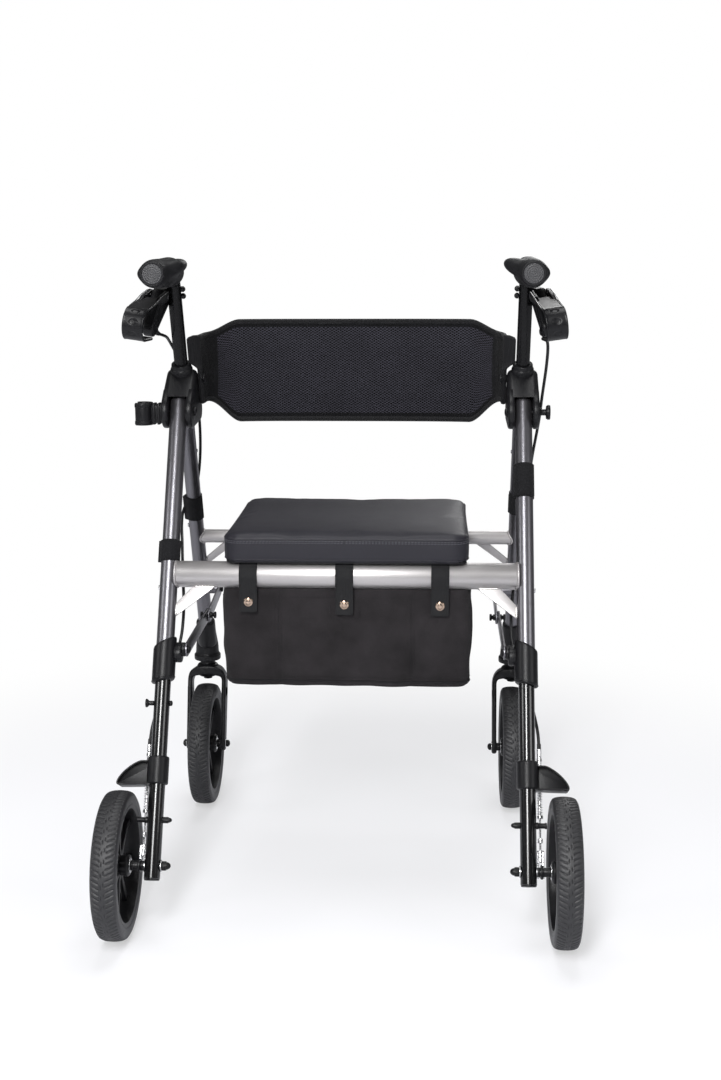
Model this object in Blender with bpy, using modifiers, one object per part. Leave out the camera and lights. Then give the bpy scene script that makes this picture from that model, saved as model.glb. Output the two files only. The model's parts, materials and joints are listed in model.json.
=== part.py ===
"""Four-wheel walker with a folding rear frame, a seat, a backrest, a pouch and loop brakes.

Metres. +X is the right hand of the person who pushes it, +Y is forward and +Z is up. The origin
is on the floor, under the middle of the walker. A value named ..._X is a distance from the middle
plane, and it is used on both sides.
"""

import math

import bmesh
import bpy
from mathutils import Euler, Matrix, Vector

# Clearances
GAP = 0.0003
PLAY = 0.0005

# Roundness
TUBE_SIDES = 12
PIN_SIDES = 8
HOLE_SIDES = 12
WHEEL_SIDES = 24
WRAP_STEPS = 12
CABLE_RESOLUTION = 2
TUBE_RESOLUTION = TUBE_SIDES // 2 - 2

# Wheels
WHEEL_RADIUS = 0.100
TYRE_WIDTH = 0.035
TYRE_DEPTH = 0.020
TYRE_SHOULDER = 0.0075
RIM_WIDTH = 0.030
RIM_WALL = 0.0055
HUB_RADIUS = 0.0155
HUB_WIDTH = 0.0344
SPOKE_WIDTH = 0.009
SPOKE_THICKNESS = 0.007
SPOKE_BARS = 4
WHEELBASE = 0.504
REAR_HALF_TRACK = 0.300

# Legs, seen from the side
LEG_X = 0.2525
REAR_LEAN = math.radians(27.66)
FRONT_LEAN = math.radians(-21.7)
CASTER_TRAIL = 0.033
FRONT_LEG_CROSSING = 0.2437
CASTER_OUTSET = 0.002

# Tubes
REAR_LEG_RADIUS = 0.0125
FRONT_LEG_RADIUS = 0.0115
LEG_WALL = 0.0012
REAR_LEG_FOOT_HEIGHT = 0.345
LOWER_TUBE_FOOT = 0.018
LOWER_TUBE_TOP_HEIGHT = 0.460
FRONT_LEG_FOOT_HEIGHT = 0.268
FRONT_LEG_TOP_HEIGHT = 0.735
RIVET_HEIGHT = 0.443
RIVET_RADIUS = 0.0034
RIVET_HEAD = 0.0018

# Crossbars and gussets
REAR_BAR_HEIGHT = 0.461
REAR_BAR_RADIUS = 0.01875
FRONT_BAR_HEIGHT = 0.465
FRONT_BAR_RADIUS = 0.0105
BAR_WALL = 0.0015
BAR_WRAP = 0.0035
GUSSET_THICKNESS = 0.003
REAR_GUSSET_X = 0.185
REAR_GUSSET_WIDTH = 0.032
REAR_GUSSET_DROP = 0.025
REAR_GUSSET_EDGE = 0.019
FRONT_GUSSET_X = 0.189
FRONT_GUSSET_WIDTH = 0.020
FRONT_GUSSET_DROP = 0.030
FRONT_GUSSET_EDGE = 0.014

# Top bracket and fold pivot
FOLD_PIVOT_HEIGHT = 0.680
PIVOT_RADIUS = 0.004
BRACKET_HALF_WIDTH = 0.0225
BRACKET_SLOT_HALF = 0.0130
BRACKET_EYE_RADIUS = 0.0245
BRACKET_SLOT_RISE = 0.023
BRACKET_SLOT_AHEAD = 0.0335
BRACKET_SHOULDER_HEIGHT = 0.722
BRACKET_SLEEVE_RADIUS = 0.0165
BRACKET_SLEEVE_FOOT = 0.660
BRACKET_SLEEVE_TOP = 0.748
LEG_PAST_PIVOT = 0.018
KNOB_RADIUS = 0.0105
KNOB_THICKNESS = 0.007
KNOB_STANDOFF = 0.009
NUT_RADIUS = 0.007
NUT_THICKNESS = 0.0032

# Cane clip, on the left
CLIP_HEIGHT = 0.033
CLIP_DROP = 0.003
CLIP_BASE_LENGTH = 0.018
CLIP_BASE_HALF = 0.008
CLIP_BORE = 0.0115
CLIP_WALL = 0.003
CLIP_MOUTH = math.radians(100)
CLIP_SCREW_DEPTH = 0.006

# Lower bracket and side links
LOWER_BRACKET_RADIUS = 0.016
LOWER_BRACKET_FOOT_HEIGHT = 0.323
LOWER_BRACKET_TOP_HEIGHT = 0.373
LINK_THICKNESS = 0.003
LINK_HALF_HEIGHT = 0.010
LINK_X = 0.2180
REAR_LINK_PIVOT = (-0.107, 0.362)
MIDDLE_PIVOT = (0.088, 0.363)
FRONT_LINK_PIVOT = (0.206, 0.377)
LINK_PIN_RADIUS = 0.003
LINK_HEAD_RADIUS = 0.006
LINK_HEAD_THICKNESS = 0.003
MIDDLE_HEAD_RADIUS = 0.0055
MIDDLE_HEAD_LENGTH = 0.009
REAR_EAR_RADIUS = 0.010
FRONT_EAR_RADIUS = 0.008
FRONT_EAR_WEB = 0.004

# Rear axle and brakes
AXLE_RADIUS = 0.004
SPACER_RADIUS = 0.0065
AXLE_NUT_RADIUS = 0.0085
AXLE_NUT_LENGTH = 0.0070
DOME_NUT_LENGTH = 0.0137
BRAKE_X = 0.2700
ROD_AHEAD = 0.022
ROD_RADIUS = 0.0015
ARM_THICKNESS = 0.003
ARM_HUB_RADIUS = 0.0095
ARM_EYE_RADIUS = 0.0055
ARM_EYE_BORE = 0.003
CLEVIS_PIN_RADIUS = 0.002
CLEVIS_SIZE = 0.010
CLEVIS_FOOT = -0.007
CLEVIS_TOP = 0.030
CLEVIS_SLOT_TOP = 0.014
LOCK_NUT_RADIUS = 0.0033
LOCK_NUT_ALONG = 0.040
LOCK_NUT_LENGTH = 0.006
SPRING_SEAT_ALONG = 0.0725
SPRING_SEAT_THICKNESS = 0.004
SPRING_SEAT_RADIUS = 0.0042
SPRING_RADIUS = 0.0032
SPRING_WIRE = 0.0006
SPRING_TURNS = 7
SPRING_POINTS_PER_TURN = 8
SPRING_POCKET_RADIUS = 0.0045
SPRING_IN_POCKET = 0.008
HOUSING_RADIUS = 0.01475
HOUSING_FOOT = 0.109
HOUSING_TOP = 0.147
WING_SHOULDER_X = 0.276
WING_TIP_X = 0.309
WING_TOP = 0.142
WING_TIP_DEPTH = 0.003
WING_BACK = -0.002
WING_FRONT = 0.030
POCKET_DEPTH = 0.016
ADJUSTER_RADIUS = 0.0042
ADJUSTER_LENGTH = 0.014
ANCHOR_HEIGHT = 0.154
ANCHOR_STANDOFF_RADIUS = 0.0043
ANCHOR_STANDOFF_LENGTH = 0.014
ANCHOR_NUT_RADIUS = 0.0045
ANCHOR_NUT_LENGTH = 0.0135
STUD_HEIGHT = 0.296
STUD_HEAD_RADIUS = 0.006
STUD_HEAD_THICKNESS = 0.004
STUD_SHANK_RADIUS = 0.0022
STUD_STANDOFF = 0.0075

# Casters
CASTER_RING_RADIUS = 0.022
CASTER_RING_HEIGHT = 0.2375
CASTER_RING_THICKNESS = 0.008
CASTER_WAIST_RADIUS = 0.019
CASTER_TOP_RADIUS = 0.013
CASTER_TOP_HEIGHT = 0.300
CASTER_SLEEVE_RADIUS = 0.0155
CASTER_SLEEVE_FOOT = 0.266
CASTER_SLEEVE_TOP = 0.311
STUD_RADIUS = 0.005
STUD_TOP_HEIGHT = 0.258
CROWN_TOP_HEIGHT = 0.229
CROWN_FOOT_HEIGHT = 0.2065
CROWN_HALF_DEPTH = 0.018
CROWN_BEVEL = 0.007
BEARING_RADIUS = 0.012
FORK_HALF_WIDTH = 0.032
FORK_ARM_THICKNESS = 0.007
FORK_SHOULDER_RADIUS = 0.016
FORK_FOOT_RADIUS = 0.0115
FRONT_NUT_RADIUS = 0.0065
FRONT_NUT_LENGTH = 0.007

# Stem, grip and brake lever
STEM_FOOT_HEIGHT = 0.460
STEM_BORE_DROP = 0.063
STEM_WALL = 0.0016
STEM_BEND_RADIUS = 0.035
STEM_BEND_STEPS = 6
GRIP_HEIGHT = 0.883
GRIP_REAR_Y = -0.128
GRIP_FRONT_Y = 0.020
GRIP_RADIUS = 0.0195
GRIP_END_RADIUS = 0.0150
GRIP_FRONT_RADIUS = 0.0215
GRIP_WING_REACH = 0.0200
GRIP_WING_Y = -0.076
GRIP_WING_LENGTH = 0.034
GRIP_WING_ANGLE = math.radians(159)
GRIP_WING_SPREAD = math.radians(24)
GRIP_FLANGE = 0.0035
GRIP_SIDES = 16
GRIP_RINGS = 8
STEM_END_INSET = 0.013
BUTTON_HEIGHT = 0.484
BUTTON_RADIUS = 0.003
BUTTON_PROUD = 0.0025
BUTTON_LENGTH = 0.011
STEM_SLOT_HALF = 0.0035
STEM_SLOT_TOP_HEIGHT = 0.548
LEVER_BODY_X = 0.2708
LEVER_BODY_WIDTH = 0.016
LEVER_PIVOT_DROP = 0.033
LEVER_PIVOT_BACK = 0.0317
LEVER_PIVOT_RADIUS = 0.0025
LEVER_SPLAY = math.radians(5.5)
LEVER_ROLL = math.radians(8)
LEVER_WIDTH = 0.030
LEVER_THICKNESS = 0.004
LEVER_EYE_RADIUS = 0.008
LEVER_BEND_BACK = 0.092
LEVER_BEND_DROP = 0.0355
LEVER_BEND_RADIUS = 0.0205
LEVER_RETURN = 0.035
LEVER_SLOT_BACK = 0.034
LEVER_BODY_EYE = 0.0095
LEVER_BODY_SHOULDER = 0.0165
LEVER_BLOCK = (-0.024, -0.044)
LEVER_BLOCK_RADIUS = 0.013
LEVER_BOLT_DROPS = (0.035, 0.025)
LEVER_BOLT_RADIUS = 0.002
LEVER_NUT_RADIUS = 0.0045
LEVER_NUT_LENGTH = 0.006

# Seat, pouch and backrest
SEAT_WIDTH = 0.360
SEAT_BEHIND_BAR = 0.025
SEAT_AHEAD_OF_BAR = 0.041
SEAT_PAD_THICKNESS = 0.0365
SEAT_CORNER = 0.020
SEAT_DRAWN_IN = 0.004
SEAT_CROWN = 0.005
SEAT_BOARD_INSET = 0.010
SEAT_BOARD_THICKNESS = 0.005
SEAT_CLIP_X = 0.100
SEAT_CLIP_WIDTH = 0.030
SEAT_CLIP_WALL = 0.004
POUCH_WIDTH = 0.355
POUCH_BEHIND_BAR = 0.012
POUCH_HEIGHT = 0.142
POUCH_WALL = 0.003
POUCH_CORNER = 0.022
BACKREST_HALF_WIDTH = 0.226
BACKREST_THICKNESS = 0.006
BACKREST_TAB_FRONT_Y = 0.128
BACKREST_BOW = 0.062
BACKREST_END_TOP = 0.790
BACKREST_END_FOOT = 0.685
BACKREST_TOP = 0.808
BACKREST_FOOT = 0.650
BACKREST_SQUARENESS = 0.55
BACKREST_SHOULDER = 0.78
BACKREST_COLUMNS = 18
BACKREST_ROWS = 2
BACKREST_STUD_HEIGHT = 0.722
BACKREST_STUD_AHEAD = 0.007
BACKREST_STUD_RADIUS = 0.004
BACKREST_STUD_HEAD_RADIUS = 0.0065
BACKREST_STUD_HEAD = 0.003

# Brake cables
CABLE_RADIUS = 0.0022
CABLE_EXIT_DROP = 0.0525
CABLE_SPACING = 0.0132

# Colours, roughness and metallic value of each finish
FINISHES = {
    "grey_paint": ((0.150, 0.147, 0.160), 0.38, 0.75),
    "silver_paint": ((0.420, 0.420, 0.440), 0.35, 0.80),
    "steel": ((0.620, 0.620, 0.630), 0.28, 1.0),
    "black_gloss": ((0.010, 0.010, 0.012), 0.22, 0.0),
    "black_plastic": ((0.022, 0.022, 0.024), 0.48, 0.0),
    "black_rubber": ((0.018, 0.018, 0.019), 0.62, 0.0),
    "tyre": ((0.075, 0.077, 0.085), 0.85, 0.0),
    "vinyl": ((0.030, 0.031, 0.035), 0.50, 0.0),
    "cloth": ((0.014, 0.014, 0.016), 0.85, 0.0),
}

LEFT = -1
RIGHT = 1
SIDES = {"left": LEFT, "right": RIGHT}


def clear_scene():
    for thing in list(bpy.data.objects):
        bpy.data.objects.remove(thing, do_unlink=True)


def new_collection(name):
    collection = bpy.data.collections.new(name)
    bpy.context.scene.collection.children.link(collection)
    return collection


clear_scene()
PARTS = new_collection("four_wheel_walker")
CUTTERS = new_collection("cutters")


class LegLine:
    """A straight leg seen from the side: along runs up it, ahead is square to it and forward."""

    def __init__(self, foot_y, foot_z, lean):
        self.foot = Vector((0.0, foot_y, foot_z))
        self.lean = lean
        self.up = Vector((0.0, math.sin(lean), math.cos(lean)))
        self.forward = Vector((0.0, math.cos(lean), -math.sin(lean)))
        self.turn = Euler((-lean, 0.0, 0.0))
        self.face_turn = Euler((math.pi / 2 - lean, 0.0, 0.0))
        self.side_turn = Matrix((self.forward, self.up, (1, 0, 0))).transposed().to_euler()

    def point(self, x, along, ahead=0.0):
        return self.foot + self.up * along + self.forward * ahead + Vector((x, 0.0, 0.0))

    def along_at(self, height):
        return (height - self.foot.z) / self.up.z

    def at_height(self, x, height):
        return self.point(x, self.along_at(height))

    def place_of(self, y, z):
        """How far along and ahead a point of the side view lies."""
        offset = Vector((0.0, y, z)) - self.foot
        return offset.dot(self.up), offset.dot(self.forward)


REAR = LegLine(-WHEELBASE / 2, WHEEL_RADIUS, REAR_LEAN)
FRONT = LegLine(WHEELBASE / 2 + CASTER_TRAIL, FRONT_LEG_CROSSING, FRONT_LEAN)
SIDE_VIEW = Euler((math.pi / 2, 0.0, math.pi / 2))
CASTER_X = LEG_X + CASTER_OUTSET
CASTER_Y = WHEELBASE / 2 + CASTER_TRAIL
FOLD_PIVOT = REAR.at_height(0.0, FOLD_PIVOT_HEIGHT)
REAR_BAR = REAR.at_height(0.0, REAR_BAR_HEIGHT)
FRONT_BAR = FRONT.at_height(0.0, FRONT_BAR_HEIGHT)
LEVER_PIVOT_Z = GRIP_HEIGHT - LEVER_PIVOT_DROP
LEVER_PIVOT = (FRONT.at_height(0.0, LEVER_PIVOT_Z).y - LEVER_PIVOT_BACK, LEVER_PIVOT_Z)
LEVER_BOLT_HEIGHTS = [GRIP_HEIGHT - drop for drop in LEVER_BOLT_DROPS]
CABLE_EXIT = (LEVER_PIVOT[0], LEVER_PIVOT_Z - CABLE_EXIT_DROP)
LOWER_TUBE_RADIUS = REAR_LEG_RADIUS - LEG_WALL - GAP
STEM_RADIUS = FRONT_LEG_RADIUS - LEG_WALL - GAP
LINK_PITCH = LINK_THICKNESS + GAP
REAR_LINK_X = LINK_X + LINK_PITCH


def make_finishes():
    made = {}
    for name, (colour, roughness, metallic) in FINISHES.items():
        material = bpy.data.materials.new(name)
        material.use_nodes = True
        shader = material.node_tree.nodes["Principled BSDF"]
        shader.inputs["Base Color"].default_value = (*colour, 1.0)
        shader.inputs["Roughness"].default_value = roughness
        shader.inputs["Metallic"].default_value = metallic
        made[name] = material
    return made


MATERIALS = make_finishes()


class Body:
    """A group of parts that move together, held by an empty on their joint's axis."""

    def __init__(self, name, place, parent=None):
        self.place = Vector(place)
        self.empty = bpy.data.objects.new(name, None)
        PARTS.objects.link(self.empty)
        if parent is None:
            self.empty.location = self.place
        else:
            self.empty.parent = parent.empty
            self.empty.location = self.place - parent.place

    def hold(self, part, finish):
        for owner in list(part.users_collection):
            owner.objects.unlink(part)
        PARTS.objects.link(part)
        part.hide_render = False
        part.display_type = "TEXTURED"
        part.data.materials.clear()
        part.data.materials.append(MATERIALS[finish])
        part.parent = self.empty
        part.location = part.location - self.place
        return part


def add_shape(name, data, place=(0.0, 0.0, 0.0), turn=None):
    """A new object, kept with the cutters until a body holds it."""
    shape = bpy.data.objects.new(name, data)
    CUTTERS.objects.link(shape)
    shape.location = place
    if turn is not None:
        shape.rotation_euler = turn
    shape.hide_render = True
    shape.display_type = "WIRE"
    return shape


def mesh_from(name, build):
    mesh = bpy.data.meshes.new(name)
    work = bmesh.new()
    build(work)
    work.to_mesh(mesh)
    work.free()
    return mesh


def cylinder(name, start, end, radius, sides=TUBE_SIDES):
    start = Vector(start)
    end = Vector(end)
    length = (end - start).length

    def build(work):
        bmesh.ops.create_cone(
            work, cap_ends=True, segments=sides, radius1=radius, radius2=radius, depth=length
        )

    turn = (end - start).to_track_quat("Z", "Y").to_euler()
    return add_shape(name, mesh_from(name, build), (start + end) / 2, turn)


def block(name, centre, size, turn=None):
    def build(work):
        bmesh.ops.create_cube(work, size=1.0)
        bmesh.ops.scale(work, vec=size, verts=work.verts)

    return add_shape(name, mesh_from(name, build), centre, turn)


def turned(name, profile, place, turn=None, closed=False, sides=TUBE_SIDES):
    """A profile of (radius, height) points turned about its own Z axis."""
    mesh = bpy.data.meshes.new(name)
    count = len(profile)
    edges = [(i, i + 1) for i in range(count - 1)]
    if closed:
        edges.append((count - 1, 0))
    mesh.from_pydata([(radius, 0.0, height) for radius, height in profile], edges, [])
    shape = add_shape(name, mesh, place, turn)
    screw = shape.modifiers.new("turn", "SCREW")
    screw.axis = "Z"
    screw.steps = sides
    screw.render_steps = sides
    screw.use_merge_vertices = True
    screw.merge_threshold = 0.00001
    screw.use_smooth_shade = True
    return shape


def tube(name, place, turn, start, end, radius, bore, sides=TUBE_SIDES):
    profile = [(bore, end), (radius, end), (radius, start), (bore, start)]
    return turned(name, profile, place, turn, closed=True, sides=sides)


def pin(name, side, y, z, steps, sides=PIN_SIDES):
    """A stepped pin along X: each step is (radius, outer distance, inner distance)."""
    profile = [(0.0, steps[0][1])]
    for radius, outer, inner in steps:
        profile.append((radius, outer))
        profile.append((radius, inner))
    profile.append((0.0, steps[-1][2]))
    return turned(name, profile, (0.0, y, z), Euler((0.0, side * math.pi / 2, 0.0)), sides=sides)


def hole_along_x(name, side, y, z, radius, outer, inner, sides=PIN_SIDES):
    return cylinder(name, (side * inner, y, z), (side * outer, y, z), radius, sides)


def plate(name, outlines, thickness, place, turn, bevel=0.0):
    """A flat outline, with holes if more outlines are given, as thick as stated."""
    curve = bpy.data.curves.new(name, "CURVE")
    curve.dimensions = "2D"
    curve.fill_mode = "BOTH"
    curve.extrude = thickness / 2
    for outline in outlines:
        spline = curve.splines.new("POLY")
        spline.points.add(len(outline) - 1)
        for point, (x, y) in zip(spline.points, outline):
            point.co = (x, y, 0.0, 1.0)
        spline.use_cyclic_u = True
    shape = as_mesh(add_shape(name, curve, place, turn))
    if bevel:
        round_edges(shape, bevel)
    return shape


def as_mesh(shape):
    """The curve's own surface as a mesh object in the same place, its caps welded on."""
    bpy.context.view_layer.update()
    name = shape.name
    depsgraph = bpy.context.evaluated_depsgraph_get()
    mesh = bpy.data.meshes.new_from_object(shape.evaluated_get(depsgraph))
    work = bmesh.new()
    work.from_mesh(mesh)
    bmesh.ops.remove_doubles(work, verts=work.verts, dist=0.00001)
    bmesh.ops.dissolve_degenerate(work, edges=work.edges, dist=0.00001)
    bmesh.ops.recalc_face_normals(work, faces=work.faces)
    work.to_mesh(mesh)
    work.free()
    matrix = shape.matrix_world.copy()
    bpy.data.objects.remove(shape, do_unlink=True)
    made = add_shape(name, mesh)
    made.name = name
    made.matrix_world = matrix
    return made


def wire(name, points, radius, resolution=2):
    curve = bpy.data.curves.new(name, "CURVE")
    curve.dimensions = "3D"
    curve.bevel_depth = radius
    curve.bevel_resolution = resolution
    curve.use_fill_caps = True
    spline = curve.splines.new("POLY")
    spline.points.add(len(points) - 1)
    for point, place in zip(spline.points, points):
        point.co = (*place, 1.0)
    return as_mesh(add_shape(name, curve))


def round_edges(shape, width, segments=1, angle=math.radians(50)):
    bevel = shape.modifiers.new("round", "BEVEL")
    bevel.width = width
    bevel.segments = segments
    bevel.limit_method = "ANGLE"
    bevel.angle_limit = angle
    return shape


def combine(shape, other, operation):
    modifier = shape.modifiers.new(operation.lower(), "BOOLEAN")
    modifier.operation = operation
    modifier.solver = "EXACT"
    modifier.object = other
    return shape


def join(shape, *others):
    for other in others:
        combine(shape, other, "UNION")
    return shape


def cut(shape, *others):
    for other in others:
        combine(shape, other, "DIFFERENCE")
    return shape


def arc(centre, radius, start, end, steps):
    angles = [start + (end - start) * i / steps for i in range(steps + 1)]
    return [(centre[0] + radius * math.cos(a), centre[1] + radius * math.sin(a)) for a in angles]


def circle(centre, radius, sides):
    return arc(centre, radius, 0.0, 2 * math.pi * (sides - 1) / sides, sides - 1)


def wrap_round(circles, steps=WRAP_STEPS):
    """The outline of a belt pulled tight round circles, each given as (x, y, radius)."""
    points = set()
    for x, y, radius in circles:
        points.update(circle((x, y), radius, steps))
    ordered = sorted(points)

    def half(run):
        kept = []
        for p in run:
            while len(kept) > 1:
                (ax, ay), (bx, by) = kept[-2], kept[-1]
                if (bx - ax) * (p[1] - ay) - (by - ay) * (p[0] - ax) > 1e-12:
                    break
                kept.pop()
            kept.append(p)
        return kept[:-1]

    return half(ordered) + half(reversed(ordered))


def ribbon(centre_line, thickness):
    """The outline of a strip of one thickness that follows a line of (x, y) points."""
    left = []
    right = []
    last = len(centre_line) - 1
    for i, (x, y) in enumerate(centre_line):
        before = centre_line[max(i - 1, 0)]
        after = centre_line[min(i + 1, last)]
        dx = after[0] - before[0]
        dy = after[1] - before[1]
        length = math.hypot(dx, dy)
        nx = -dy / length * thickness / 2
        ny = dx / length * thickness / 2
        left.append((x + nx, y + ny))
        right.append((x - nx, y - ny))
    return left + right[::-1]


def smooth_route(points, spacing):
    """Points on a smooth curve through the route, about one spacing apart."""
    points = [Vector(p) for p in points]
    ends = [2 * points[0] - points[1]] + points + [2 * points[-1] - points[-2]]
    route = []
    for i in range(1, len(ends) - 2):
        a, b, c, d = ends[i - 1 : i + 3]
        steps = max(1, round((c - b).length / spacing))
        for k in range(steps):
            t = k / steps
            route.append(
                (2 * b + (c - a) * t + (2 * a - 5 * b + 4 * c - d) * t * t
                 + (3 * b - a - 3 * c + d) * t * t * t) / 2
            )
    route.append(points[-1])
    return route


# Wheels

def tyre_mesh():
    """The tyre's section, turned with a flat at the bottom as long as its patch on the floor."""
    tread = WHEEL_RADIUS / math.cos(math.pi / WHEEL_SIDES)
    bore = tread - TYRE_DEPTH
    half = TYRE_WIDTH / 2
    section = [(bore, RIM_WIDTH / 2), (tread - TYRE_SHOULDER, half), (tread, half - TYRE_SHOULDER)]
    section += [(radius, -height) for radius, height in reversed(section)]
    shape = turned("tyre", section, (0, 0, 0), closed=True, sides=WHEEL_SIDES)
    return evaluated_mesh(shape)


def rim_mesh():
    """Rim ring, hub and spokes in one casting, with its axle bore."""
    tread = WHEEL_RADIUS / math.cos(math.pi / WHEEL_SIDES)
    radius = tread - TYRE_DEPTH - GAP
    half = RIM_WIDTH / 2
    shape = tube("rim", (0, 0, 0), None, -half, half, radius, radius - RIM_WALL, WHEEL_SIDES)
    hub = cylinder(
        "rim_hub", (0, 0, -HUB_WIDTH / 2), (0, 0, HUB_WIDTH / 2), HUB_RADIUS, PIN_SIDES
    )
    join(shape, hub)
    for k in range(SPOKE_BARS):
        turn = Euler((0.0, 0.0, math.pi * (k + 0.5) / SPOKE_BARS))
        length = 2 * (radius - RIM_WALL / 2)
        join(shape, block("rim_spokes", (0, 0, 0), (length, SPOKE_WIDTH, SPOKE_THICKNESS), turn))
    bore = cylinder(
        "rim_bore", (0, 0, -HUB_WIDTH), (0, 0, HUB_WIDTH), AXLE_RADIUS + GAP, TUBE_SIDES
    )
    cut(shape, bore)
    return evaluated_mesh(shape)


def evaluated_mesh(shape):
    bpy.context.view_layer.update()
    depsgraph = bpy.context.evaluated_depsgraph_get()
    return bpy.data.meshes.new_from_object(shape.evaluated_get(depsgraph))


def make_wheel(body, where, side_name, x, tyre, rim):
    side = SIDES[side_name]
    place = (side * x, body.place.y, body.place.z)
    turn = Euler((0.0, math.pi / 2, 0.0)).to_matrix() @ Euler(
        (0.0, 0.0, math.pi / WHEEL_SIDES)
    ).to_matrix()
    for kind, mesh, finish in (("tyre", tyre, "tyre"), ("rim", rim, "black_plastic")):
        copy = add_shape(f"{where}_{kind}_{side_name}", mesh.copy(), place, turn.to_euler())
        body.hold(copy, finish)


# Front frame

def front_leg(side_name):
    side = SIDES[side_name]
    x = side * LEG_X
    start = FRONT.along_at(FRONT_LEG_FOOT_HEIGHT)
    end = FRONT.along_at(FRONT_LEG_TOP_HEIGHT)
    bore = FRONT_LEG_RADIUS - LEG_WALL
    leg = tube(
        f"front_leg_{side_name}", FRONT.point(x, 0), FRONT.turn, start, end, FRONT_LEG_RADIUS, bore
    )
    along, ahead = FRONT.place_of(*FRONT_LINK_PIVOT)
    web = plate(
        "front_ear_web",
        [wrap_round([(ahead, along, FRONT_EAR_RADIUS - GAP), (0.0, along, FRONT_EAR_RADIUS)])],
        FRONT_EAR_WEB,
        FRONT.point(x, 0),
        FRONT.side_turn,
    )
    face = LINK_X + LINK_THICKNESS + GAP
    head = LINK_X - GAP
    ear = pin(
        "front_ear",
        side,
        *FRONT_LINK_PIVOT,
        [
            (FRONT_EAR_RADIUS, LEG_X + FRONT_EAR_WEB, face),
            (LINK_PIN_RADIUS, face, head),
            (LINK_HEAD_RADIUS, head, head - LINK_HEAD_THICKNESS),
        ],
    )
    join(leg, web, ear)
    cut(leg, cylinder("front_leg_bore", FRONT.point(x, start - bore), FRONT.point(x, end + bore), bore))
    if side == LEFT:
        seat = FRONT.at_height(0.0, BUTTON_HEIGHT)
        radius = BUTTON_RADIUS + GAP
        cut(leg, hole_along_x("button_hole", side, seat.y, seat.z, radius, LEG_X + 0.03, LEG_X))
    return leg


def crossbar(name, line, bar, radius, leg_radius, gussets):
    """A tube between two legs, its ends coped round them, with a welded plate to each leg."""
    reach = LEG_X - BAR_WRAP
    shape = tube(name, bar, Euler((0, math.pi / 2, 0)), -reach, reach, radius, radius - BAR_WALL)
    along = line.along_at(bar.z)
    inset, width, drop, edge = gussets
    leg_side = LEG_X - leg_radius - GAP
    for side in (LEFT, RIGHT):
        top = along - radius + BAR_WALL / 2
        outline = [
            (side * inset, top),
            (side * (inset + width), top),
            (side * leg_side, top - drop),
            (side * leg_side, top - drop - edge),
        ]
        join(
            shape,
            plate("gusset", [outline], GUSSET_THICKNESS, line.point(0, 0), line.face_turn),
        )
        x = side * LEG_X
        start = line.point(x, along - 4 * leg_radius)
        end = line.point(x, along + 4 * leg_radius)
        cut(shape, cylinder("cope", start, end, leg_radius + GAP))
    return shape


def top_bracket(side_name):
    side = SIDES[side_name]
    x = side * LEG_X
    foot = FRONT.at_height(x, BRACKET_SLEEVE_FOOT)
    shoulder = FRONT.at_height(x, BRACKET_SHOULDER_HEIGHT)
    outline = wrap_round(
        [
            (FOLD_PIVOT.y, FOLD_PIVOT.z, BRACKET_EYE_RADIUS),
            (foot.y, foot.z + BRACKET_SLEEVE_RADIUS, BRACKET_SLEEVE_RADIUS),
            (shoulder.y, shoulder.z, BRACKET_SLEEVE_RADIUS),
        ]
    )
    shape = plate(
        f"top_bracket_{side_name}", [outline], 2 * BRACKET_HALF_WIDTH, (x, 0, 0), SIDE_VIEW
    )
    top = FRONT.at_height(x, BRACKET_SLEEVE_TOP)
    join(shape, cylinder("bracket_sleeve", foot, top, BRACKET_SLEEVE_RADIUS))
    bore_foot = FRONT.at_height(x, BRACKET_SLEEVE_FOOT - 0.03)
    seat = FRONT.point(x, FRONT.along_at(FRONT_LEG_TOP_HEIGHT) + GAP)
    cut(shape, cylinder("bracket_leg_bore", bore_foot, seat, FRONT_LEG_RADIUS + GAP))
    past = FRONT.at_height(x, BRACKET_SLEEVE_TOP + 0.02)
    cut(shape, cylinder("bracket_stem_bore", foot, past, STEM_RADIUS + GAP))
    slot_top = FOLD_PIVOT.z + BRACKET_SLOT_RISE
    slot_foot = FOLD_PIVOT.z - 2 * BRACKET_EYE_RADIUS
    slot_back = FOLD_PIVOT.y - 2 * BRACKET_EYE_RADIUS
    slot_front = FOLD_PIVOT.y + BRACKET_SLOT_AHEAD
    slot_centre = (x, (slot_back + slot_front) / 2, (slot_foot + slot_top) / 2)
    slot_size = (2 * BRACKET_SLOT_HALF, slot_front - slot_back, slot_top - slot_foot)
    cut(shape, block("bracket_slot", slot_centre, slot_size))
    cut(
        shape,
        hole_along_x(
            "bracket_pivot_hole", side, FOLD_PIVOT.y, FOLD_PIVOT.z, PIVOT_RADIUS + GAP,
            LEG_X + 2 * BRACKET_HALF_WIDTH, LEG_X - 2 * BRACKET_HALF_WIDTH, TUBE_SIDES,
        ),
    )
    stud_y, stud_z = backrest_stud_place()
    face = LEG_X - BRACKET_HALF_WIDTH
    inner = BACKREST_HALF_WIDTH - BACKREST_THICKNESS / 2 - GAP
    stud = pin(
        "backrest_stud", side, stud_y, stud_z,
        [
            (BACKREST_STUD_RADIUS, face + 0.003, inner),
            (BACKREST_STUD_HEAD_RADIUS, inner, inner - BACKREST_STUD_HEAD),
        ],
    )
    return join(shape, stud)


def backrest_stud_place():
    stud = FRONT.point(0, FRONT.along_at(BACKREST_STUD_HEIGHT), BACKREST_STUD_AHEAD)
    return stud.y, stud.z


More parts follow.
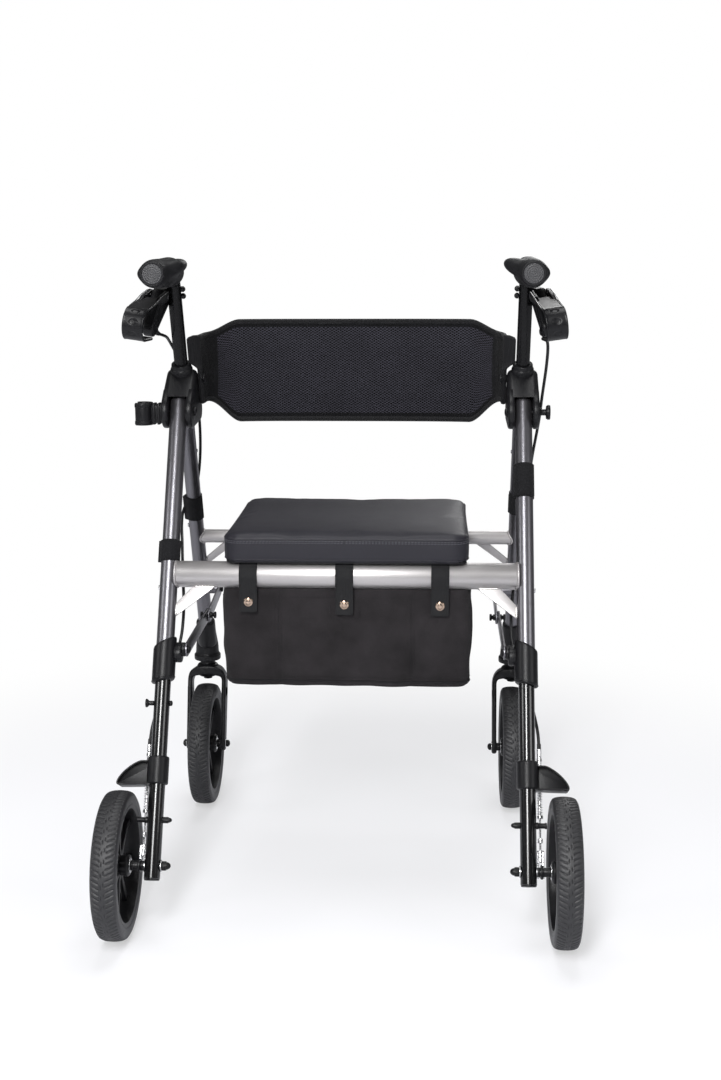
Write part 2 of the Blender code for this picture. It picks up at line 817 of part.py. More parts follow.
def pivot_bolt(side_name):
    side = SIDES[side_name]
    outer = LEG_X + BRACKET_HALF_WIDTH + GAP
    inner = LEG_X - BRACKET_HALF_WIDTH - GAP
    nut = (NUT_RADIUS, inner, inner - NUT_THICKNESS)
    if side == RIGHT:
        rim = outer + KNOB_STANDOFF
        steps = [
            (KNOB_RADIUS, rim + KNOB_THICKNESS, rim),
            (PIVOT_RADIUS + 0.001, rim, outer),
            (PIVOT_RADIUS, outer, inner),
            nut,
        ]
    else:
        steps = [(PIVOT_RADIUS, outer + CLIP_SCREW_DEPTH, inner), nut]
    return pin(f"pivot_bolt_{side_name}", side, FOLD_PIVOT.y, FOLD_PIVOT.z, steps)


def cane_clip():
    """A C that opens outward, on a base that the left pivot bolt screws into."""
    face = LEG_X + BRACKET_HALF_WIDTH + GAP
    centre = face + CLIP_BASE_LENGTH + CLIP_BORE
    half_mouth = CLIP_MOUTH / 2
    outer = arc((-centre, 0.0), CLIP_BORE + CLIP_WALL, math.pi + half_mouth, 3 * math.pi - half_mouth, 12)
    inner = arc((-centre, 0.0), CLIP_BORE, 3 * math.pi - half_mouth, math.pi + half_mouth, 12)
    height = FOLD_PIVOT.z - CLIP_DROP
    place = (0.0, FOLD_PIVOT.y, height)
    shape = plate("cane_clip", [outer + inner], CLIP_HEIGHT, place, None)
    base_centre = (-(face + CLIP_BASE_LENGTH / 2), FOLD_PIVOT.y, height)
    base_size = (CLIP_BASE_LENGTH, 2 * CLIP_BASE_HALF, CLIP_HEIGHT * 0.8)
    join(shape, block("clip_base", base_centre, base_size))
    hole = hole_along_x(
        "clip_screw_hole", LEFT, FOLD_PIVOT.y, FOLD_PIVOT.z, PIVOT_RADIUS + GAP,
        face + CLIP_SCREW_DEPTH + GAP, LEG_X, TUBE_SIDES,
    )
    return cut(shape, hole)


def caster_housing(side_name):
    side = SIDES[side_name]
    foot = CASTER_RING_HEIGHT
    ring = foot + CASTER_RING_THICKNESS
    profile = [
        (0.0, CASTER_TOP_HEIGHT),
        (CASTER_TOP_RADIUS, CASTER_TOP_HEIGHT),
        ((CASTER_TOP_RADIUS + CASTER_WAIST_RADIUS) / 2 + 0.001, CASTER_TOP_HEIGHT - 0.018),
        (CASTER_WAIST_RADIUS, ring + 0.004),
        (CASTER_WAIST_RADIUS, ring),
        (CASTER_RING_RADIUS, ring),
        (CASTER_RING_RADIUS, foot),
        (0.0, foot),
    ]
    place = (side * CASTER_X, CASTER_Y, 0.0)
    shape = turned(f"caster_housing_{side_name}", profile, place)
    x = side * LEG_X
    start = FRONT.at_height(x, CASTER_SLEEVE_FOOT)
    end = FRONT.at_height(x, CASTER_SLEEVE_TOP)
    join(shape, cylinder("housing_sleeve", start, end, CASTER_SLEEVE_RADIUS))
    leg_foot = FRONT.point(x, FRONT.along_at(FRONT_LEG_FOOT_HEIGHT) - GAP)
    leg_out = FRONT.at_height(x, CASTER_SLEEVE_TOP + 0.03)
    cut(shape, cylinder("housing_leg_bore", leg_foot, leg_out, FRONT_LEG_RADIUS + GAP))
    stud_foot = (side * CASTER_X, CASTER_Y, foot - 0.01)
    stud_top = (side * CASTER_X, CASTER_Y, STUD_TOP_HEIGHT + GAP)
    return cut(shape, cylinder("housing_stud_bore", stud_foot, stud_top, STUD_RADIUS + GAP))


def snap_button():
    seat = FRONT.at_height(0.0, BUTTON_HEIGHT)
    outer = LEG_X + FRONT_LEG_RADIUS + BUTTON_PROUD
    steps = [
        (BUTTON_RADIUS * 0.7, outer, outer - 0.0008),
        (BUTTON_RADIUS, outer - 0.0008, outer - BUTTON_LENGTH),
    ]
    return pin("snap_button_left", LEFT, seat.y, seat.z, steps)


# Casters

def caster_fork(side_name):
    side = SIDES[side_name]
    x = side * CASTER_X
    axle_y = WHEELBASE / 2
    height = CROWN_TOP_HEIGHT - CROWN_FOOT_HEIGHT
    crown_centre = (x, CASTER_Y, CROWN_FOOT_HEIGHT + height / 2)
    shape = block(
        f"caster_fork_{side_name}", crown_centre,
        (2 * FORK_HALF_WIDTH - PLAY, 2 * CROWN_HALF_DEPTH, height),
    )
    round_edges(shape, CROWN_BEVEL)
    outline = wrap_round(
        [
            (CASTER_Y, CROWN_TOP_HEIGHT - FORK_SHOULDER_RADIUS - CROWN_BEVEL, FORK_SHOULDER_RADIUS),
            (axle_y, WHEEL_RADIUS, FORK_FOOT_RADIUS),
        ]
    )
    for arm in (LEFT, RIGHT):
        arm_x = x + arm * (FORK_HALF_WIDTH - FORK_ARM_THICKNESS / 2)
        join(shape, plate("fork_arm", [outline], FORK_ARM_THICKNESS, (arm_x, 0, 0), SIDE_VIEW))
    stud = [
        (0.0, STUD_TOP_HEIGHT),
        (STUD_RADIUS, STUD_TOP_HEIGHT),
        (STUD_RADIUS, CASTER_RING_HEIGHT - GAP),
        (BEARING_RADIUS, CASTER_RING_HEIGHT - GAP),
        (BEARING_RADIUS, CROWN_TOP_HEIGHT - height / 3),
        (0.0, CROWN_TOP_HEIGHT - height / 3),
    ]
    join(shape, turned("fork_stud", stud, (x, CASTER_Y, 0.0)))
    far = 2 * FORK_HALF_WIDTH
    hole = cylinder(
        "fork_axle_hole", (x - far, axle_y, WHEEL_RADIUS), (x + far, axle_y, WHEEL_RADIUS),
        AXLE_RADIUS + GAP, PIN_SIDES,
    )
    return cut(shape, hole)


def front_axle(side_name):
    side = SIDES[side_name]
    outside = FORK_HALF_WIDTH + GAP
    inside = FORK_HALF_WIDTH - FORK_ARM_THICKNESS - GAP
    hub = HUB_WIDTH / 2 + PLAY
    steps = [
        (FRONT_NUT_RADIUS, CASTER_X + outside + FRONT_NUT_LENGTH, CASTER_X + outside),
        (AXLE_RADIUS, CASTER_X + outside, CASTER_X + inside),
        (SPACER_RADIUS, CASTER_X + inside, CASTER_X + hub),
        (AXLE_RADIUS, CASTER_X + hub, CASTER_X - hub),
        (SPACER_RADIUS, CASTER_X - hub, CASTER_X - inside),
        (AXLE_RADIUS, CASTER_X - inside, CASTER_X - outside),
        (FRONT_NUT_RADIUS, CASTER_X - outside, CASTER_X - outside - FRONT_NUT_LENGTH),
    ]
    return pin(f"front_axle_{side_name}", side, WHEELBASE / 2, WHEEL_RADIUS, steps)


# Rear frame

def rear_leg(side_name):
    side = SIDES[side_name]
    x = side * LEG_X
    start = REAR.along_at(REAR_LEG_FOOT_HEIGHT)
    end = REAR.along_at(FOLD_PIVOT_HEIGHT) + LEG_PAST_PIVOT
    bore = REAR_LEG_RADIUS - LEG_WALL
    leg = tube(
        f"rear_leg_{side_name}", REAR.point(x, 0), REAR.turn, start, end, REAR_LEG_RADIUS, bore
    )
    rivet = REAR.at_height(0.0, RIVET_HEIGHT)
    outer = LEG_X + REAR_LEG_RADIUS + RIVET_HEAD
    join(leg, pin("rivet", side, rivet.y, rivet.z, [(RIVET_RADIUS, outer, outer - RIVET_HEAD - LEG_WALL * 0.7)]))
    return cut(
        leg,
        hole_along_x(
            "leg_pivot_hole", side, FOLD_PIVOT.y, FOLD_PIVOT.z, PIVOT_RADIUS + GAP,
            LEG_X + 2 * REAR_LEG_RADIUS, LEG_X - 2 * REAR_LEG_RADIUS, TUBE_SIDES,
        ),
    )


def lower_tube(side_name):
    side = SIDES[side_name]
    x = side * LEG_X
    end = REAR.along_at(LOWER_TUBE_TOP_HEIGHT)
    radius = LOWER_TUBE_RADIUS
    shape = tube(
        f"lower_tube_{side_name}", REAR.point(x, 0), REAR.turn, -LOWER_TUBE_FOOT, end,
        radius, radius - LEG_WALL,
    )
    anchor = REAR.at_height(0.0, ANCHOR_HEIGHT)
    outer = LEG_X + radius
    inner = LEG_X - radius
    join(
        shape,
        pin(
            "anchor_bolt", side, anchor.y, anchor.z,
            [
                (ANCHOR_STANDOFF_RADIUS, outer + ANCHOR_STANDOFF_LENGTH, outer - 0.002),
                (ANCHOR_STANDOFF_RADIUS / 2, outer - 0.002, inner + 0.002),
                (ANCHOR_NUT_RADIUS, inner + 0.002, inner - ANCHOR_NUT_LENGTH),
            ],
        ),
    )
    axle = REAR.point(0, 0)
    far = LEG_X + 2 * radius
    near = LEG_X - 2 * radius
    cut(shape, hole_along_x("tube_axle_hole", side, axle.y, axle.z, AXLE_RADIUS + GAP, far, near))
    if side == LEFT:
        seat = REAR.at_height(0.0, STUD_HEIGHT)
        hole = STUD_SHANK_RADIUS + GAP
        cut(shape, hole_along_x("tube_stud_hole", side, seat.y, seat.z, hole, far, near))
    return shape


def left_stud():
    seat = REAR.at_height(0.0, STUD_HEIGHT)
    outer = LEG_X + LOWER_TUBE_RADIUS + STUD_STANDOFF
    inner = LEG_X - LOWER_TUBE_RADIUS - GAP
    face = LEG_X + LOWER_TUBE_RADIUS + GAP
    steps = [
        (STUD_HEAD_RADIUS, outer + STUD_HEAD_THICKNESS, outer),
        (STUD_SHANK_RADIUS * 1.5, outer, face),
        (STUD_SHANK_RADIUS, face, inner),
        (STUD_SHANK_RADIUS * 1.9, inner, inner - STUD_HEAD_THICKNESS),
    ]
    return pin("stud_left", LEFT, seat.y, seat.z, steps)


def lower_bracket(side_name):
    side = SIDES[side_name]
    x = side * LEG_X
    start = REAR.along_at(LOWER_BRACKET_FOOT_HEIGHT)
    end = REAR.along_at(LOWER_BRACKET_TOP_HEIGHT)
    leg_foot = REAR.along_at(REAR_LEG_FOOT_HEIGHT) - GAP
    shape = cylinder(
        f"lower_bracket_{side_name}", REAR.point(x, start), REAR.point(x, end), LOWER_BRACKET_RADIUS
    )
    face = REAR_LINK_X + LINK_THICKNESS + GAP
    head = REAR_LINK_X - GAP
    ear = pin(
        "rear_ear", side, *REAR_LINK_PIVOT,
        [
            (REAR_EAR_RADIUS, LEG_X, face),
            (LINK_PIN_RADIUS, face, head),
            (LINK_HEAD_RADIUS, head, head - LINK_HEAD_THICKNESS),
        ],
        sides=TUBE_SIDES,
    )
    join(shape, ear)
    past = 2 * REAR_LEG_RADIUS
    upper = cylinder(
        "bracket_upper_bore", REAR.point(x, leg_foot), REAR.point(x, end + past),
        REAR_LEG_RADIUS + GAP,
    )
    lower = cylinder(
        "bracket_lower_bore", REAR.point(x, start - past), REAR.point(x, leg_foot + GAP),
        LOWER_TUBE_RADIUS + GAP,
    )
    return cut(shape, upper, lower)


def side_link(name, side_name, x, start, end, hole, head_outer, head_inner):
    """A flat bar with a pivot hole at one end and half of the middle bolt at the other."""
    side = SIDES[side_name]
    outline = wrap_round([(*start, LINK_HALF_HEIGHT), (*end, LINK_HALF_HEIGHT)])
    bore = circle(hole, LINK_PIN_RADIUS + GAP, HOLE_SIDES)
    place = (side * (x + LINK_THICKNESS / 2), 0.0, 0.0)
    shape = plate(f"{name}_{side_name}", [outline, bore], LINK_THICKNESS, place, SIDE_VIEW)
    head = pin("middle_head", side, *MIDDLE_PIVOT, [(MIDDLE_HEAD_RADIUS, head_outer, head_inner)])
    return join(shape, head)


def brake_housing(side_name):
    side = SIDES[side_name]
    x = side * LEG_X
    shape = cylinder(
        f"brake_housing_{side_name}", REAR.point(x, HOUSING_FOOT), REAR.point(x, HOUSING_TOP),
        HOUSING_RADIUS,
    )
    tip = HOUSING_FOOT + WING_TIP_DEPTH
    steps = 6
    crest = []
    for k in range(steps + 1):
        angle = math.pi / 2 * (1 - k / steps)
        reach = WING_SHOULDER_X + (WING_TIP_X - WING_SHOULDER_X) * math.cos(angle)
        crest.append((side * reach, tip + (WING_TOP - tip) * math.sin(angle)))
    outline = [(side * LEG_X, HOUSING_FOOT), (side * LEG_X, WING_TOP)] + crest
    outline.append((side * WING_TIP_X, HOUSING_FOOT))
    wing = plate(
        "housing_wing", [outline], WING_FRONT - WING_BACK,
        REAR.point(0, 0, (WING_FRONT + WING_BACK) / 2), REAR.face_turn,
    )
    rod_x = side * BRAKE_X
    adjuster = cylinder(
        "adjuster", REAR.point(rod_x, HOUSING_TOP - 0.008, ROD_AHEAD),
        REAR.point(rod_x, WING_TOP + ADJUSTER_LENGTH, ROD_AHEAD), ADJUSTER_RADIUS, PIN_SIDES,
    )
    join(shape, wing, adjuster)
    bore = cylinder(
        "housing_bore", REAR.point(x, HOUSING_FOOT - 0.02), REAR.point(x, HOUSING_TOP + 0.02),
        LOWER_TUBE_RADIUS + GAP,
    )
    rod_hole = cylinder(
        "housing_rod_hole", REAR.point(rod_x, HOUSING_FOOT - 0.02, ROD_AHEAD),
        REAR.point(rod_x, WING_TOP + ADJUSTER_LENGTH + 0.01, ROD_AHEAD), ROD_RADIUS + GAP, PIN_SIDES,
    )
    pocket = cylinder(
        "housing_pocket", REAR.point(rod_x, HOUSING_FOOT - 0.02, ROD_AHEAD),
        REAR.point(rod_x, HOUSING_FOOT + POCKET_DEPTH, ROD_AHEAD), SPRING_POCKET_RADIUS, PIN_SIDES,
    )
    return cut(shape, bore, rod_hole, pocket)


def brake_arm(side_name):
    side = SIDES[side_name]
    outline = wrap_round([(0.0, 0.0, ARM_HUB_RADIUS), (ROD_AHEAD, 0.0, ARM_EYE_RADIUS)])
    journal = circle((0.0, 0.0), AXLE_RADIUS + GAP, HOLE_SIDES)
    eye = circle((ROD_AHEAD, 0.0), ARM_EYE_BORE, HOLE_SIDES)
    place = REAR.point(side * BRAKE_X, 0.0)
    return plate(
        f"brake_arm_{side_name}", [outline, journal, eye], ARM_THICKNESS, place, REAR.side_turn
    )


def brake_rod(side_name):
    side = SIDES[side_name]
    x = side * BRAKE_X
    seat = SPRING_SEAT_ALONG + SPRING_SEAT_THICKNESS
    profile = [
        (0.0, HOUSING_TOP),
        (ROD_RADIUS, HOUSING_TOP),
        (ROD_RADIUS, seat),
        (SPRING_SEAT_RADIUS, seat),
        (SPRING_SEAT_RADIUS, SPRING_SEAT_ALONG),
        (ROD_RADIUS, SPRING_SEAT_ALONG),
        (ROD_RADIUS, LOCK_NUT_ALONG + LOCK_NUT_LENGTH),
        (LOCK_NUT_RADIUS, LOCK_NUT_ALONG + LOCK_NUT_LENGTH),
        (LOCK_NUT_RADIUS, LOCK_NUT_ALONG),
        (ROD_RADIUS, LOCK_NUT_ALONG),
        (ROD_RADIUS, CLEVIS_TOP - 0.005),
        (0.0, CLEVIS_TOP - 0.005),
    ]
    place = REAR.point(x, 0.0, ROD_AHEAD)
    shape = turned(f"brake_rod_{side_name}", profile, place, REAR.turn, sides=PIN_SIDES)
    middle = (CLEVIS_FOOT + CLEVIS_TOP) / 2
    clevis = block(
        "clevis", REAR.point(x, middle, ROD_AHEAD),
        (CLEVIS_SIZE, CLEVIS_SIZE, CLEVIS_TOP - CLEVIS_FOOT), REAR.turn,
    )
    join(shape, round_edges(clevis, 0.0012))
    slot_foot = CLEVIS_FOOT - 0.005
    slot = block(
        "clevis_slot", REAR.point(x, (slot_foot + CLEVIS_SLOT_TOP) / 2, ROD_AHEAD),
        (ARM_THICKNESS + 2 * PLAY, 2 * CLEVIS_SIZE, CLEVIS_SLOT_TOP - slot_foot), REAR.turn,
    )
    cut(shape, slot)
    eye = REAR.point(0, 0, ROD_AHEAD)
    reach = CLEVIS_SIZE / 2 - 0.0005
    return join(
        shape,
        pin("clevis_pin", side, eye.y, eye.z, [(CLEVIS_PIN_RADIUS, BRAKE_X + reach, BRAKE_X - reach)]),
    )


def brake_spring(side_name):
    """One unbroken wire wound round the rod, from its seat up into the housing's pocket."""
    side = SIDES[side_name]
    start = SPRING_SEAT_ALONG + SPRING_SEAT_THICKNESS + GAP + SPRING_WIRE
    end = HOUSING_FOOT + SPRING_IN_POCKET
    count = SPRING_TURNS * SPRING_POINTS_PER_TURN
    points = []
    for k in range(count + 1):
        angle = 2 * math.pi * k / SPRING_POINTS_PER_TURN
        across = side * BRAKE_X + SPRING_RADIUS * math.cos(angle)
        ahead = ROD_AHEAD + SPRING_RADIUS * math.sin(angle)
        points.append(REAR.point(across, start + (end - start) * k / count, ahead))
    pitch = SPRING_POINTS_PER_TURN
    gap = min((points[i] - points[i + pitch]).length for i in range(count + 1 - pitch))
    print(f"brake_spring_{side_name}: least gap to itself {1000 * (gap - 2 * SPRING_WIRE):.2f} mm")
    return wire(f"brake_spring_{side_name}", points, SPRING_WIRE, 1)


def rear_axle(side_name):
    side = SIDES[side_name]
    hub = HUB_WIDTH / 2 + PLAY
    outer = REAR_HALF_TRACK + hub
    inner = REAR_HALF_TRACK - hub
    arm_out = BRAKE_X + ARM_THICKNESS / 2 + GAP
    arm_in = BRAKE_X - ARM_THICKNESS / 2 - GAP
    tube_out = LEG_X + LOWER_TUBE_RADIUS + GAP
    tube_in = LEG_X - LOWER_TUBE_RADIUS - GAP
    steps = [
        (AXLE_NUT_RADIUS, outer + AXLE_NUT_LENGTH, outer),
        (AXLE_RADIUS, outer, inner),
        (SPACER_RADIUS, inner, arm_out),
        (AXLE_RADIUS, arm_out, arm_in),
        (SPACER_RADIUS, arm_in, tube_out),
        (AXLE_RADIUS, tube_out, tube_in),
        (NUT_RADIUS, tube_in, tube_in - DOME_NUT_LENGTH),
    ]
    axle = REAR.point(0, 0)
    return pin(f"rear_axle_{side_name}", side, axle.y, axle.z, steps)


# Handles

def stem_route(side):
    """The stem's line: straight up the front leg, round the bend and back along the grip."""
    x = side * LEG_X
    corner = FRONT.at_height(x, GRIP_HEIGHT)
    back = Vector((0.0, -1.0, 0.0))
    turn = FRONT.up.angle(back)
    tangent = STEM_BEND_RADIUS * math.tan(turn / 2)
    start = corner - FRONT.up * tangent
    inward = (back - FRONT.up * FRONT.up.dot(back)).normalized()
    centre = start + inward * STEM_BEND_RADIUS
    points = [FRONT.at_height(x, STEM_FOOT_HEIGHT)]
    for k in range(STEM_BEND_STEPS + 1):
        angle = turn * k / STEM_BEND_STEPS
        arm = -inward * math.cos(angle) + FRONT.up * math.sin(angle)
        points.append(centre + arm * STEM_BEND_RADIUS)
    points.append(Vector((x, GRIP_REAR_Y + STEM_END_INSET, GRIP_HEIGHT)))
    return points


def stem(side_name):
    side = SIDES[side_name]
    x = side * LEG_X
    shape = wire(f"stem_{side_name}", stem_route(side), STEM_RADIUS, TUBE_RESOLUTION)
    start = FRONT.point(x, FRONT.along_at(STEM_FOOT_HEIGHT) - 0.02)
    end = FRONT.at_height(x, GRIP_HEIGHT - STEM_BORE_DROP)
    cut(shape, cylinder("stem_bore", start, end, STEM_RADIUS - STEM_WALL))
    for height in LEVER_BOLT_HEIGHTS:
        seat = FRONT.at_height(0.0, height)
        cut(
            shape,
            hole_along_x(
                "stem_bolt_hole", side, seat.y, seat.z, LEVER_BOLT_RADIUS + GAP,
                LEG_X + 2 * STEM_RADIUS, LEG_X - 2 * STEM_RADIUS,
            ),
        )
    if side == LEFT:
        foot = FRONT.along_at(STEM_FOOT_HEIGHT) - 0.01
        top = FRONT.along_at(STEM_SLOT_TOP_HEIGHT)
        centre = FRONT.point(side * (LEG_X + STEM_RADIUS), (foot + top) / 2)
        size = (STEM_RADIUS, 2 * STEM_SLOT_HALF, top - foot)
        cut(shape, block("stem_slot", centre, size, FRONT.turn))
    return shape


def grip(side_name):
    """A lofted handle: a round core with a wing inward and up, and a low flange outward."""
    side = SIDES[side_name]
    stations = []
    for k in range(GRIP_RINGS + 1):
        share = k / GRIP_RINGS
        ease = (1 - math.cos(math.pi * share)) / 2
        stations.append(GRIP_REAR_Y + (GRIP_FRONT_Y - GRIP_REAR_Y) * ease)
    length = GRIP_FRONT_Y - GRIP_REAR_Y

    def radius_at(angle, y):
        along = (y - GRIP_REAR_Y) / length
        core = GRIP_RADIUS + (GRIP_FRONT_RADIUS - GRIP_RADIUS) * max(0.0, 2 * along - 1)
        swell = max(0.0, 1 - (2 * along - 1) ** 8) ** 0.5
        radius = GRIP_END_RADIUS + (core - GRIP_END_RADIUS) * swell
        off = math.atan2(math.sin(angle - GRIP_WING_ANGLE), math.cos(angle - GRIP_WING_ANGLE))
        wing = math.exp(-((off / GRIP_WING_SPREAD) ** 2) - ((y - GRIP_WING_Y) / GRIP_WING_LENGTH) ** 4)
        flange = math.exp(-((angle / GRIP_WING_SPREAD) ** 2)) * swell
        return radius + GRIP_WING_REACH * wing + GRIP_FLANGE * flange

    def build(work):
        rings = []
        for y in stations:
            ring = []
            for k in range(GRIP_SIDES):
                angle = 2 * math.pi * k / GRIP_SIDES
                angle = math.atan2(math.sin(angle), math.cos(angle))
                radius = radius_at(angle, y)
                x = side * (LEG_X + radius * math.cos(angle))
                ring.append(work.verts.new((x, y, GRIP_HEIGHT + radius * math.sin(angle))))
            rings.append(ring)
        for low, high in zip(rings, rings[1:]):
            for k in range(GRIP_SIDES):
                n = (k + 1) % GRIP_SIDES
                work.faces.new((low[k], low[n], high[n], high[k]))
        work.faces.new(rings[0])
        work.faces.new(rings[-1])
        bmesh.ops.recalc_face_normals(work, faces=work.faces)

    shape = add_shape(f"grip_{side_name}", mesh_from("grip", build))
    route = stem_route(side)
    route[-1] = route[-1] - Vector((0.0, GAP, 0.0))
    return cut(shape, wire("grip_bore", route, STEM_RADIUS + GAP, TUBE_RESOLUTION))


def lever_turn(side):
    return Euler((0.0, -side * LEVER_ROLL, side * LEVER_SPLAY))


def lever_place(side):
    return Vector((side * LEVER_BODY_X, *LEVER_PIVOT))


def lever_body(side_name):
    """The block beside the stem that carries the lever and the end of the cable."""
    side = SIDES[side_name]
    top = FRONT.at_height(0.0, LEVER_BOLT_HEIGHTS[0])
    pivot_y, pivot_z = LEVER_PIVOT
    outline = wrap_round(
        [
            (0.0, 0.0, LEVER_BODY_EYE),
            (top.y - pivot_y, top.z - pivot_z, LEVER_BODY_SHOULDER - 0.004),
            (*LEVER_BLOCK, LEVER_BLOCK_RADIUS),
        ]
    )
    turn = (lever_turn(side).to_matrix() @ SIDE_VIEW.to_matrix()).to_euler()
    place = lever_place(side)
    shape = plate(f"lever_body_{side_name}", [outline], LEVER_BODY_WIDTH, place, turn)
    cut(shape, wire("lever_body_saddle", stem_route(side), STEM_RADIUS + GAP, TUBE_RESOLUTION))
    axis = lever_turn(side).to_matrix() @ Vector((LEVER_WIDTH, 0.0, 0.0))
    cut(shape, cylinder("lever_pin_hole", place - axis, place + axis, LEVER_PIVOT_RADIUS + GAP, PIN_SIDES))
    for height in LEVER_BOLT_HEIGHTS:
        seat = FRONT.at_height(0.0, height)
        nut = LEG_X - STEM_RADIUS - GAP
        bolt = [
            (LEVER_BOLT_RADIUS, LEVER_BODY_X + 0.002, nut),
            (LEVER_NUT_RADIUS, nut, nut - LEVER_NUT_LENGTH),
        ]
        join(shape, pin("lever_bolt", side, seat.y, seat.z, bolt))
    return shape


def brake_lever(side_name):
    """A broad strip: back from the pivot, down round a bend and forward again."""
    side = SIDES[side_name]
    start = (0.0, LEVER_THICKNESS / 2)
    centre = (-LEVER_BEND_BACK, -LEVER_BEND_DROP)
    bend = arc(centre, LEVER_BEND_RADIUS, math.pi / 2, 3 * math.pi / 2, 8)
    end = (centre[0] + LEVER_RETURN, centre[1] - LEVER_BEND_RADIUS)
    turn = (lever_turn(side).to_matrix() @ SIDE_VIEW.to_matrix()).to_euler()
    place = lever_place(side)
    outline = ribbon([start] + bend + [end], LEVER_THICKNESS)
    shape = plate(f"brake_lever_{side_name}", [outline], LEVER_WIDTH, place, turn)
    frame = lever_turn(side).to_matrix()
    half = frame @ Vector((LEVER_WIDTH / 2, 0.0, 0.0))
    eye = cylinder("lever_eye", place - half, place + half, LEVER_EYE_RADIUS, 16)
    slot_centre = place + frame @ Vector((0.0, (0.02 - LEVER_SLOT_BACK) / 2, 0.0))
    slot_size = (LEVER_BODY_WIDTH + 2 * PLAY, 0.02 + LEVER_SLOT_BACK, 0.04)
    slot = block("lever_slot", slot_centre, slot_size, lever_turn(side))
    reach = half * 0.95
    axle = cylinder("lever_pin", place - reach, place + reach, LEVER_PIVOT_RADIUS, PIN_SIDES)
    join(shape, eye)
    cut(shape, slot)
    return join(shape, axle)


# Seat, pouch and backrest

SEAT_REAR_Y = REAR_BAR.y - SEAT_BEHIND_BAR
SEAT_FRONT_Y = FRONT_BAR.y + SEAT_AHEAD_OF_BAR
SEAT_MIDDLE_Y = (SEAT_REAR_Y + SEAT_FRONT_Y) / 2
SEAT_DEPTH = SEAT_FRONT_Y - SEAT_REAR_Y
BOARD_FOOT = REAR_BAR.z + REAR_BAR_RADIUS + GAP
PAD_FOOT = BOARD_FOOT + SEAT_BOARD_THICKNESS + GAP


def seat_board():
    size = (
        SEAT_WIDTH - 2 * SEAT_BOARD_INSET,
        SEAT_DEPTH - 2 * SEAT_BOARD_INSET,
        SEAT_BOARD_THICKNESS,
    )
    centre = (0.0, SEAT_MIDDLE_Y, BOARD_FOOT + SEAT_BOARD_THICKNESS / 2)
    shape = block("seat_board", centre, size)
    bore = FRONT_BAR_RADIUS + GAP
    radius = bore + SEAT_CLIP_WALL
    rise = BOARD_FOOT + SEAT_BOARD_THICKNESS / 2 - FRONT_BAR.z
    for side in (LEFT, RIGHT):
        ring = arc((0.0, 0.0), radius, math.pi, 2 * math.pi, 8)
        outline = ring + [(radius, rise), (-radius, rise)]
        hole = circle((0.0, 0.0), bore, 16)
        place = (side * SEAT_CLIP_X, FRONT_BAR.y, FRONT_BAR.z)
        join(shape, plate("seat_clip", [outline, hole], SEAT_CLIP_WIDTH, place, SIDE_VIEW))
    return shape


def seat_pad():
    """A coarse cage, crowned on top and drawn in under the seam, smoothed by subdivision."""
    half_x = SEAT_WIDTH / 2
    half_y = SEAT_DEPTH / 2
    columns = [-half_x, -half_x + SEAT_CORNER, half_x - SEAT_CORNER, half_x]
    rows = [-half_y, -half_y + SEAT_CORNER, half_y - SEAT_CORNER, half_y]
    levels = [0.0, SEAT_PAD_THICKNESS * 0.72, SEAT_PAD_THICKNESS]

    def place(i, j, k):
        x = columns[i]
        y = rows[j]
        z = levels[k]
        if k == 0:
            x *= 1 - SEAT_DRAWN_IN / half_x
            y *= 1 - SEAT_DRAWN_IN / half_y
        if k == 2:
            x *= 1 - 2 * SEAT_DRAWN_IN / half_x
            y *= 1 - 2 * SEAT_DRAWN_IN / half_y
            edge = max(abs(x) / half_x, abs(y) / half_y)
            z -= SEAT_CROWN * edge * edge
        return (x, y, z)

    def build(work):
        last = (len(columns) - 1, len(rows) - 1, len(levels) - 1)
        made = {}
        for i in range(last[0] + 1):
            for j in range(last[1] + 1):
                for k in range(last[2] + 1):
                    if i in (0, last[0]) or j in (0, last[1]) or k in (0, last[2]):
                        made[i, j, k] = work.verts.new(place(i, j, k))
        for (i, j, k) in list(made):
            for a, b in (((1, 0, 0), (0, 1, 0)), ((0, 1, 0), (0, 0, 1)), ((1, 0, 0), (0, 0, 1))):
                flat = 3 - [n for n in range(3) if a[n] or b[n]][0] - [n for n in range(3) if a[n] or b[n]][1]
                if (i, j, k)[flat] not in (0, last[flat]):
                    continue
                corners = [(i, j, k), (i + a[0], j + a[1], k + a[2]),
                           (i + a[0] + b[0], j + a[1] + b[1], k + a[2] + b[2]),
                           (i + b[0], j + b[1], k + b[2])]
                if all(c in made for c in corners):
                    work.faces.new([made[c] for c in corners])
        bmesh.ops.recalc_face_normals(work, faces=work.faces)

    shape = add_shape("seat_pad", mesh_from("seat_pad", build), (0.0, SEAT_MIDDLE_Y, PAD_FOOT))
    smooth = shape.modifiers.new("smooth", "SUBSURF")
    smooth.levels = 2
    smooth.render_levels = 2
    return shape


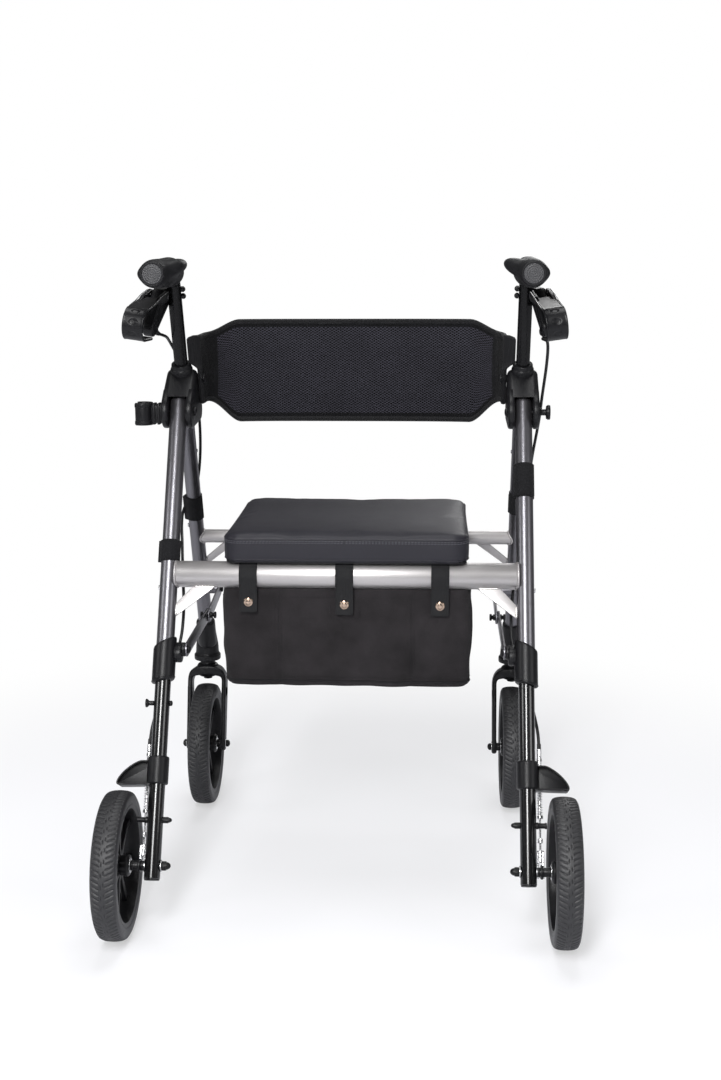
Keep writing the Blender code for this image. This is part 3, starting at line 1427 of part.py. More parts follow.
def pouch():
    """An open-topped bag between the two bars, with rounded corners and a thin wall."""
    top = REAR_BAR.z - REAR_BAR_RADIUS - GAP
    rear = REAR_BAR.y - POUCH_BEHIND_BAR
    front = FRONT_BAR.y - FRONT_BAR_RADIUS - GAP
    centre = (0.0, (rear + front) / 2, top - POUCH_HEIGHT / 2)

    def build(work):
        bmesh.ops.create_cube(work, size=1.0)
        bmesh.ops.scale(work, vec=(POUCH_WIDTH, front - rear, POUCH_HEIGHT), verts=work.verts)
        lid = [f for f in work.faces if f.normal.z > 0.5]
        bmesh.ops.delete(work, geom=lid, context="FACES_ONLY")
        edges = [e for e in work.edges if len(e.link_faces) == 2]
        bmesh.ops.bevel(
            work, geom=edges, offset=POUCH_CORNER, segments=2, profile=0.5, affect="EDGES",
            clamp_overlap=True,
        )

    shape = add_shape("pouch", mesh_from("pouch", build), centre)
    wall = shape.modifiers.new("wall", "SOLIDIFY")
    wall.thickness = POUCH_WALL
    wall.offset = -1.0
    return shape


def backrest():
    """A band that leaves each stem as a low tab, rises to its full height and bows across."""

    def build(work):
        columns = []
        for k in range(BACKREST_COLUMNS + 1):
            angle = math.pi * (k / BACKREST_COLUMNS - 0.5)
            across = math.copysign(abs(math.sin(angle)) ** BACKREST_SQUARENESS, angle)
            bow = max(0.0, math.cos(angle)) ** BACKREST_SQUARENESS
            columns.append((across, bow))
        stations = [(-1.0, None)] + columns + [(1.0, None)]
        grid = []
        for across, bow in stations:
            share = max(0.0, (abs(across) - BACKREST_SHOULDER) / (1 - BACKREST_SHOULDER))
            middle = 1 - share * share * (3 - 2 * share)
            top = BACKREST_END_TOP + (BACKREST_TOP - BACKREST_END_TOP) * middle
            foot = BACKREST_END_FOOT + (BACKREST_FOOT - BACKREST_END_FOOT) * middle
            column = []
            for n in range(BACKREST_ROWS + 1):
                z = foot + (top - foot) * n / BACKREST_ROWS
                if bow is None:
                    y = FRONT.at_height(0.0, z).y
                else:
                    y = BACKREST_TAB_FRONT_Y + BACKREST_BOW * bow
                column.append(work.verts.new((BACKREST_HALF_WIDTH * across, y, z)))
            grid.append(column)
        for near, far in zip(grid, grid[1:]):
            for n in range(BACKREST_ROWS):
                work.faces.new((near[n], far[n], far[n + 1], near[n + 1]))

    shape = add_shape("backrest", mesh_from("backrest", build))
    wall = shape.modifiers.new("wall", "SOLIDIFY")
    wall.thickness = BACKREST_THICKNESS
    wall.offset = 0.0
    wall.use_even_offset = True
    y, z = backrest_stud_place()
    for side in (LEFT, RIGHT):
        reach = BACKREST_HALF_WIDTH + 0.02
        inner = BACKREST_HALF_WIDTH - 0.02
        radius = BACKREST_STUD_RADIUS + PLAY
        cut(shape, hole_along_x("backrest_hole", side, y, z, radius, reach, inner))
    return shape


# Brake cables

LEFT_CABLE_ROUTE = [
    (-0.2740, *CABLE_EXIT),
    (-0.2700, 0.0360, 0.7925),
    (-0.2690, 0.0620, 0.7880),
    (-0.2690, 0.0860, 0.7800),
    (-0.2650, 0.1080, 0.7640),
    (-0.2560, 0.1270, 0.7400),
    (-0.2440, 0.1380, 0.7120),
    (-0.2390, 0.1480, 0.6800),
    (-0.2390, 0.1640, 0.6300),
    (-0.2440, 0.1810, 0.5800),
    (-0.2530, 0.1900, 0.5400),
    (-0.2650, 0.1860, 0.5220),
    (-0.2690, 0.1650, 0.5100),
    (-0.2640, 0.1200, 0.4980),
    (-0.2520, 0.0500, 0.4850),
    (-0.2420, -0.0100, 0.4700),
    (-0.2380, -0.0340, 0.4500),
]

RIGHT_CABLE_ROUTE = [
    (0.2740, *CABLE_EXIT),
    (0.2830, 0.0200, 0.7830),
    (0.2840, 0.0400, 0.7520),
    (0.2810, 0.0780, 0.7000),
    (0.2790, 0.1080, 0.6600),
    (0.2720, 0.1400, 0.6000),
    (0.2680, 0.1620, 0.5500),
    (0.2690, 0.1700, 0.5200),
    (0.2680, 0.1500, 0.4960),
    (0.2640, 0.1100, 0.4820),
    (0.2550, 0.0500, 0.4700),
    (0.2440, -0.0100, 0.4600),
    (0.2390, -0.0320, 0.4450),
]

LOWER_CABLE_ROUTE = [
    (0.2350, -0.0500, 0.4180),
    (0.2335, -0.0680, 0.3950),
    (0.2350, -0.0820, 0.3720),
    (0.2420, -0.0920, 0.3450),
    (0.2520, -0.1010, 0.3150),
    (0.2630, -0.1200, 0.2830),
    (0.2690, -0.1420, 0.2560),
]


def brake_cable(side_name):
    """The cable's outer sleeve, from the lever body along the legs to the adjuster."""
    side = SIDES[side_name]
    upper = LEFT_CABLE_ROUTE if side == LEFT else RIGHT_CABLE_ROUTE
    lower = [(side * x, y, z) for x, y, z in LOWER_CABLE_ROUTE]
    socket = REAR.point(side * BRAKE_X, WING_TOP + ADJUSTER_LENGTH + GAP, ROD_AHEAD)
    above = socket + REAR.up * 2 * CABLE_RADIUS
    route = smooth_route(upper + lower + [tuple(above), tuple(socket)], CABLE_SPACING)
    return wire(f"brake_cable_{side_name}", route, CABLE_RADIUS, CABLE_RESOLUTION)


# Assembly

def settle(part):
    """Replaces the part's mesh by its finished surface, shaded smooth except at its corners."""
    mesh = evaluated_mesh(part)
    part.modifiers.clear()
    part.data = mesh
    mesh.shade_smooth()
    mesh.set_sharp_from_angle(angle=math.radians(35))


def build_front_frame():
    front = Body("front_frame", (0.0, 0.0, 0.0))
    for name in SIDES:
        front.hold(front_leg(name), "grey_paint")
        front.hold(top_bracket(name), "black_plastic")
        front.hold(caster_housing(name), "black_plastic")
        front.hold(pivot_bolt(name), "steel" if name == "left" else "black_plastic")
    gussets = (FRONT_GUSSET_X, FRONT_GUSSET_WIDTH, FRONT_GUSSET_DROP, FRONT_GUSSET_EDGE)
    bar = crossbar("front_crossbar", FRONT, FRONT_BAR, FRONT_BAR_RADIUS, FRONT_LEG_RADIUS, gussets)
    front.hold(bar, "grey_paint")
    front.hold(cane_clip(), "black_plastic")
    front.hold(backrest(), "cloth")
    front.hold(pouch(), "cloth")
    button = Body("snap_button_slide", FRONT.at_height(-LEG_X, BUTTON_HEIGHT), front)
    button.hold(snap_button(), "steel")
    return front


def build_rear_frame(front):
    rear = Body("rear_frame_fold", FOLD_PIVOT, front)
    for name in SIDES:
        rear.hold(rear_leg(name), "grey_paint")
        rear.hold(lower_tube(name), "black_gloss")
        rear.hold(lower_bracket(name), "black_plastic")
        rear.hold(brake_housing(name), "black_plastic")
        rear.hold(rear_axle(name), "steel")
        rear.hold(brake_cable(name), "black_rubber")
    rear.hold(left_stud(), "black_plastic")
    gussets = (REAR_GUSSET_X, REAR_GUSSET_WIDTH, REAR_GUSSET_DROP, REAR_GUSSET_EDGE)
    bar = crossbar("rear_crossbar", REAR, REAR_BAR, REAR_BAR_RADIUS, REAR_LEG_RADIUS, gussets)
    rear.hold(bar, "silver_paint")
    return rear


def build_links(front, rear):
    outer_head = REAR_LINK_X + LINK_THICKNESS
    for name, side in SIDES.items():
        rear_link = Body(f"rear_link_pivot_{name}", (0.0, *REAR_LINK_PIVOT), rear)
        made = side_link(
            "rear_link", name, REAR_LINK_X, REAR_LINK_PIVOT, MIDDLE_PIVOT, REAR_LINK_PIVOT,
            outer_head + MIDDLE_HEAD_LENGTH, outer_head - 0.002,
        )
        rear_link.hold(made, "grey_paint")
        front_link = Body(f"front_link_pivot_{name}", (0.0, *FRONT_LINK_PIVOT), front)
        made = side_link(
            "front_link", name, LINK_X, MIDDLE_PIVOT, FRONT_LINK_PIVOT, FRONT_LINK_PIVOT,
            LINK_X + 0.002, LINK_X - MIDDLE_HEAD_LENGTH,
        )
        front_link.hold(made, "grey_paint")


def build_brakes(rear):
    for name, side in SIDES.items():
        x = side * BRAKE_X
        rod = Body(f"brake_rod_slide_{name}", REAR.point(x, 0.0, ROD_AHEAD), rear)
        rod.hold(brake_rod(name), "steel")
        rod.hold(brake_spring(name), "steel")
        arm = Body(f"brake_arm_pivot_{name}", REAR.point(x, 0.0), rear)
        arm.hold(brake_arm(name), "black_plastic")


def build_wheels(front, rear):
    tyre = tyre_mesh()
    rim = rim_mesh()
    for name, side in SIDES.items():
        wheel = Body(f"rear_wheel_axle_{name}", REAR.point(side * REAR_HALF_TRACK, 0.0), rear)
        make_wheel(wheel, "rear", name, REAR_HALF_TRACK, tyre, rim)
        swivel = Body(f"caster_swivel_{name}", (side * CASTER_X, CASTER_Y, CROWN_TOP_HEIGHT), front)
        swivel.hold(caster_fork(name), "black_plastic")
        swivel.hold(front_axle(name), "steel")
        axle = (side * CASTER_X, WHEELBASE / 2, WHEEL_RADIUS)
        wheel = Body(f"front_wheel_axle_{name}", axle, swivel)
        make_wheel(wheel, "front", name, CASTER_X, tyre, rim)


def build_handles(front):
    for name, side in SIDES.items():
        slide = Body(f"stem_slide_{name}", FRONT.at_height(side * LEG_X, GRIP_HEIGHT), front)
        slide.hold(stem(name), "black_gloss")
        slide.hold(grip(name), "black_rubber")
        slide.hold(lever_body(name), "black_plastic")
        lever = Body(f"brake_lever_pivot_{name}", lever_place(side), slide)
        lever.hold(brake_lever(name), "black_plastic")


def build_seat(front):
    seat = Body("seat_hinge", FRONT_BAR, front)
    seat.hold(seat_board(), "black_plastic")
    seat.hold(seat_pad(), "vinyl")


def main():
    front = build_front_frame()
    rear = build_rear_frame(front)
    build_links(front, rear)
    build_brakes(rear)
    build_wheels(front, rear)
    build_handles(front)
    build_seat(front)
    for part in PARTS.objects:
        if part.type == "MESH":
            settle(part)


main()
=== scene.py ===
import json
import math

import bmesh
import bpy
import numpy as np
from bpy.props import FloatProperty, FloatVectorProperty, IntProperty, PointerProperty
from mathutils import Euler, Matrix
from mathutils.bvhtree import BVHTree

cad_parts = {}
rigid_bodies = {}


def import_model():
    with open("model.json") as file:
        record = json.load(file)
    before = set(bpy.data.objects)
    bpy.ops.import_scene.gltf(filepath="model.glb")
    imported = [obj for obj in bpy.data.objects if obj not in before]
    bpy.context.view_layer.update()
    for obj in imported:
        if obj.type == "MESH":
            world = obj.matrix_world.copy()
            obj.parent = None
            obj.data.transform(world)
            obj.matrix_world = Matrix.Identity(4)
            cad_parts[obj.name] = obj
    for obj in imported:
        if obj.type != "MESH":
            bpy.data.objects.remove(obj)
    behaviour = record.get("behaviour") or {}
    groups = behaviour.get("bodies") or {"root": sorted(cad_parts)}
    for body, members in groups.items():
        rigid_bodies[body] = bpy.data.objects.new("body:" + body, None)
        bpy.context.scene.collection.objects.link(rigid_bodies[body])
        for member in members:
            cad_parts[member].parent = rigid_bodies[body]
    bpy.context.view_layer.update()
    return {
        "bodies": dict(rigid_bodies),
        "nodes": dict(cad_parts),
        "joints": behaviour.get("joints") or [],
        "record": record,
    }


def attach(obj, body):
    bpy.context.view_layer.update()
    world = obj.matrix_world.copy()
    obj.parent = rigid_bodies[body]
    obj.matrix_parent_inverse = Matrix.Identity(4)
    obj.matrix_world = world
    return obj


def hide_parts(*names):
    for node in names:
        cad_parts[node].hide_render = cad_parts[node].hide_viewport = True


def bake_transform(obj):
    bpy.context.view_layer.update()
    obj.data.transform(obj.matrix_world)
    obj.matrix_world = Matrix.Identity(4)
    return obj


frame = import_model()

bl_info = {
    "name": "Four-wheel walker",
    "version": (1, 0, 0),
    "blender": (4, 5, 0),
    "location": "3D View > Sidebar > Walker",
    "description": "Dresses the frame of a folding four-wheel walker with its finished pieces",
    "category": "Object",
}

# Metres. +X is the right hand of the person who pushes the walker, +Y is forward, +Z is up.
# Each pair of pieces is drawn for the right side, and the left one is its mirror image.

SIDES = {"left": -1, "right": 1}

# Wheels
WHEEL_RADIUS = 0.1
TYRE_DEPTH = 0.02
RIM_HALF = 0.015
RIM_WALL = 0.0055
HUB_HALF = 0.0172
HUB_STOP = 0.0177
SPOKES = 8
HALF_WHEELBASE = 0.252
REAR_WHEEL_X = 0.3
CASTER_X = 0.2545
CASTER_Y = 0.285

# Legs and bars
LEG_X = 0.2525
REAR_LEG_RADIUS = 0.0125
FRONT_LEG_RADIUS = 0.0115
LOWER_TUBE_RADIUS = 0.011
STEM_RADIUS = 0.01
REAR_BAR_Z = 0.461
REAR_BAR_RADIUS = 0.01875
FRONT_BAR_Z = 0.465
FRONT_BAR_RADIUS = 0.0105
WELD_RADIUS = 0.0014
WELD_RIPPLE = 0.0028
BRACE_THICK = 0.003
BUTTON_Z = 0.484

# Fold pivot and top bracket
PIVOT_Z = 0.68
YOKE_HALF = 0.0225
YOKE_SLOT_HALF = 0.013
YOKE_EYE = 0.0245
YOKE_SLEEVE = 0.0165
FOLD_BOLT_HALF = 0.0228
BACK_STUD_Z = 0.722

# Side links: each is a flat bar that starts at its x and is one thickness wide
LINK_REAR = (-0.107, 0.362)
LINK_MIDDLE = (0.088, 0.363)
LINK_FRONT = (0.206, 0.377)
LINK_X = {"rear": 0.2213, "front": 0.218}
LINK_THICK = 0.003
PLAY = 0.0003

# Brakes
BRAKE_X = 0.27
ROD_AHEAD = 0.022
HOUSING_FOOT = 0.109
HOUSING_TOP = 0.147
WING_TOP = 0.142

# Handles and cables
GRIP_Z = 0.883
GRIP_REAR_Y = -0.128
GRIP_FRONT_Y = 0.02
STEM_BEND = 0.035
LEVER_X = 0.2708
LEVER_PIVOT = (0.012, 0.85)
LEVER_SPLAY = math.radians(5.5)
LEVER_ROLL = math.radians(8)
LEVER_BEND = 0.0205
CABLE_RADIUS = 0.0022

# Seat, pouch and backrest
SEAT_REAR_Y = -0.0874
SEAT_FRONT_Y = 0.2379
SEAT_MIDDLE = (SEAT_REAR_Y + SEAT_FRONT_Y) / 2
SEAT_HALF = 0.18
SEAT_FOOT_Z = 0.4854
SEAT_TOP_Z = 0.5215
POUCH_HALF = 0.1775
POUCH_REAR_Y = -0.0748
POUCH_FRONT_Y = 0.1861
POUCH_MIDDLE = (POUCH_REAR_Y + POUCH_FRONT_Y) / 2
POUCH_TOP_Z = 0.442
POUCH_FOOT_Z = 0.3
BACK_HALF = 0.226
BACK_MESH_HALF = 0.212
BACK_END_Z = 0.7375
BACK_TAB_Y = 0.128
BACK_BOW = 0.062
BACK_SQUARENESS = 0.55
TAPE_STITCH = (0.0036, 0.0027)

TURN = 2 * math.pi
WHITE = (1.0, 1.0, 1.0, 1.0)
UP = np.array((0.0, 0.0, 1.0))
OUT = np.array((1.0, 0.0, 0.0))
AHEAD = np.array((0.0, 1.0, 0.0))
FINISH = {}


class LegLine:
    """A straight leg in the side view: up runs along it, ahead is square to it and forward."""

    def __init__(self, y, z, lean):
        self.foot = np.array((0.0, y, z))
        self.up = np.array((0.0, math.sin(lean), math.cos(lean)))
        self.ahead = np.array((0.0, math.cos(lean), -math.sin(lean)))

    def at(self, x, along, ahead=0.0):
        """The point at an x, that far along the leg and ahead of it."""
        return self.foot + self.up * along + self.ahead * ahead + OUT * x

    def along(self, z):
        """How far along the leg a height lies."""
        return (z - self.foot[2]) / self.up[2]

    def level(self, x, z, ahead=0.0):
        """The leg's point at an x and a height."""
        return self.at(x, self.along(z), ahead)


REAR = LegLine(-HALF_WHEELBASE, WHEEL_RADIUS, math.radians(27.66))
FRONT = LegLine(CASTER_Y, 0.2437, math.radians(-21.7))
PIVOT_Y = REAR.level(0, PIVOT_Z)[1]
REAR_BAR_Y = REAR.level(0, REAR_BAR_Z)[1]
FRONT_BAR_Y = FRONT.level(0, FRONT_BAR_Z)[1]


# Lines and outlines

def unit(v):
    """The vector, or each of several, at length 1."""
    v = np.asarray(v, float)
    return v / np.linalg.norm(v, axis=-1, keepdims=True)


def square_to(axis):
    """Two unit directions square to an axis and to each other."""
    axis = unit(axis)
    hint = AHEAD if abs(axis[1]) < 0.9 else UP
    first = unit(np.cross(hint, axis))
    return first, np.cross(axis, first)


def soften(points, radius, steps=4, closed=False):
    """A line of points with its corners rounded. Each corner P becomes the curve
    (1-t)^2 A + 2t(1-t) P + t^2 B, where A and B lie on its two sides, a radius away or less."""
    points = np.array(points, float)
    count = len(points)
    out = []
    for i in range(count):
        if not closed and i in (0, count - 1):
            out.append(points[i])
            continue
        before, here, after = points[i - 1], points[i], points[(i + 1) % count]
        near = np.linalg.norm(before - here)
        far = np.linalg.norm(after - here)
        back = here + (before - here) * min(radius / max(near, 1e-9), 0.48)
        on = here + (after - here) * min(radius / max(far, 1e-9), 0.48)
        for k in range(steps + 1):
            t = k / steps
            out.append(back * (1 - t) ** 2 + here * 2 * t * (1 - t) + on * t * t)
    return np.array(out)


def belt(circles, steps=72):
    """The outline of a belt pulled round circles of (x, y, radius): their convex hull."""
    angle = np.arange(steps) * TURN / steps
    points = set()
    for x, y, radius in circles:
        across, high = x + radius * np.cos(angle), y + radius * np.sin(angle)
        points.update(zip(across.tolist(), high.tolist()))
    ordered = sorted(points)

    def half(run):
        kept = []
        for p in run:
            while len(kept) > 1:
                (ax, ay), (bx, by) = kept[-2], kept[-1]
                if (bx - ax) * (p[1] - ay) - (by - ay) * (p[0] - ax) > 1e-12:
                    break
                kept.pop()
            kept.append(p)
        return kept[:-1]

    return np.array(half(ordered) + half(reversed(ordered)))


def arc(centre, radius, start, end, steps):
    """Points of a circle's arc from one angle to another."""
    angle = np.linspace(start, end, steps + 1)
    return np.stack((centre[0] + radius * np.cos(angle), centre[1] + radius * np.sin(angle)), -1)


def ring(radius, sides=24):
    """A closed round section."""
    return arc((0.0, 0.0), radius, 0.0, TURN, sides)


def box_section(width, height, corner, steps=4):
    """A closed section: a rectangle with rounded corners."""
    w, h = width / 2, height / 2
    loop = soften([(w, -h), (w, h), (-w, h), (-w, -h)], corner, steps, closed=True)
    return np.vstack((loop, loop[:1]))


def smooth_route(points, spacing):
    """Points on the curve that runs through a route, each span a cubic whose slope at an end is
    half of the way between its two neighbours, and about one spacing apart."""
    points = np.array(points, float)
    ends = np.vstack((2 * points[:1] - points[1:2], points, 2 * points[-1:] - points[-2:-1]))
    out = []
    for a, b, c, d in zip(ends, ends[1:], ends[2:], ends[3:]):
        steps = max(1, round(float(np.linalg.norm(c - b)) / spacing))
        t = (np.arange(steps) / steps)[:, None]
        out.append((2 * b + (c - a) * t + (2 * a - 5 * b + 4 * c - d) * t**2
                    + (3 * b - a - 3 * c + d) * t**3) / 2)
    return np.vstack(out + [points[-1:]])


def run_length(path):
    """How far along a path each of its points lies."""
    return np.concatenate(((0.0,), np.cumsum(np.linalg.norm(np.diff(path, axis=0), axis=-1))))


def at_lengths(path, lengths):
    """The points at some lengths along a path."""
    run = run_length(path)
    return np.stack([np.interp(lengths, run, column) for column in path.T], -1)


def evenly(path, spacing):
    """Points the same distance apart along a path, both ends kept."""
    path = np.array(path, float)
    whole = run_length(path)[-1]
    return at_lengths(path, np.linspace(0.0, whole, max(3, round(whole / spacing) + 1)))


def smoothstep(low, high, value):
    """0 below low, 1 above high and 3t^2 - 2t^3 between them."""
    t = np.clip((value - low) / (high - low), 0.0, 1.0)
    return t * t * (3 - 2 * t)


def wobble(a, b, seed):
    """A smooth uneven height from -1 to 1: a sum of slanted sine waves of falling size."""
    total = 0.0
    for k in range(5):
        angle = seed * 1.7 + k * 2.4
        rate = 1.0 + 0.9 * k
        wave = np.sin(rate * (a * math.cos(angle) + b * math.sin(angle)) + seed + k * k)
        total = total + wave / (1 + k)
    return total / 2.3


# Surfaces

class Shape:
    """Gathers grids of points and flat caps and makes one object of them."""

    def __init__(self, name, mirror=1):
        self.name = name
        self.mirror = mirror
        self.points = []
        self.loops = []
        self.sizes = []
        self.uv = []
        self.slots = []
        self.count = 0

    def grid(self, points, slot=0, uv=None):
        """Adds rows of points with a quad in each cell. uv defaults to the lengths along the
        middle column and the middle row."""
        rows, columns = points.shape[:2]
        if uv is None:
            down, across = run_length(points[:, columns // 2]), run_length(points[rows // 2])
            uv = np.stack(np.meshgrid(down, across, indexing="ij"), -1)
        index = self.count + np.arange(rows * columns).reshape(rows, columns)
        quads = np.stack((index[:-1, :-1], index[1:, :-1], index[1:, 1:], index[:-1, 1:]), -1)
        quads = quads.reshape(-1, 4)
        self.points.append(points.reshape(-1, 3))
        self.loops.append(quads.reshape(-1))
        self.uv.append(uv.reshape(-1, 2)[(quads - self.count).reshape(-1)])
        self.sizes.append(np.full(len(quads), 4))
        self.slots.append(np.full(len(quads), slot))
        self.count += rows * columns

    def cap(self, loop, slot=0):
        """Closes a loop of points with one flat face."""
        if np.allclose(loop[0], loop[-1], atol=1e-7):
            loop = loop[:-1]
        first, second = square_to(np.cross(loop[1] - loop[0], loop[len(loop) // 2] - loop[0]))
        self.points.append(loop)
        self.loops.append(self.count + np.arange(len(loop)))
        self.uv.append(np.stack((loop @ first, loop @ second), -1))
        self.sizes.append(np.array([len(loop)]))
        self.slots.append(np.array([slot]))
        self.count += len(loop)

    def turned(self, profile, origin, axis, sides=40, slot=0, squeeze=None, slant=None):
        """A profile of (radius, height) turned about an axis: origin + axis h + r (cos a, sin a).
        squeeze, where given, takes the angles, heights and radii and returns the radii. slant is a
        direction and its slopes at the foot and the head: each ring rises towards the direction."""
        profile = np.array(profile, float)
        angle = np.linspace(0.0, TURN, sides + 1)[None, :]
        axis = unit(axis)
        first, second = square_to(axis)
        radius = np.repeat(profile[:, :1], sides + 1, 1)
        height = np.repeat(profile[:, 1:], sides + 1, 1)
        if squeeze:
            radius = squeeze(angle, height, radius)
        around = np.cos(angle)[..., None] * first + np.sin(angle)[..., None] * second
        if slant:
            share = (height - profile[:, 1].min()) / np.ptp(profile[:, 1])
            slope = slant[1] + (slant[2] - slant[1]) * share
            height = height + slope * radius * (around @ slant[0])
        points = np.asarray(origin) + height[..., None] * axis + radius[..., None] * around
        widest = profile[:, 0].max()
        lengths = np.broadcast_arrays(angle * widest, run_length(profile)[:, None])
        self.grid(points, slot, np.stack(lengths, -1))

    def tube(self, start, end, radius, edge=0.001, sides=40, slot=0):
        """A straight closed tube between two points, its ends rounded."""
        start, end = np.asarray(start, float), np.asarray(end, float)
        length = float(np.linalg.norm(end - start))
        profile = [(0, 0), (radius, 0), (radius, length), (0, length)]
        self.turned(soften(profile, edge), start, end - start, sides, slot)

    def pin(self, y, z, steps, edge=0.0006, sides=28, slot=0):
        """A stepped pin along X, each step (radius, outer distance, inner distance)."""
        profile = [(0.0, steps[0][1])]
        for radius, outer, inner in steps:
            profile += [(radius, outer), (radius, inner)]
        profile.append((0.0, steps[-1][2]))
        self.turned(soften(profile, edge, 3), (0.0, y, z), OUT, sides, slot)

    def nut(self, origin, axis, radius, length, slot=0, dome=0.0):
        """A hexagonal nut with turned-off corners and, where asked, a domed end: at each angle
        the radius is the lesser of the profile's and the hexagon's."""
        profile = [(0, 0), (radius * 0.88, 0), (radius * 1.02, length * 0.18),
                   (radius * 1.02, length * 0.82), (radius * 0.88, length)]
        if dome:
            cap = arc((0.0, 0.0), 1.0, 0.0, math.pi / 2, 8)
            profile += [(radius * 0.74 * c, length + dome * s) for c, s in cap]
        else:
            profile += [(radius * 0.5, length), (radius * 0.42, length + radius * 0.22)]
        profile.append((0, profile[-1][1]))
        turn = 0.3

        def hexagon(angle, height, radii):
            flat = np.cos((angle + turn) % (math.pi / 3) - math.pi / 6)
            limit = radius * math.cos(math.pi / 6) / flat
            return np.where(height <= length, np.minimum(radii, limit), radii)

        self.turned(profile, origin, axis, 48, slot, hexagon)

    def slab(self, outline, thickness, place, u, v, edge=0.0008, slot=0, steps=3):
        """A flat outline carried through its thickness. Near both faces it draws in along a
        quarter circle, moving each point along the line that halves its corner."""
        outline = np.array(outline, float)
        before = unit(outline - np.roll(outline, 1, 0) + 1e-12)
        after = unit(np.roll(outline, -1, 0) - outline + 1e-12)
        both = before + after
        ahead = np.roll(outline, -1, 0)
        area = np.sum(outline[:, 0] * ahead[:, 1] - outline[:, 1] * ahead[:, 0])
        turn = 1.0 if area > 0 else -1.0
        inward = turn * np.stack((-both[:, 1], both[:, 0]), -1)
        sharpness = np.maximum(np.sum(unit(both + 1e-12) * after, -1, keepdims=True), 0.5)
        inward = inward / sharpness \
            / np.maximum(np.linalg.norm(both, axis=-1, keepdims=True), 1e-6)
        u, v = unit(u), unit(v)
        w = np.cross(u, v)
        angle = np.linspace(0.0, math.pi / 2, steps + 1)
        half = thickness / 2
        low = [(edge * (1 - math.sin(a)), -half + edge * (1 - math.cos(a))) for a in angle]
        levels = low + [(inset, -depth) for inset, depth in reversed(low)]
        rows = []
        for inset, depth in levels:
            flat = outline + inward * inset
            flat = np.vstack((flat, flat[:1]))
            rows.append(np.asarray(place) + flat[:, :1] * u + flat[:, 1:] * v + w * depth)
        self.grid(np.array(rows), slot)
        self.cap(rows[0][::-1], slot)
        self.cap(rows[-1], slot)

    def carried(self, path, section, hint=UP, slot=0, caps=True):
        """A section of (across, up) points carried along a path. Its across direction starts
        square to the hint and then turns only as much as the path makes it. A path that ends
        where it starts closes on itself and needs no caps."""
        path = np.array(path, float)
        tangent = unit(np.gradient(path, axis=0))
        if np.linalg.norm(path[0] - path[-1]) < 1e-6:
            tangent[0] = tangent[-1] = unit(path[1] - path[-2])
            caps = False
        across = np.empty_like(path)
        across[0] = unit(np.cross(tangent[0], hint))
        for i in range(1, len(path)):
            lean = across[i - 1] - tangent[i] * np.dot(across[i - 1], tangent[i])
            across[i] = unit(lean)
        upward = np.cross(across, tangent)
        section = np.asarray(section, float)
        if section.ndim == 2:
            section = np.repeat(section[None], len(path), 0)
        points = path[:, None] + section[..., :1] * across[:, None] \
            + section[..., 1:] * upward[:, None]
        self.grid(points, slot)
        if caps:
            self.cap(points[0], slot)
            self.cap(points[-1][::-1], slot)

    def bead(self, path, radius, slot=0):
        """A weld bead: a round wire whose radius ripples along its path and falls at its ends."""
        path = smooth_route(path, 0.0005)
        length = run_length(path)
        swell = 1 + 0.16 * np.abs(np.sin(math.pi * length / WELD_RIPPLE))
        swell *= np.minimum(1.0, 0.35 + np.minimum(length, length[-1] - length) / radius * 0.5)
        section = ring(radius, 12)[None] * swell[:, None, None]
        self.carried(path, section, UP + OUT * 0.01, slot)

    def stitches(self, path, pitch, length, radius, slot=0):
        """A row of stitches: short thread ends that dip into the cloth at both ends."""
        path = np.array(path, float)
        section = ring(radius, 6)[None] * np.array((0.35, 1.0, 1.0, 0.35))[:, None, None]
        for k in range(int(run_length(path)[-1] / pitch)):
            line = at_lengths(path, np.linspace(k * pitch, k * pitch + length, 4))
            self.carried(line, section, (0.31, 0.22, 0.93), slot)

    def make(self, finishes, sharp=38):
        """The object, with its finishes by name, smooth except where its faces meet at an angle."""
        points = np.vstack(self.points)
        points[:, 0] *= self.mirror
        mesh = bpy.data.meshes.new(self.name)
        sizes = np.concatenate(self.sizes).astype(np.int32)
        starts = np.concatenate(((0,), np.cumsum(sizes)[:-1])).astype(np.int32)
        loops = np.concatenate(self.loops).astype(np.int32)
        mesh.vertices.add(len(points))
        mesh.vertices.foreach_set("co", points.astype(np.float32).reshape(-1))
        mesh.loops.add(len(loops))
        mesh.loops.foreach_set("vertex_index", loops)
        mesh.polygons.add(len(sizes))
        mesh.polygons.foreach_set("loop_start", starts)
        mesh.polygons.foreach_set("material_index", np.concatenate(self.slots).astype(np.int32))
        mesh.update(calc_edges=True)
        mesh.uv_layers.new(name="lengths").data.foreach_set(
            "uv", np.vstack(self.uv).astype(np.float32).reshape(-1))
        tidy(mesh)
        for finish in finishes:
            mesh.materials.append(FINISH[finish])
        mesh.shade_smooth()
        mesh.set_sharp_from_angle(angle=math.radians(sharp))
        thing = bpy.data.objects.new(self.name, mesh)
        bpy.context.scene.collection.objects.link(thing)
        return thing

    def fit(self, finishes, body, slot, *nodes, sharp=38):
        """Makes the object and seats it."""
        return seat_piece(self.make(finishes, sharp), body, slot, *nodes)


def tidy(mesh):
    """Joins points that coincide, drops faces that this leaves without an area and turns every
    face outward."""
    work = bmesh.new()
    work.from_mesh(mesh)
    bmesh.ops.remove_doubles(work, verts=work.verts, dist=2e-6)
    bmesh.ops.dissolve_degenerate(work, edges=work.edges, dist=1e-7)
    bmesh.ops.recalc_face_normals(work, faces=work.faces)
    work.to_mesh(mesh)
    work.free()


def seat_piece(thing, body, slot, *nodes):
    """Fixes a finished piece to its body and says which parts of the frame it stands for."""
    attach(thing, body)
    if nodes:
        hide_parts(*nodes)
    return thing


# Finishes

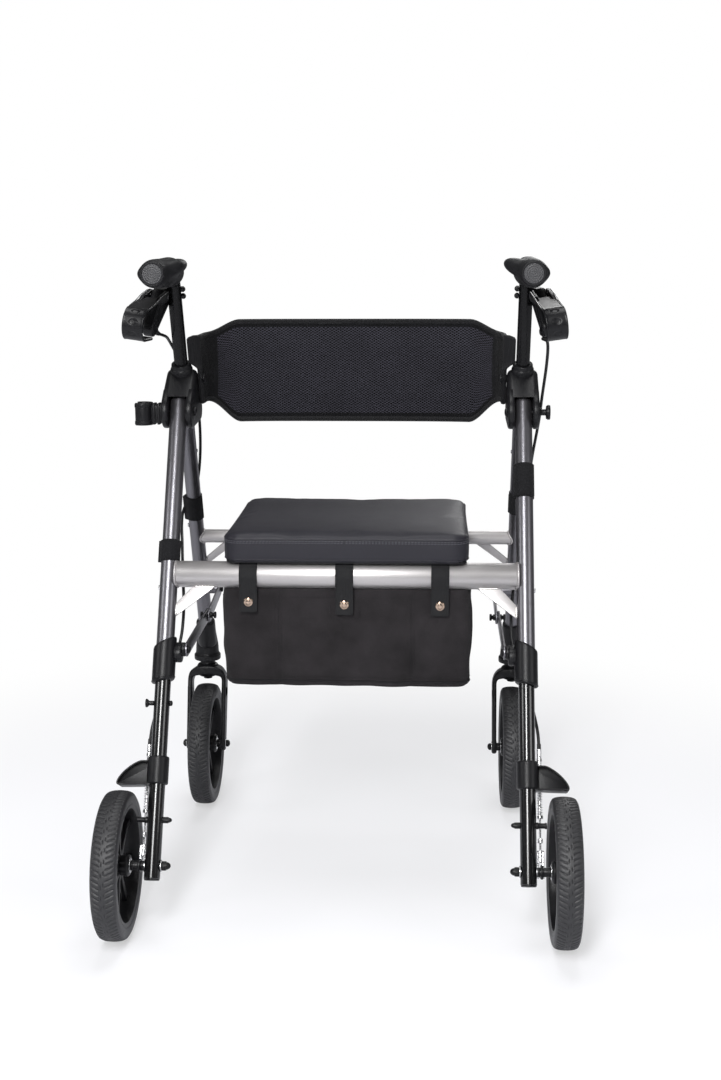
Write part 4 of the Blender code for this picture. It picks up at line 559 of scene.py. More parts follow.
class Value:
    """A value in a material's network. Sums, products and the like of it add maths nodes."""

    def __init__(self, net, socket):
        self.net = net
        self.socket = socket

    def maths(self, operation, *others):
        return self.net.node("ShaderNodeMath", {"operation": operation}, (self, *others))

    def __add__(self, other):
        return self.maths("ADD", other)

    __radd__ = __add__

    def __mul__(self, other):
        return self.maths("MULTIPLY", other)

    def __sub__(self, other):
        return self.maths("SUBTRACT", other)

    def __rsub__(self, other):
        return self.net.node("ShaderNodeMath", {"operation": "SUBTRACT"}, (other, self))

    def sine(self):
        return self.maths("SINE")

    def size(self):
        return self.maths("ABSOLUTE")

    def wave(self, pitch):
        """The sine of a length, with one wave in each pitch."""
        return (self * (TURN / pitch)).sine()

    def ramp(self, low, high):
        """0 below low, 1 above high and smooth between them."""
        return self.net.node("ShaderNodeMapRange", {"interpolation_type": "SMOOTHSTEP"},
                             {"Value": self, "From Min": low, "From Max": high})


class Net:
    """A material and its network, with one method that adds any node."""

    def __init__(self, name, colour, roughness, metallic=0.0, **steady):
        self.colour = np.array(colour, float)
        self.material = bpy.data.materials.new(name)
        self.material.use_nodes = True
        self.tree = self.material.node_tree
        self.shader = self.tree.nodes["Principled BSDF"]
        self.put("Base Color", (*colour, 1.0))
        self.put("Roughness", roughness)
        self.put("Metallic", metallic)
        for socket, value in steady.items():
            self.put(socket.replace("_", " "), value)
        self.place = self.node("ShaderNodeTexCoord", output=3)
        FINISH[name] = self.material
    def put(self, socket, value):
        self.give(self.shader.inputs[socket], value)

    def give(self, socket, value):
        if isinstance(value, Value):
            self.tree.links.new(value.socket, socket)
        else:
            socket.default_value = value

    def node(self, kind, settings=None, inputs=(), output=0):
        made = self.tree.nodes.new(kind)
        for key, value in (settings or {}).items():
            setattr(made, key, value)
        for key, value in (inputs.items() if isinstance(inputs, dict) else enumerate(inputs)):
            self.give(made.inputs[key], value)
        return Value(self, made.outputs[output])

    def lengths(self):
        """The piece's own two lengths over its surface, in metres."""
        return self.parts(self.node("ShaderNodeTexCoord", output=2))

    def parts(self, spot):
        """The first two numbers of a point."""
        return [self.node("ShaderNodeSeparateXYZ", None, (spot,), k) for k in (0, 1)]

    def noise(self, scale, detail, stretch=None):
        place = self.place
        if stretch:
            place = self.node("ShaderNodeMapping", None, {"Vector": place, "Scale": stretch})
        inputs = {"Vector": place, "Scale": scale, "Detail": detail}
        return self.node("ShaderNodeTexNoise", None, inputs)

    def cells(self, scale):
        return self.node("ShaderNodeTexVoronoi", None, {"Vector": self.place, "Scale": scale})

    def shade(self, factor, dark, light):
        """The colour times a share that runs from dark to light as factor goes from 0 to 1."""
        low = (*(self.colour * dark), 1.0)
        high = (*np.minimum(self.colour * light, 1.0), 1.0)
        return self.blend(factor, low, high)

    def blend(self, factor, low, high):
        return self.node("ShaderNodeMix", {"data_type": "RGBA"}, {0: factor, 6: low, 7: high}, 2)

    def bump(self, height, strength, distance):
        inputs = {"Strength": strength, "Distance": distance, "Height": height}
        self.put("Normal", self.node("ShaderNodeBump", None, inputs))


def painted(name, colour, roughness, metallic):
    """Metallic paint: fine flake, faint clouds, an uneven skin and a few rubbed streaks."""
    net = Net(name, colour, roughness, metallic, Coat_Weight=0.08, Coat_Roughness=0.2)
    flake = net.noise(1500.0, 1.0)
    cloud = net.noise(16.0, 3.0)
    rubbed = net.noise(9.0, 4.0, (22.0, 22.0, 1.4)).ramp(0.62, 0.78)
    net.put("Base Color", net.shade(flake * 0.72 + cloud * 0.28, 0.8, 1.22))
    net.put("Roughness", roughness - 0.05 + cloud * 0.1 + rubbed * 0.1)
    net.bump(net.noise(380.0, 2.0) * 0.7 + flake * 0.3, 0.1, 0.0004)


def steel(name, colour, roughness):
    """Plated steel: fine turned lines and small stains."""
    net = Net(name, colour, roughness, 1.0)
    lines = net.noise(240.0, 2.0, (1.0, 6.0, 6.0))
    stain = net.noise(60.0, 4.0)
    net.put("Base Color", net.shade(stain, 0.74, 1.14))
    net.put("Roughness", roughness - 0.06 + lines * 0.1 + stain.ramp(0.55, 0.8) * 0.14)
    net.bump(lines, 0.08, 0.0003)


def lacquer(name, colour, roughness, gloss, coat):
    """Gloss black tube: a smooth skin with hairline marks where the tubes slide."""
    net = Net(name, colour, roughness, Specular_IOR_Level=gloss, Coat_Weight=coat,
              Coat_Roughness=0.1)
    marks = net.noise(14.0, 5.0, (30.0, 30.0, 1.2)).ramp(0.6, 0.74)
    cloud = net.noise(30.0, 3.0)
    net.put("Base Color", net.shade(cloud * 0.6 + marks * 0.4, 0.8, 1.7))
    net.put("Roughness", roughness - 0.03 + cloud * 0.07 + marks * 0.12)
    net.bump(net.noise(300.0, 2.0), 0.05, 0.0003)


def moulded(name, colour, roughness, grain=720.0, depth=0.3):
    """Moulded plastic or rubber: an etched grain, with flow clouds and slight handling shine."""
    net = Net(name, colour, roughness, Specular_IOR_Level=0.22)
    pits = net.cells(grain)
    cloud = net.noise(26.0, 4.0)
    fine = net.noise(grain * 2.2, 2.0)
    net.put("Base Color", net.shade(cloud * 0.6 + fine * 0.4, 0.72, 1.34))
    net.put("Roughness", roughness - 0.08 + cloud * 0.14 + pits * 0.05)
    net.bump(pits * 0.6 + fine * 0.4, depth, 0.0004)


def cap_face(name, colour):
    """The light end cap: plain satin plastic with rings and short rays in low relief."""
    net = Net(name, colour, 0.46)
    u, v = net.lengths()
    rings = v.wave(0.003)
    rays = u.wave(0.0046)
    relief = rings * 0.5 + rays * rings * 0.5
    cloud = net.noise(220.0, 3.0)
    net.put("Base Color", net.shade(relief * 0.25 + cloud * 0.8, 0.55, 1.4))
    net.put("Roughness", 0.38 + cloud * 0.2)
    net.bump(relief + cloud * 0.6, 0.5, 0.0006)


def tyre_rubber(name, colour):
    """Tyre compound: dusty in the grooves and at the tread's edge, smoother on the side walls."""
    net = Net(name, colour, 0.52, Specular_IOR_Level=0.55)
    around, across = net.lengths()
    wall = across.size().ramp(0.015, 0.0185)
    dust = net.noise(48.0, 5.0)
    fine = net.noise(900.0, 2.0)
    net.put("Base Color", net.shade(dust * 0.65 + fine * 0.2 + wall * 0.15, 0.62, 1.45))
    net.put("Roughness", 0.44 + dust * 0.18 - wall * 0.08)
    net.bump(fine * 0.6 + around.wave(0.0011) * wall * 0.2, 0.35, 0.0004)


def vinyl(name, colour):
    """Upholstery vinyl: leather grain of small cells over broad soft dents."""
    net = Net(name, colour, 0.45, Specular_IOR_Level=0.27)
    grain = net.cells(820.0)
    fine = net.noise(1500.0, 2.0)
    dents = net.noise(13.0, 3.0)
    net.put("Base Color", net.shade(dents * 0.6 + grain * 0.5, 0.74, 1.26))
    net.put("Roughness", 0.4 + dents * 0.12 + grain * 0.06)
    net.bump(grain * 0.5 + fine * 0.2 + dents * 1.6, 0.28, 0.0007)


def cloth_net(name, colour, roughness, gloss):
    """The network of a cloth, with the soft sheen that all of them have."""
    return Net(name, colour, roughness, Specular_IOR_Level=gloss, Sheen_Weight=0.03,
               Sheen_Roughness=0.5)


def woven(name, colour, pitch):
    """Plain weave: threads over and under each other, sin(u) sin(v) on the piece's own lengths,
    with the uneven colour of single threads and a dusty nap."""
    rough = 0.86
    net = cloth_net(name, colour, rough, 0.16)
    u, v = net.lengths()
    over = u.wave(pitch) * v.wave(pitch)
    slub = net.noise(90.0, 3.0, (1.0, 1.0, 14.0)) * 0.5 \
        + net.noise(90.0, 3.0, (14.0, 14.0, 1.0)) * 0.5
    nap = net.noise(22.0, 4.0)
    creases = (net.noise(9.0, 3.0) - 0.5).size()
    shade = over * 0.16 + slub * 0.45 + (nap - 0.5) * 1.3 + 0.2
    net.put("Base Color", net.shade(shade, 0.45, 1.75))
    net.put("Roughness", rough - 0.06 + nap * 0.12)
    net.bump(over * 0.25 + slub * 0.3 + nap * 0.9 + creases * 6.0, 0.5, 0.003)


def air_mesh(name, colour, cell):
    """Spacer mesh: rows of dark lozenge holes between raised threads."""
    net = cloth_net(name, colour, 0.8, 0.1)
    u, v = net.lengths()
    tall = cell * 0.62
    right = u * (TURN / cell) + v * (TURN / tall)
    left = u * (TURN / cell) - v * (TURN / tall)
    thread = 1.0 - (right.sine() + left.sine()).ramp(-0.3, 0.9)
    cloud = net.noise(20.0, 3.0)
    # The holes take 3% of the mesh's colour: painted shade in the mesh's hollows.
    hole_shade = (*(net.colour * 0.03), 1.0)
    raised = net.shade(cloud, 0.95, 1.75)
    net.put("Base Color", net.blend(thread, hole_shade, raised))
    net.put("Roughness", 0.74 + cloud * 0.14)
    net.bump(thread + cloud * 0.3, 0.8, 0.001)


def ribbed(name, colour, pitch, roughness, depth=0.5):
    """Woven tape: ribs across its length, with a fuzz of loose fibres."""
    net = cloth_net(name, colour, roughness, 0.22)
    u, v = net.lengths()
    ribs = u.wave(pitch)
    cords = v.wave(pitch * 2.3)
    fuzz = net.noise(420.0, 4.0)
    net.put("Base Color", net.shade(ribs * 0.2 + fuzz * 0.7 + 0.1, 0.62, 1.5))
    net.put("Roughness", roughness - 0.06 + fuzz * 0.14)
    net.bump(ribs * 0.5 + cords * 0.2 + fuzz * 0.5, depth, 0.0005)


def make_finishes(look):
    """All the materials, some of them in colours that the settings give."""
    painted("grey_paint", look.frame_colour, 0.34, 0.88)
    painted("silver_paint", look.silver_colour, 0.43, 0.82)
    steel("steel", (0.62, 0.62, 0.63), 0.28)
    steel("weld", (0.7, 0.68, 0.66), 0.24)
    steel("spring_wire", (0.82, 0.82, 0.83), 0.3)
    steel("snap_metal", (0.42, 0.32, 0.25), 0.16)
    lacquer("black_gloss", look.tube_colour, 0.17, 0.62, 0.06)
    lacquer("stem_black", look.tube_colour, 0.26, 0.16, 0.02)
    moulded("black_plastic", look.plastic_colour, 0.36)
    moulded("hard_black", (0.005, 0.005, 0.006), 0.34, 900.0, 0.12)
    moulded("grip_rubber", (0.006, 0.006, 0.007), 0.48, 1100.0, 0.4)
    moulded("cable_sleeve", (0.012, 0.012, 0.013), 0.4, 1600.0, 0.1)
    moulded("rim_plastic", (0.005, 0.005, 0.006), 0.38, 820.0, 0.2)
    cap_face("cap_plastic", look.cap_colour)
    tyre_rubber("tyre", look.tyre_colour)
    vinyl("vinyl", look.seat_colour)
    woven("pouch_cloth", look.fabric_colour, 0.0011)
    woven("tab_cloth", (0.004, 0.004, 0.005), 0.0009)
    air_mesh("air_mesh", look.mesh_colour, look.mesh_cell)
    ribbed("binding", (0.006, 0.006, 0.007), 0.0012, 0.66)
    ribbed("webbing", (0.007, 0.007, 0.008), 0.0016, 0.66)
    ribbed("hook_and_loop", (0.005, 0.005, 0.006), 0.0022, 0.85, 0.8)
    ribbed("thread", (0.085, 0.085, 0.1), 0.0004, 0.55)
    ribbed("dark_thread", (0.006, 0.006, 0.007), 0.0004, 0.6)


# Paths that several pieces share

def clipped(outline, height, keep):
    """The part of an outline above a height (keep 1) or below it (keep -1)."""
    out = []
    for a, b in zip(outline, np.roll(outline, -1, 0)):
        here, there = keep * (a[1] - height), keep * (b[1] - height)
        if here >= 0:
            out.append(a)
        if here * there < 0:
            out.append(a + (b - a) * here / (here - there))
    return np.array(out)


def rounded_box(half_x, half_y, corner, steps=8):
    """The outline of a rectangle with round corners, closed, starting at the middle of a side."""
    points = [(0.0, -half_y)]
    for cx, cy, start in ((1, -1, -90), (1, 1, 0), (-1, 1, 90), (-1, -1, 180)):
        centre = (cx * (half_x - corner), cy * (half_y - corner))
        points.extend(arc(centre, corner, math.radians(start), math.radians(start + 90), steps))
    points.append((0.0, -half_y))
    return np.array(points)


def stem_route():
    """The right stem: up the leg, round a bend and back along the grip."""
    corner = FRONT.level(LEG_X, GRIP_Z)
    turn = math.acos(float(np.dot(FRONT.up, -AHEAD)))
    start = corner - FRONT.up * STEM_BEND * math.tan(turn / 2)
    inward = unit(-AHEAD - FRONT.up * np.dot(FRONT.up, -AHEAD))
    centre = start + inward * STEM_BEND
    bend = [centre + (FRONT.up * math.sin(a) - inward * math.cos(a)) * STEM_BEND
            for a in np.linspace(0.0, turn, 16)]
    end = np.array((LEG_X, GRIP_REAR_Y + 0.013, GRIP_Z))
    return np.array([FRONT.level(LEG_X, 0.46)] + bend + [end])


def lever_frame():
    """The right lever's directions: across the strip, ahead and up."""
    matrix = np.array(Euler((0.0, -LEVER_ROLL, LEVER_SPLAY)).to_matrix())
    return matrix[:, 0], matrix[:, 1], matrix[:, 2]


LEVER_PLACE = np.array((LEVER_X, *LEVER_PIVOT))


# Legs and bars

def pin_at(shape, line, z, steps, edge, slot=0):
    """A stepped pin across a leg at a height."""
    spot = line.level(0, z)
    shape.pin(spot[1], spot[2], steps, edge, slot=slot)


def weld_round(shape, line, bar_z, bar_radius, leg_radius, side, shallow):
    """The weld where a bar meets a leg: it follows the line that the two tubes share, and comes no
    nearer to the leg's middle than a depth where the bar is the wider one."""
    along = line.along(bar_z)
    angle = np.linspace(0.0, TURN, 60)
    ahead = bar_radius * np.cos(angle)
    depth = np.sqrt(np.maximum((leg_radius + 0.0005)**2 - ahead**2, shallow**2))
    path = [line.at(side * (LEG_X - d), along + bar_radius * math.sin(a), n)
            for d, a, n in zip(depth, angle, ahead)]
    shape.bead(path, WELD_RADIUS)


def gusset(shape, line, bar_z, bar_radius, leg_radius, brace, side, weld_slot):
    """A flat brace from the bar down to the leg, with a weld along each end. brace is its distance
    from the middle, its width at the bar, its drop and its width at the leg."""
    inset, width, drop, edge = brace
    top = line.along(bar_z) - bar_radius + 0.0008
    leg_side = LEG_X - leg_radius
    outline = [(side * inset, top), (side * (inset + width), top),
               (side * leg_side, top - drop), (side * leg_side, top - drop - edge)]
    shape.slab(outline, BRACE_THICK, line.foot, OUT, line.up, 0.0006)
    weld_x = side * (leg_side - 0.0005)
    for ahead in (-WELD_RADIUS, WELD_RADIUS):
        for start, end, radius in (
            ((side * (inset + 0.001), top - 0.0006), (side * (inset + width - 0.001), top - 0.0006),
             0.0015),
            ((weld_x, top - drop - 0.001), (weld_x, top - drop - edge + 0.001), WELD_RADIUS),
        ):
            shape.bead([line.at(*start, ahead), line.at(*end, ahead)], radius, weld_slot)


def make_front_legs(look):
    """The front legs: a tube, the web and stud of the side link and a rivet. The left one has the
    hole of the height button."""
    shoulder = LINK_X["front"] + LINK_THICK + PLAY
    stud_end = LINK_X["front"] - PLAY
    for name, side in SIDES.items():
        leg = Shape(f"{name}_front_leg", side)
        leg.tube(FRONT.level(LEG_X, 0.268), FRONT.level(LEG_X, 0.735), FRONT_LEG_RADIUS, sides=56)
        offset = np.array((0.0, *LINK_FRONT)) - FRONT.foot
        along, ahead = offset @ FRONT.up, offset @ FRONT.ahead
        web = belt([(ahead, along, 0.0077), (0.0, along, 0.008)])
        leg.slab(web, 0.004, FRONT.foot + OUT * LEG_X, FRONT.ahead, FRONT.up, 0.0008)
        leg.pin(*LINK_FRONT, [(0.008, LEG_X + 0.004, shoulder), (0.003, shoulder, stud_end)],
                0.0008)
        leg.nut((stud_end, *LINK_FRONT), -OUT, 0.006, 0.0024, 1, 0.0014)
        inner = LEG_X - FRONT_LEG_RADIUS
        pin_at(leg, FRONT, 0.61, [(0.0028, LEG_X - 0.009, inner - 0.0012)], 0.001)
        # A black disc round the height button: painted shade in its hole.
        if side < 0:
            pin_at(leg, FRONT, BUTTON_Z, [(0.004, LEG_X + 0.0119, LEG_X + 0.01)], 0.0003, 1)
        leg.fit(("grey_paint", "hard_black"), "front_frame", "grey_paint", f"front_leg_{name}")
    button = Shape("height_button", -1)
    pin_at(button, FRONT, BUTTON_Z, [(0.003, LEG_X + 0.014, LEG_X + 0.003)], 0.0014)
    button.fit(("steel",), "snap_button", "steel", "snap_button_left")


def coped_bar(shape, line, bar_z, bar_radius, leg_radius, shallow):
    """A bar between the legs, its ends cut to the legs' round: a point that is a ahead of the leg's
    middle ends at the leg's x less sqrt(R^2 - a^2), or less a depth where the bar is the wider
    one."""
    centre = line.at(0.0, line.along(bar_z))
    angle = np.linspace(0.0, TURN, 73)
    shares = (0.0, 0.5, 0.98, 1.0)
    rows = []
    for share, way in [(s, -1) for s in shares] + [(s, 1) for s in reversed(shares)]:
        ahead = share * bar_radius * np.cos(angle)
        gap = 0.0006 * min(1.0, 50 * (1.002 - share))
        depth = np.sqrt(np.maximum(leg_radius**2 - ahead**2, shallow**2)) - gap
        rows.append(centre + OUT * (way * (LEG_X - depth))[:, None] + line.ahead * ahead[:, None]
                    + line.up * (share * bar_radius * np.sin(angle))[:, None])
    shape.grid(np.array(rows))


def crossbar(name, line, z, radius, leg_radius, shallow, brace, weld_slot):
    """A bar welded between two legs and braced down to each of them."""
    bar = Shape(name)
    coped_bar(bar, line, z, radius, leg_radius, shallow)
    for side in (-1, 1):
        weld_round(bar, line, z, radius, leg_radius, side, shallow)
        gusset(bar, line, z, radius, leg_radius, brace, side, weld_slot)
    return bar


def make_front_bar(look):
    """The narrow silver bar between the front legs."""
    bar = crossbar("front_bar", FRONT, FRONT_BAR_Z, FRONT_BAR_RADIUS, FRONT_LEG_RADIUS, 0.0035,
                   (0.189, 0.02, 0.03, 0.014), 0)
    bar.fit(("silver_paint",), "front_frame", "grey_paint", "front_crossbar")


def make_rear_legs(look):
    """The rear legs: a tube that ends under the fold pivot, and the head of a rivet."""
    for name, side in SIDES.items():
        leg = Shape(f"{name}_rear_leg", side)
        top = REAR.at(LEG_X, REAR.along(PIVOT_Z) + 0.018)
        leg.tube(REAR.level(LEG_X, 0.345), top, REAR_LEG_RADIUS, 0.002, sides=60)
        pin_at(leg, REAR, 0.443, [(0.0034, LEG_X + 0.0143, LEG_X + 0.01)], 0.0016, 1)
        leg.fit(("grey_paint", "steel"), "rear_frame", "grey_paint", f"rear_leg_{name}")


def make_rear_bar(look):
    """The broad silver bar between the rear legs, wider than the legs are."""
    bar = crossbar("rear_bar", REAR, REAR_BAR_Z, REAR_BAR_RADIUS, REAR_LEG_RADIUS, 0.0102,
                   (0.185, 0.032, 0.025, 0.019), 1)
    bar.fit(("silver_paint", "weld"), "rear_frame", "silver_paint", "rear_crossbar")


def make_lower_tubes(look):
    """The gloss tubes that slide in the rear legs, each with its foot plug and bolt, the bracket
    round the leg's end with the ear and stud of the side link, and the left tube's stud."""
    outer, inner = LEG_X + LOWER_TUBE_RADIUS, LEG_X - LOWER_TUBE_RADIUS
    shoulder = LINK_X["rear"] + LINK_THICK + PLAY
    stud_end = LINK_X["rear"] - PLAY
    for name, side in SIDES.items():
        tube = Shape(f"{name}_lower_tube", side)
        top = REAR.level(LEG_X, 0.46)
        tube.tube(REAR.at(LEG_X, -0.018), top, LOWER_TUBE_RADIUS, 0.0016, sides=56)
        tube.tube(REAR.at(LEG_X, -0.0195), REAR.at(LEG_X, -0.012), 0.0104, 0.0012, 48, 1)
        bolt_z = 0.154
        pin_at(tube, REAR, bolt_z, [(0.0043, outer + 0.014, outer + 0.0116),
                                    (0.0036, outer + 0.0116, outer + 0.003),
                                    (0.0045, outer + 0.003, outer - 0.002)], 0.0006, 1)
        tube.nut(REAR.level(inner + 0.001, bolt_z), -OUT, 0.0046, 0.0085, 1, 0.0045)
        tube.fit(("black_gloss", "hard_black"), "rear_frame", "black_gloss", f"lower_tube_{name}")

        sleeve = Shape(f"{name}_lower_bracket", side)
        foot, head = REAR.along(0.323), REAR.along(0.373)
        profile = [(0.0, 0.0), (0.0146, 0.0), (0.016, 0.0018), (0.016, head - foot - 0.003),
                   (0.0152, head - foot), (0.0, head - foot)]
        sleeve.turned(soften(profile, 0.0016), REAR.at(LEG_X, foot), REAR.up, 60,
                      slant=(-OUT, 0.22, 0.5))
        lip = [REAR.at(LEG_X, foot + 0.0035 - 0.004 * math.cos(a))
               + (OUT * math.cos(a) + REAR.ahead * math.sin(a)) * 0.0159
               for a in np.linspace(0, TURN, 60)]
        sleeve.carried(lip, ring(0.0007, 8), REAR.up)
        y, z = LINK_REAR
        ear = belt([(y, z, 0.01), (REAR.level(0, z)[1], z - 0.004, 0.0125)])
        sleeve.slab(ear, 0.0115, (0.2335, 0.0, 0.0), AHEAD, UP, 0.0024)
        sleeve.pin(y, z, [(0.01, LEG_X - 0.006, shoulder), (0.003, shoulder, stud_end)], 0.0014)
        sleeve.nut((stud_end, y, z), -OUT, 0.006, 0.0026, 1, 0.0014)
        sleeve.fit(("black_plastic", "hard_black"), "rear_frame", "black_plastic",
                   f"lower_bracket_{name}")
    stud = Shape("left_stud", -1)
    stud_z = 0.296
    pin_at(stud, REAR, stud_z, [(0.006, outer + 0.0115, outer + 0.009),
                                (0.0048, outer + 0.009, outer + 0.0075),
                                (0.0033, outer + 0.0075, outer), (0.0022, outer, inner)], 0.001)
    stud.nut(REAR.level(inner, stud_z), -OUT, 0.0042, 0.003, 0, 0.0012)
    stud.fit(("hard_black",), "rear_frame", "black_plastic", "stud_left")


def make_links(look):
    """Flat bars with round ends. The front one carries the inner half of the middle bolt and the
    rear one its outer half."""
    for name, side in SIDES.items():
        for kind, start, end, (outer, inner) in (
            ("rear", LINK_REAR, LINK_MIDDLE, (0.2333, 0.2223)),
            ("front", LINK_MIDDLE, LINK_FRONT, (0.22, 0.209)),
        ):
            link = Shape(f"{name}_{kind}_link", side)
            outline = belt([(*start, 0.01), (*end, 0.01)])
            link.slab(outline, LINK_THICK, (LINK_X[kind] + LINK_THICK / 2, 0.0, 0.0), AHEAD, UP,
                      0.0007)
            mid = (outer + inner) / 2
            if kind == "rear":
                steps = [(0.0052, outer, outer - 0.0035), (0.003, outer - 0.0035, mid),
                         (0.0048, mid, inner)]
            else:
                steps = [(0.0048, outer, mid), (0.003, mid, inner + 0.0035),
                         (0.0052, inner + 0.0035, inner)]
            link.pin(*LINK_MIDDLE, steps, 0.0012, slot=1)
            piece = f"{kind}_link_{name}"
            link.fit(("grey_paint", "hard_black"), piece, "grey_paint", piece)


# Top brackets, pivots and clip

def make_top_brackets(look):
    """The fold brackets, their bolts and the clip. A bracket's outline is a belt round the pivot
    and the leg; below the slot's top it is two cheeks with the rear leg's eye between them."""
    foot = FRONT.level(0, 0.66)
    shoulder = FRONT.level(0, 0.722)
    outline = belt([(PIVOT_Y, PIVOT_Z, YOKE_EYE), (foot[1], foot[2] + YOKE_SLEEVE, YOKE_SLEEVE),
                    (shoulder[1], shoulder[2], YOKE_SLEEVE)], 96)
    slot_top = PIVOT_Z + 0.023
    cheek = clipped(outline, slot_top + 0.01, -1)
    head = clipped(outline, slot_top, 1)
    thick = YOKE_HALF - YOKE_SLOT_HALF
    middle = (YOKE_HALF + YOKE_SLOT_HALF) / 2
    low, high = FRONT.along(0.66), FRONT.along(0.748)
    sleeve = [(0.0, low), (YOKE_SLEEVE - 0.001, low), (YOKE_SLEEVE, low + 0.002),
              (YOKE_SLEEVE, high - 0.008), (YOKE_SLEEVE - 0.0015, high - 0.006),
              (YOKE_SLEEVE - 0.002, high), (0.0108, high), (0.0, high - 0.001)]
    stud = FRONT.level(0, BACK_STUD_Z, 0.007)
    for name, side in SIDES.items():
        yoke = Shape(f"{name}_top_bracket", side)
        for way in (-1, 1):
            yoke.slab(cheek, thick, (LEG_X + way * middle, 0, 0), AHEAD, UP, 0.0032, steps=5)
            boss = sorted((LEG_X + way * 0.0232, LEG_X + way * 0.02), reverse=True)
            yoke.pin(PIVOT_Y, PIVOT_Z, [(0.0125, *boss)], 0.001, 40)
        yoke.slab(head, 2 * YOKE_HALF, (LEG_X, 0, 0), AHEAD, UP, 0.0085, steps=7)
        yoke.turned(soften(sleeve, 0.0014), FRONT.at(LEG_X, 0), FRONT.up, 56)
        yoke.pin(stud[1], stud[2], [(0.006, LEG_X - 0.018, LEG_X - 0.0235),
                                    (0.004, LEG_X - 0.0235, 0.2227), (0.0065, 0.2227, 0.2197)],
                 0.0012, slot=1)
        yoke.fit(("black_plastic", "hard_black"), "front_frame", "black_plastic",
                 f"top_bracket_{name}")

        bolt = Shape(f"{name}_fold_bolt", side)
        outer, inner = LEG_X + FOLD_BOLT_HALF, LEG_X - FOLD_BOLT_HALF
        bolt.pin(PIVOT_Y, PIVOT_Z, [(0.004, outer + 0.004, inner)], 0.0004)
        bolt.nut((inner - 0.0002, PIVOT_Y, PIVOT_Z), -OUT, 0.007, 0.003, 0, 0.0014)
        if side > 0:
            knob = ((0.0108, 0.016, 0.0118), (0.0098, 0.0118, 0.01), (0.0046, 0.01, 0.0026),
                    (0.0068, 0.0026, 0.0))
            bolt.pin(PIVOT_Y, PIVOT_Z, [(r, outer + far, outer + near) for r, far, near in knob],
                     0.0014, 48, slot=1)
        bolt.fit(("hard_black", "hard_black"), "front_frame",
                 "black_plastic" if side > 0 else "steel", f"pivot_bolt_{name}")
    make_clip()


def make_clip():
    """The clip on the left bracket: an open ring on a foot, with a lip at both ends, a rounded tip
    at each side of its mouth and two ribs."""
    clip = Shape("cane_clip_finished", -1)
    face = LEG_X + FOLD_BOLT_HALF
    centre = (face + 0.0295, PIVOT_Y)
    z = PIVOT_Z - 0.003
    mouth = math.radians(50)

    def layer(outline, thickness, edge, rise=0.0):
        clip.slab(outline, thickness, (0, 0, z + rise), OUT, AHEAD, edge)

    def open_ring(outer, inner, gap):
        return np.vstack((arc(centre, outer, gap, TURN - gap, 40),
                          arc(centre, inner, TURN - gap, gap, 40)))

    def block(near, far, half, corner, steps):
        outline = [(face + near, PIVOT_Y - half), (face + far, PIVOT_Y - half),
                   (face + far, PIVOT_Y + half), (face + near, PIVOT_Y + half)]
        return soften(outline, corner, steps, True)

    layer(open_ring(0.0145, 0.0115, mouth), 0.033, 0.0006)
    for rise in (-0.0125, 0.0125):
        layer(open_ring(0.0155, 0.0118, mouth * 0.92), 0.006, 0.001, rise)
    for way in (-1, 1):
        tip = (centre[0] + 0.013 * math.cos(mouth), PIVOT_Y + way * 0.013 * math.sin(mouth))
        layer(arc(tip, 0.002, 0, TURN, 16)[:-1], 0.033, 0.0006)
    layer(block(0.0, 0.018, 0.008, 0.003, 4), 0.0264, 0.0016)
    for x in (0.0035, 0.0105):
        layer(block(x, x + 0.0042, 0.0098, 0.001, 3), 0.031, 0.001)
    clip.fit(("black_plastic",), "front_frame", "black_plastic", "cane_clip")


# Casters

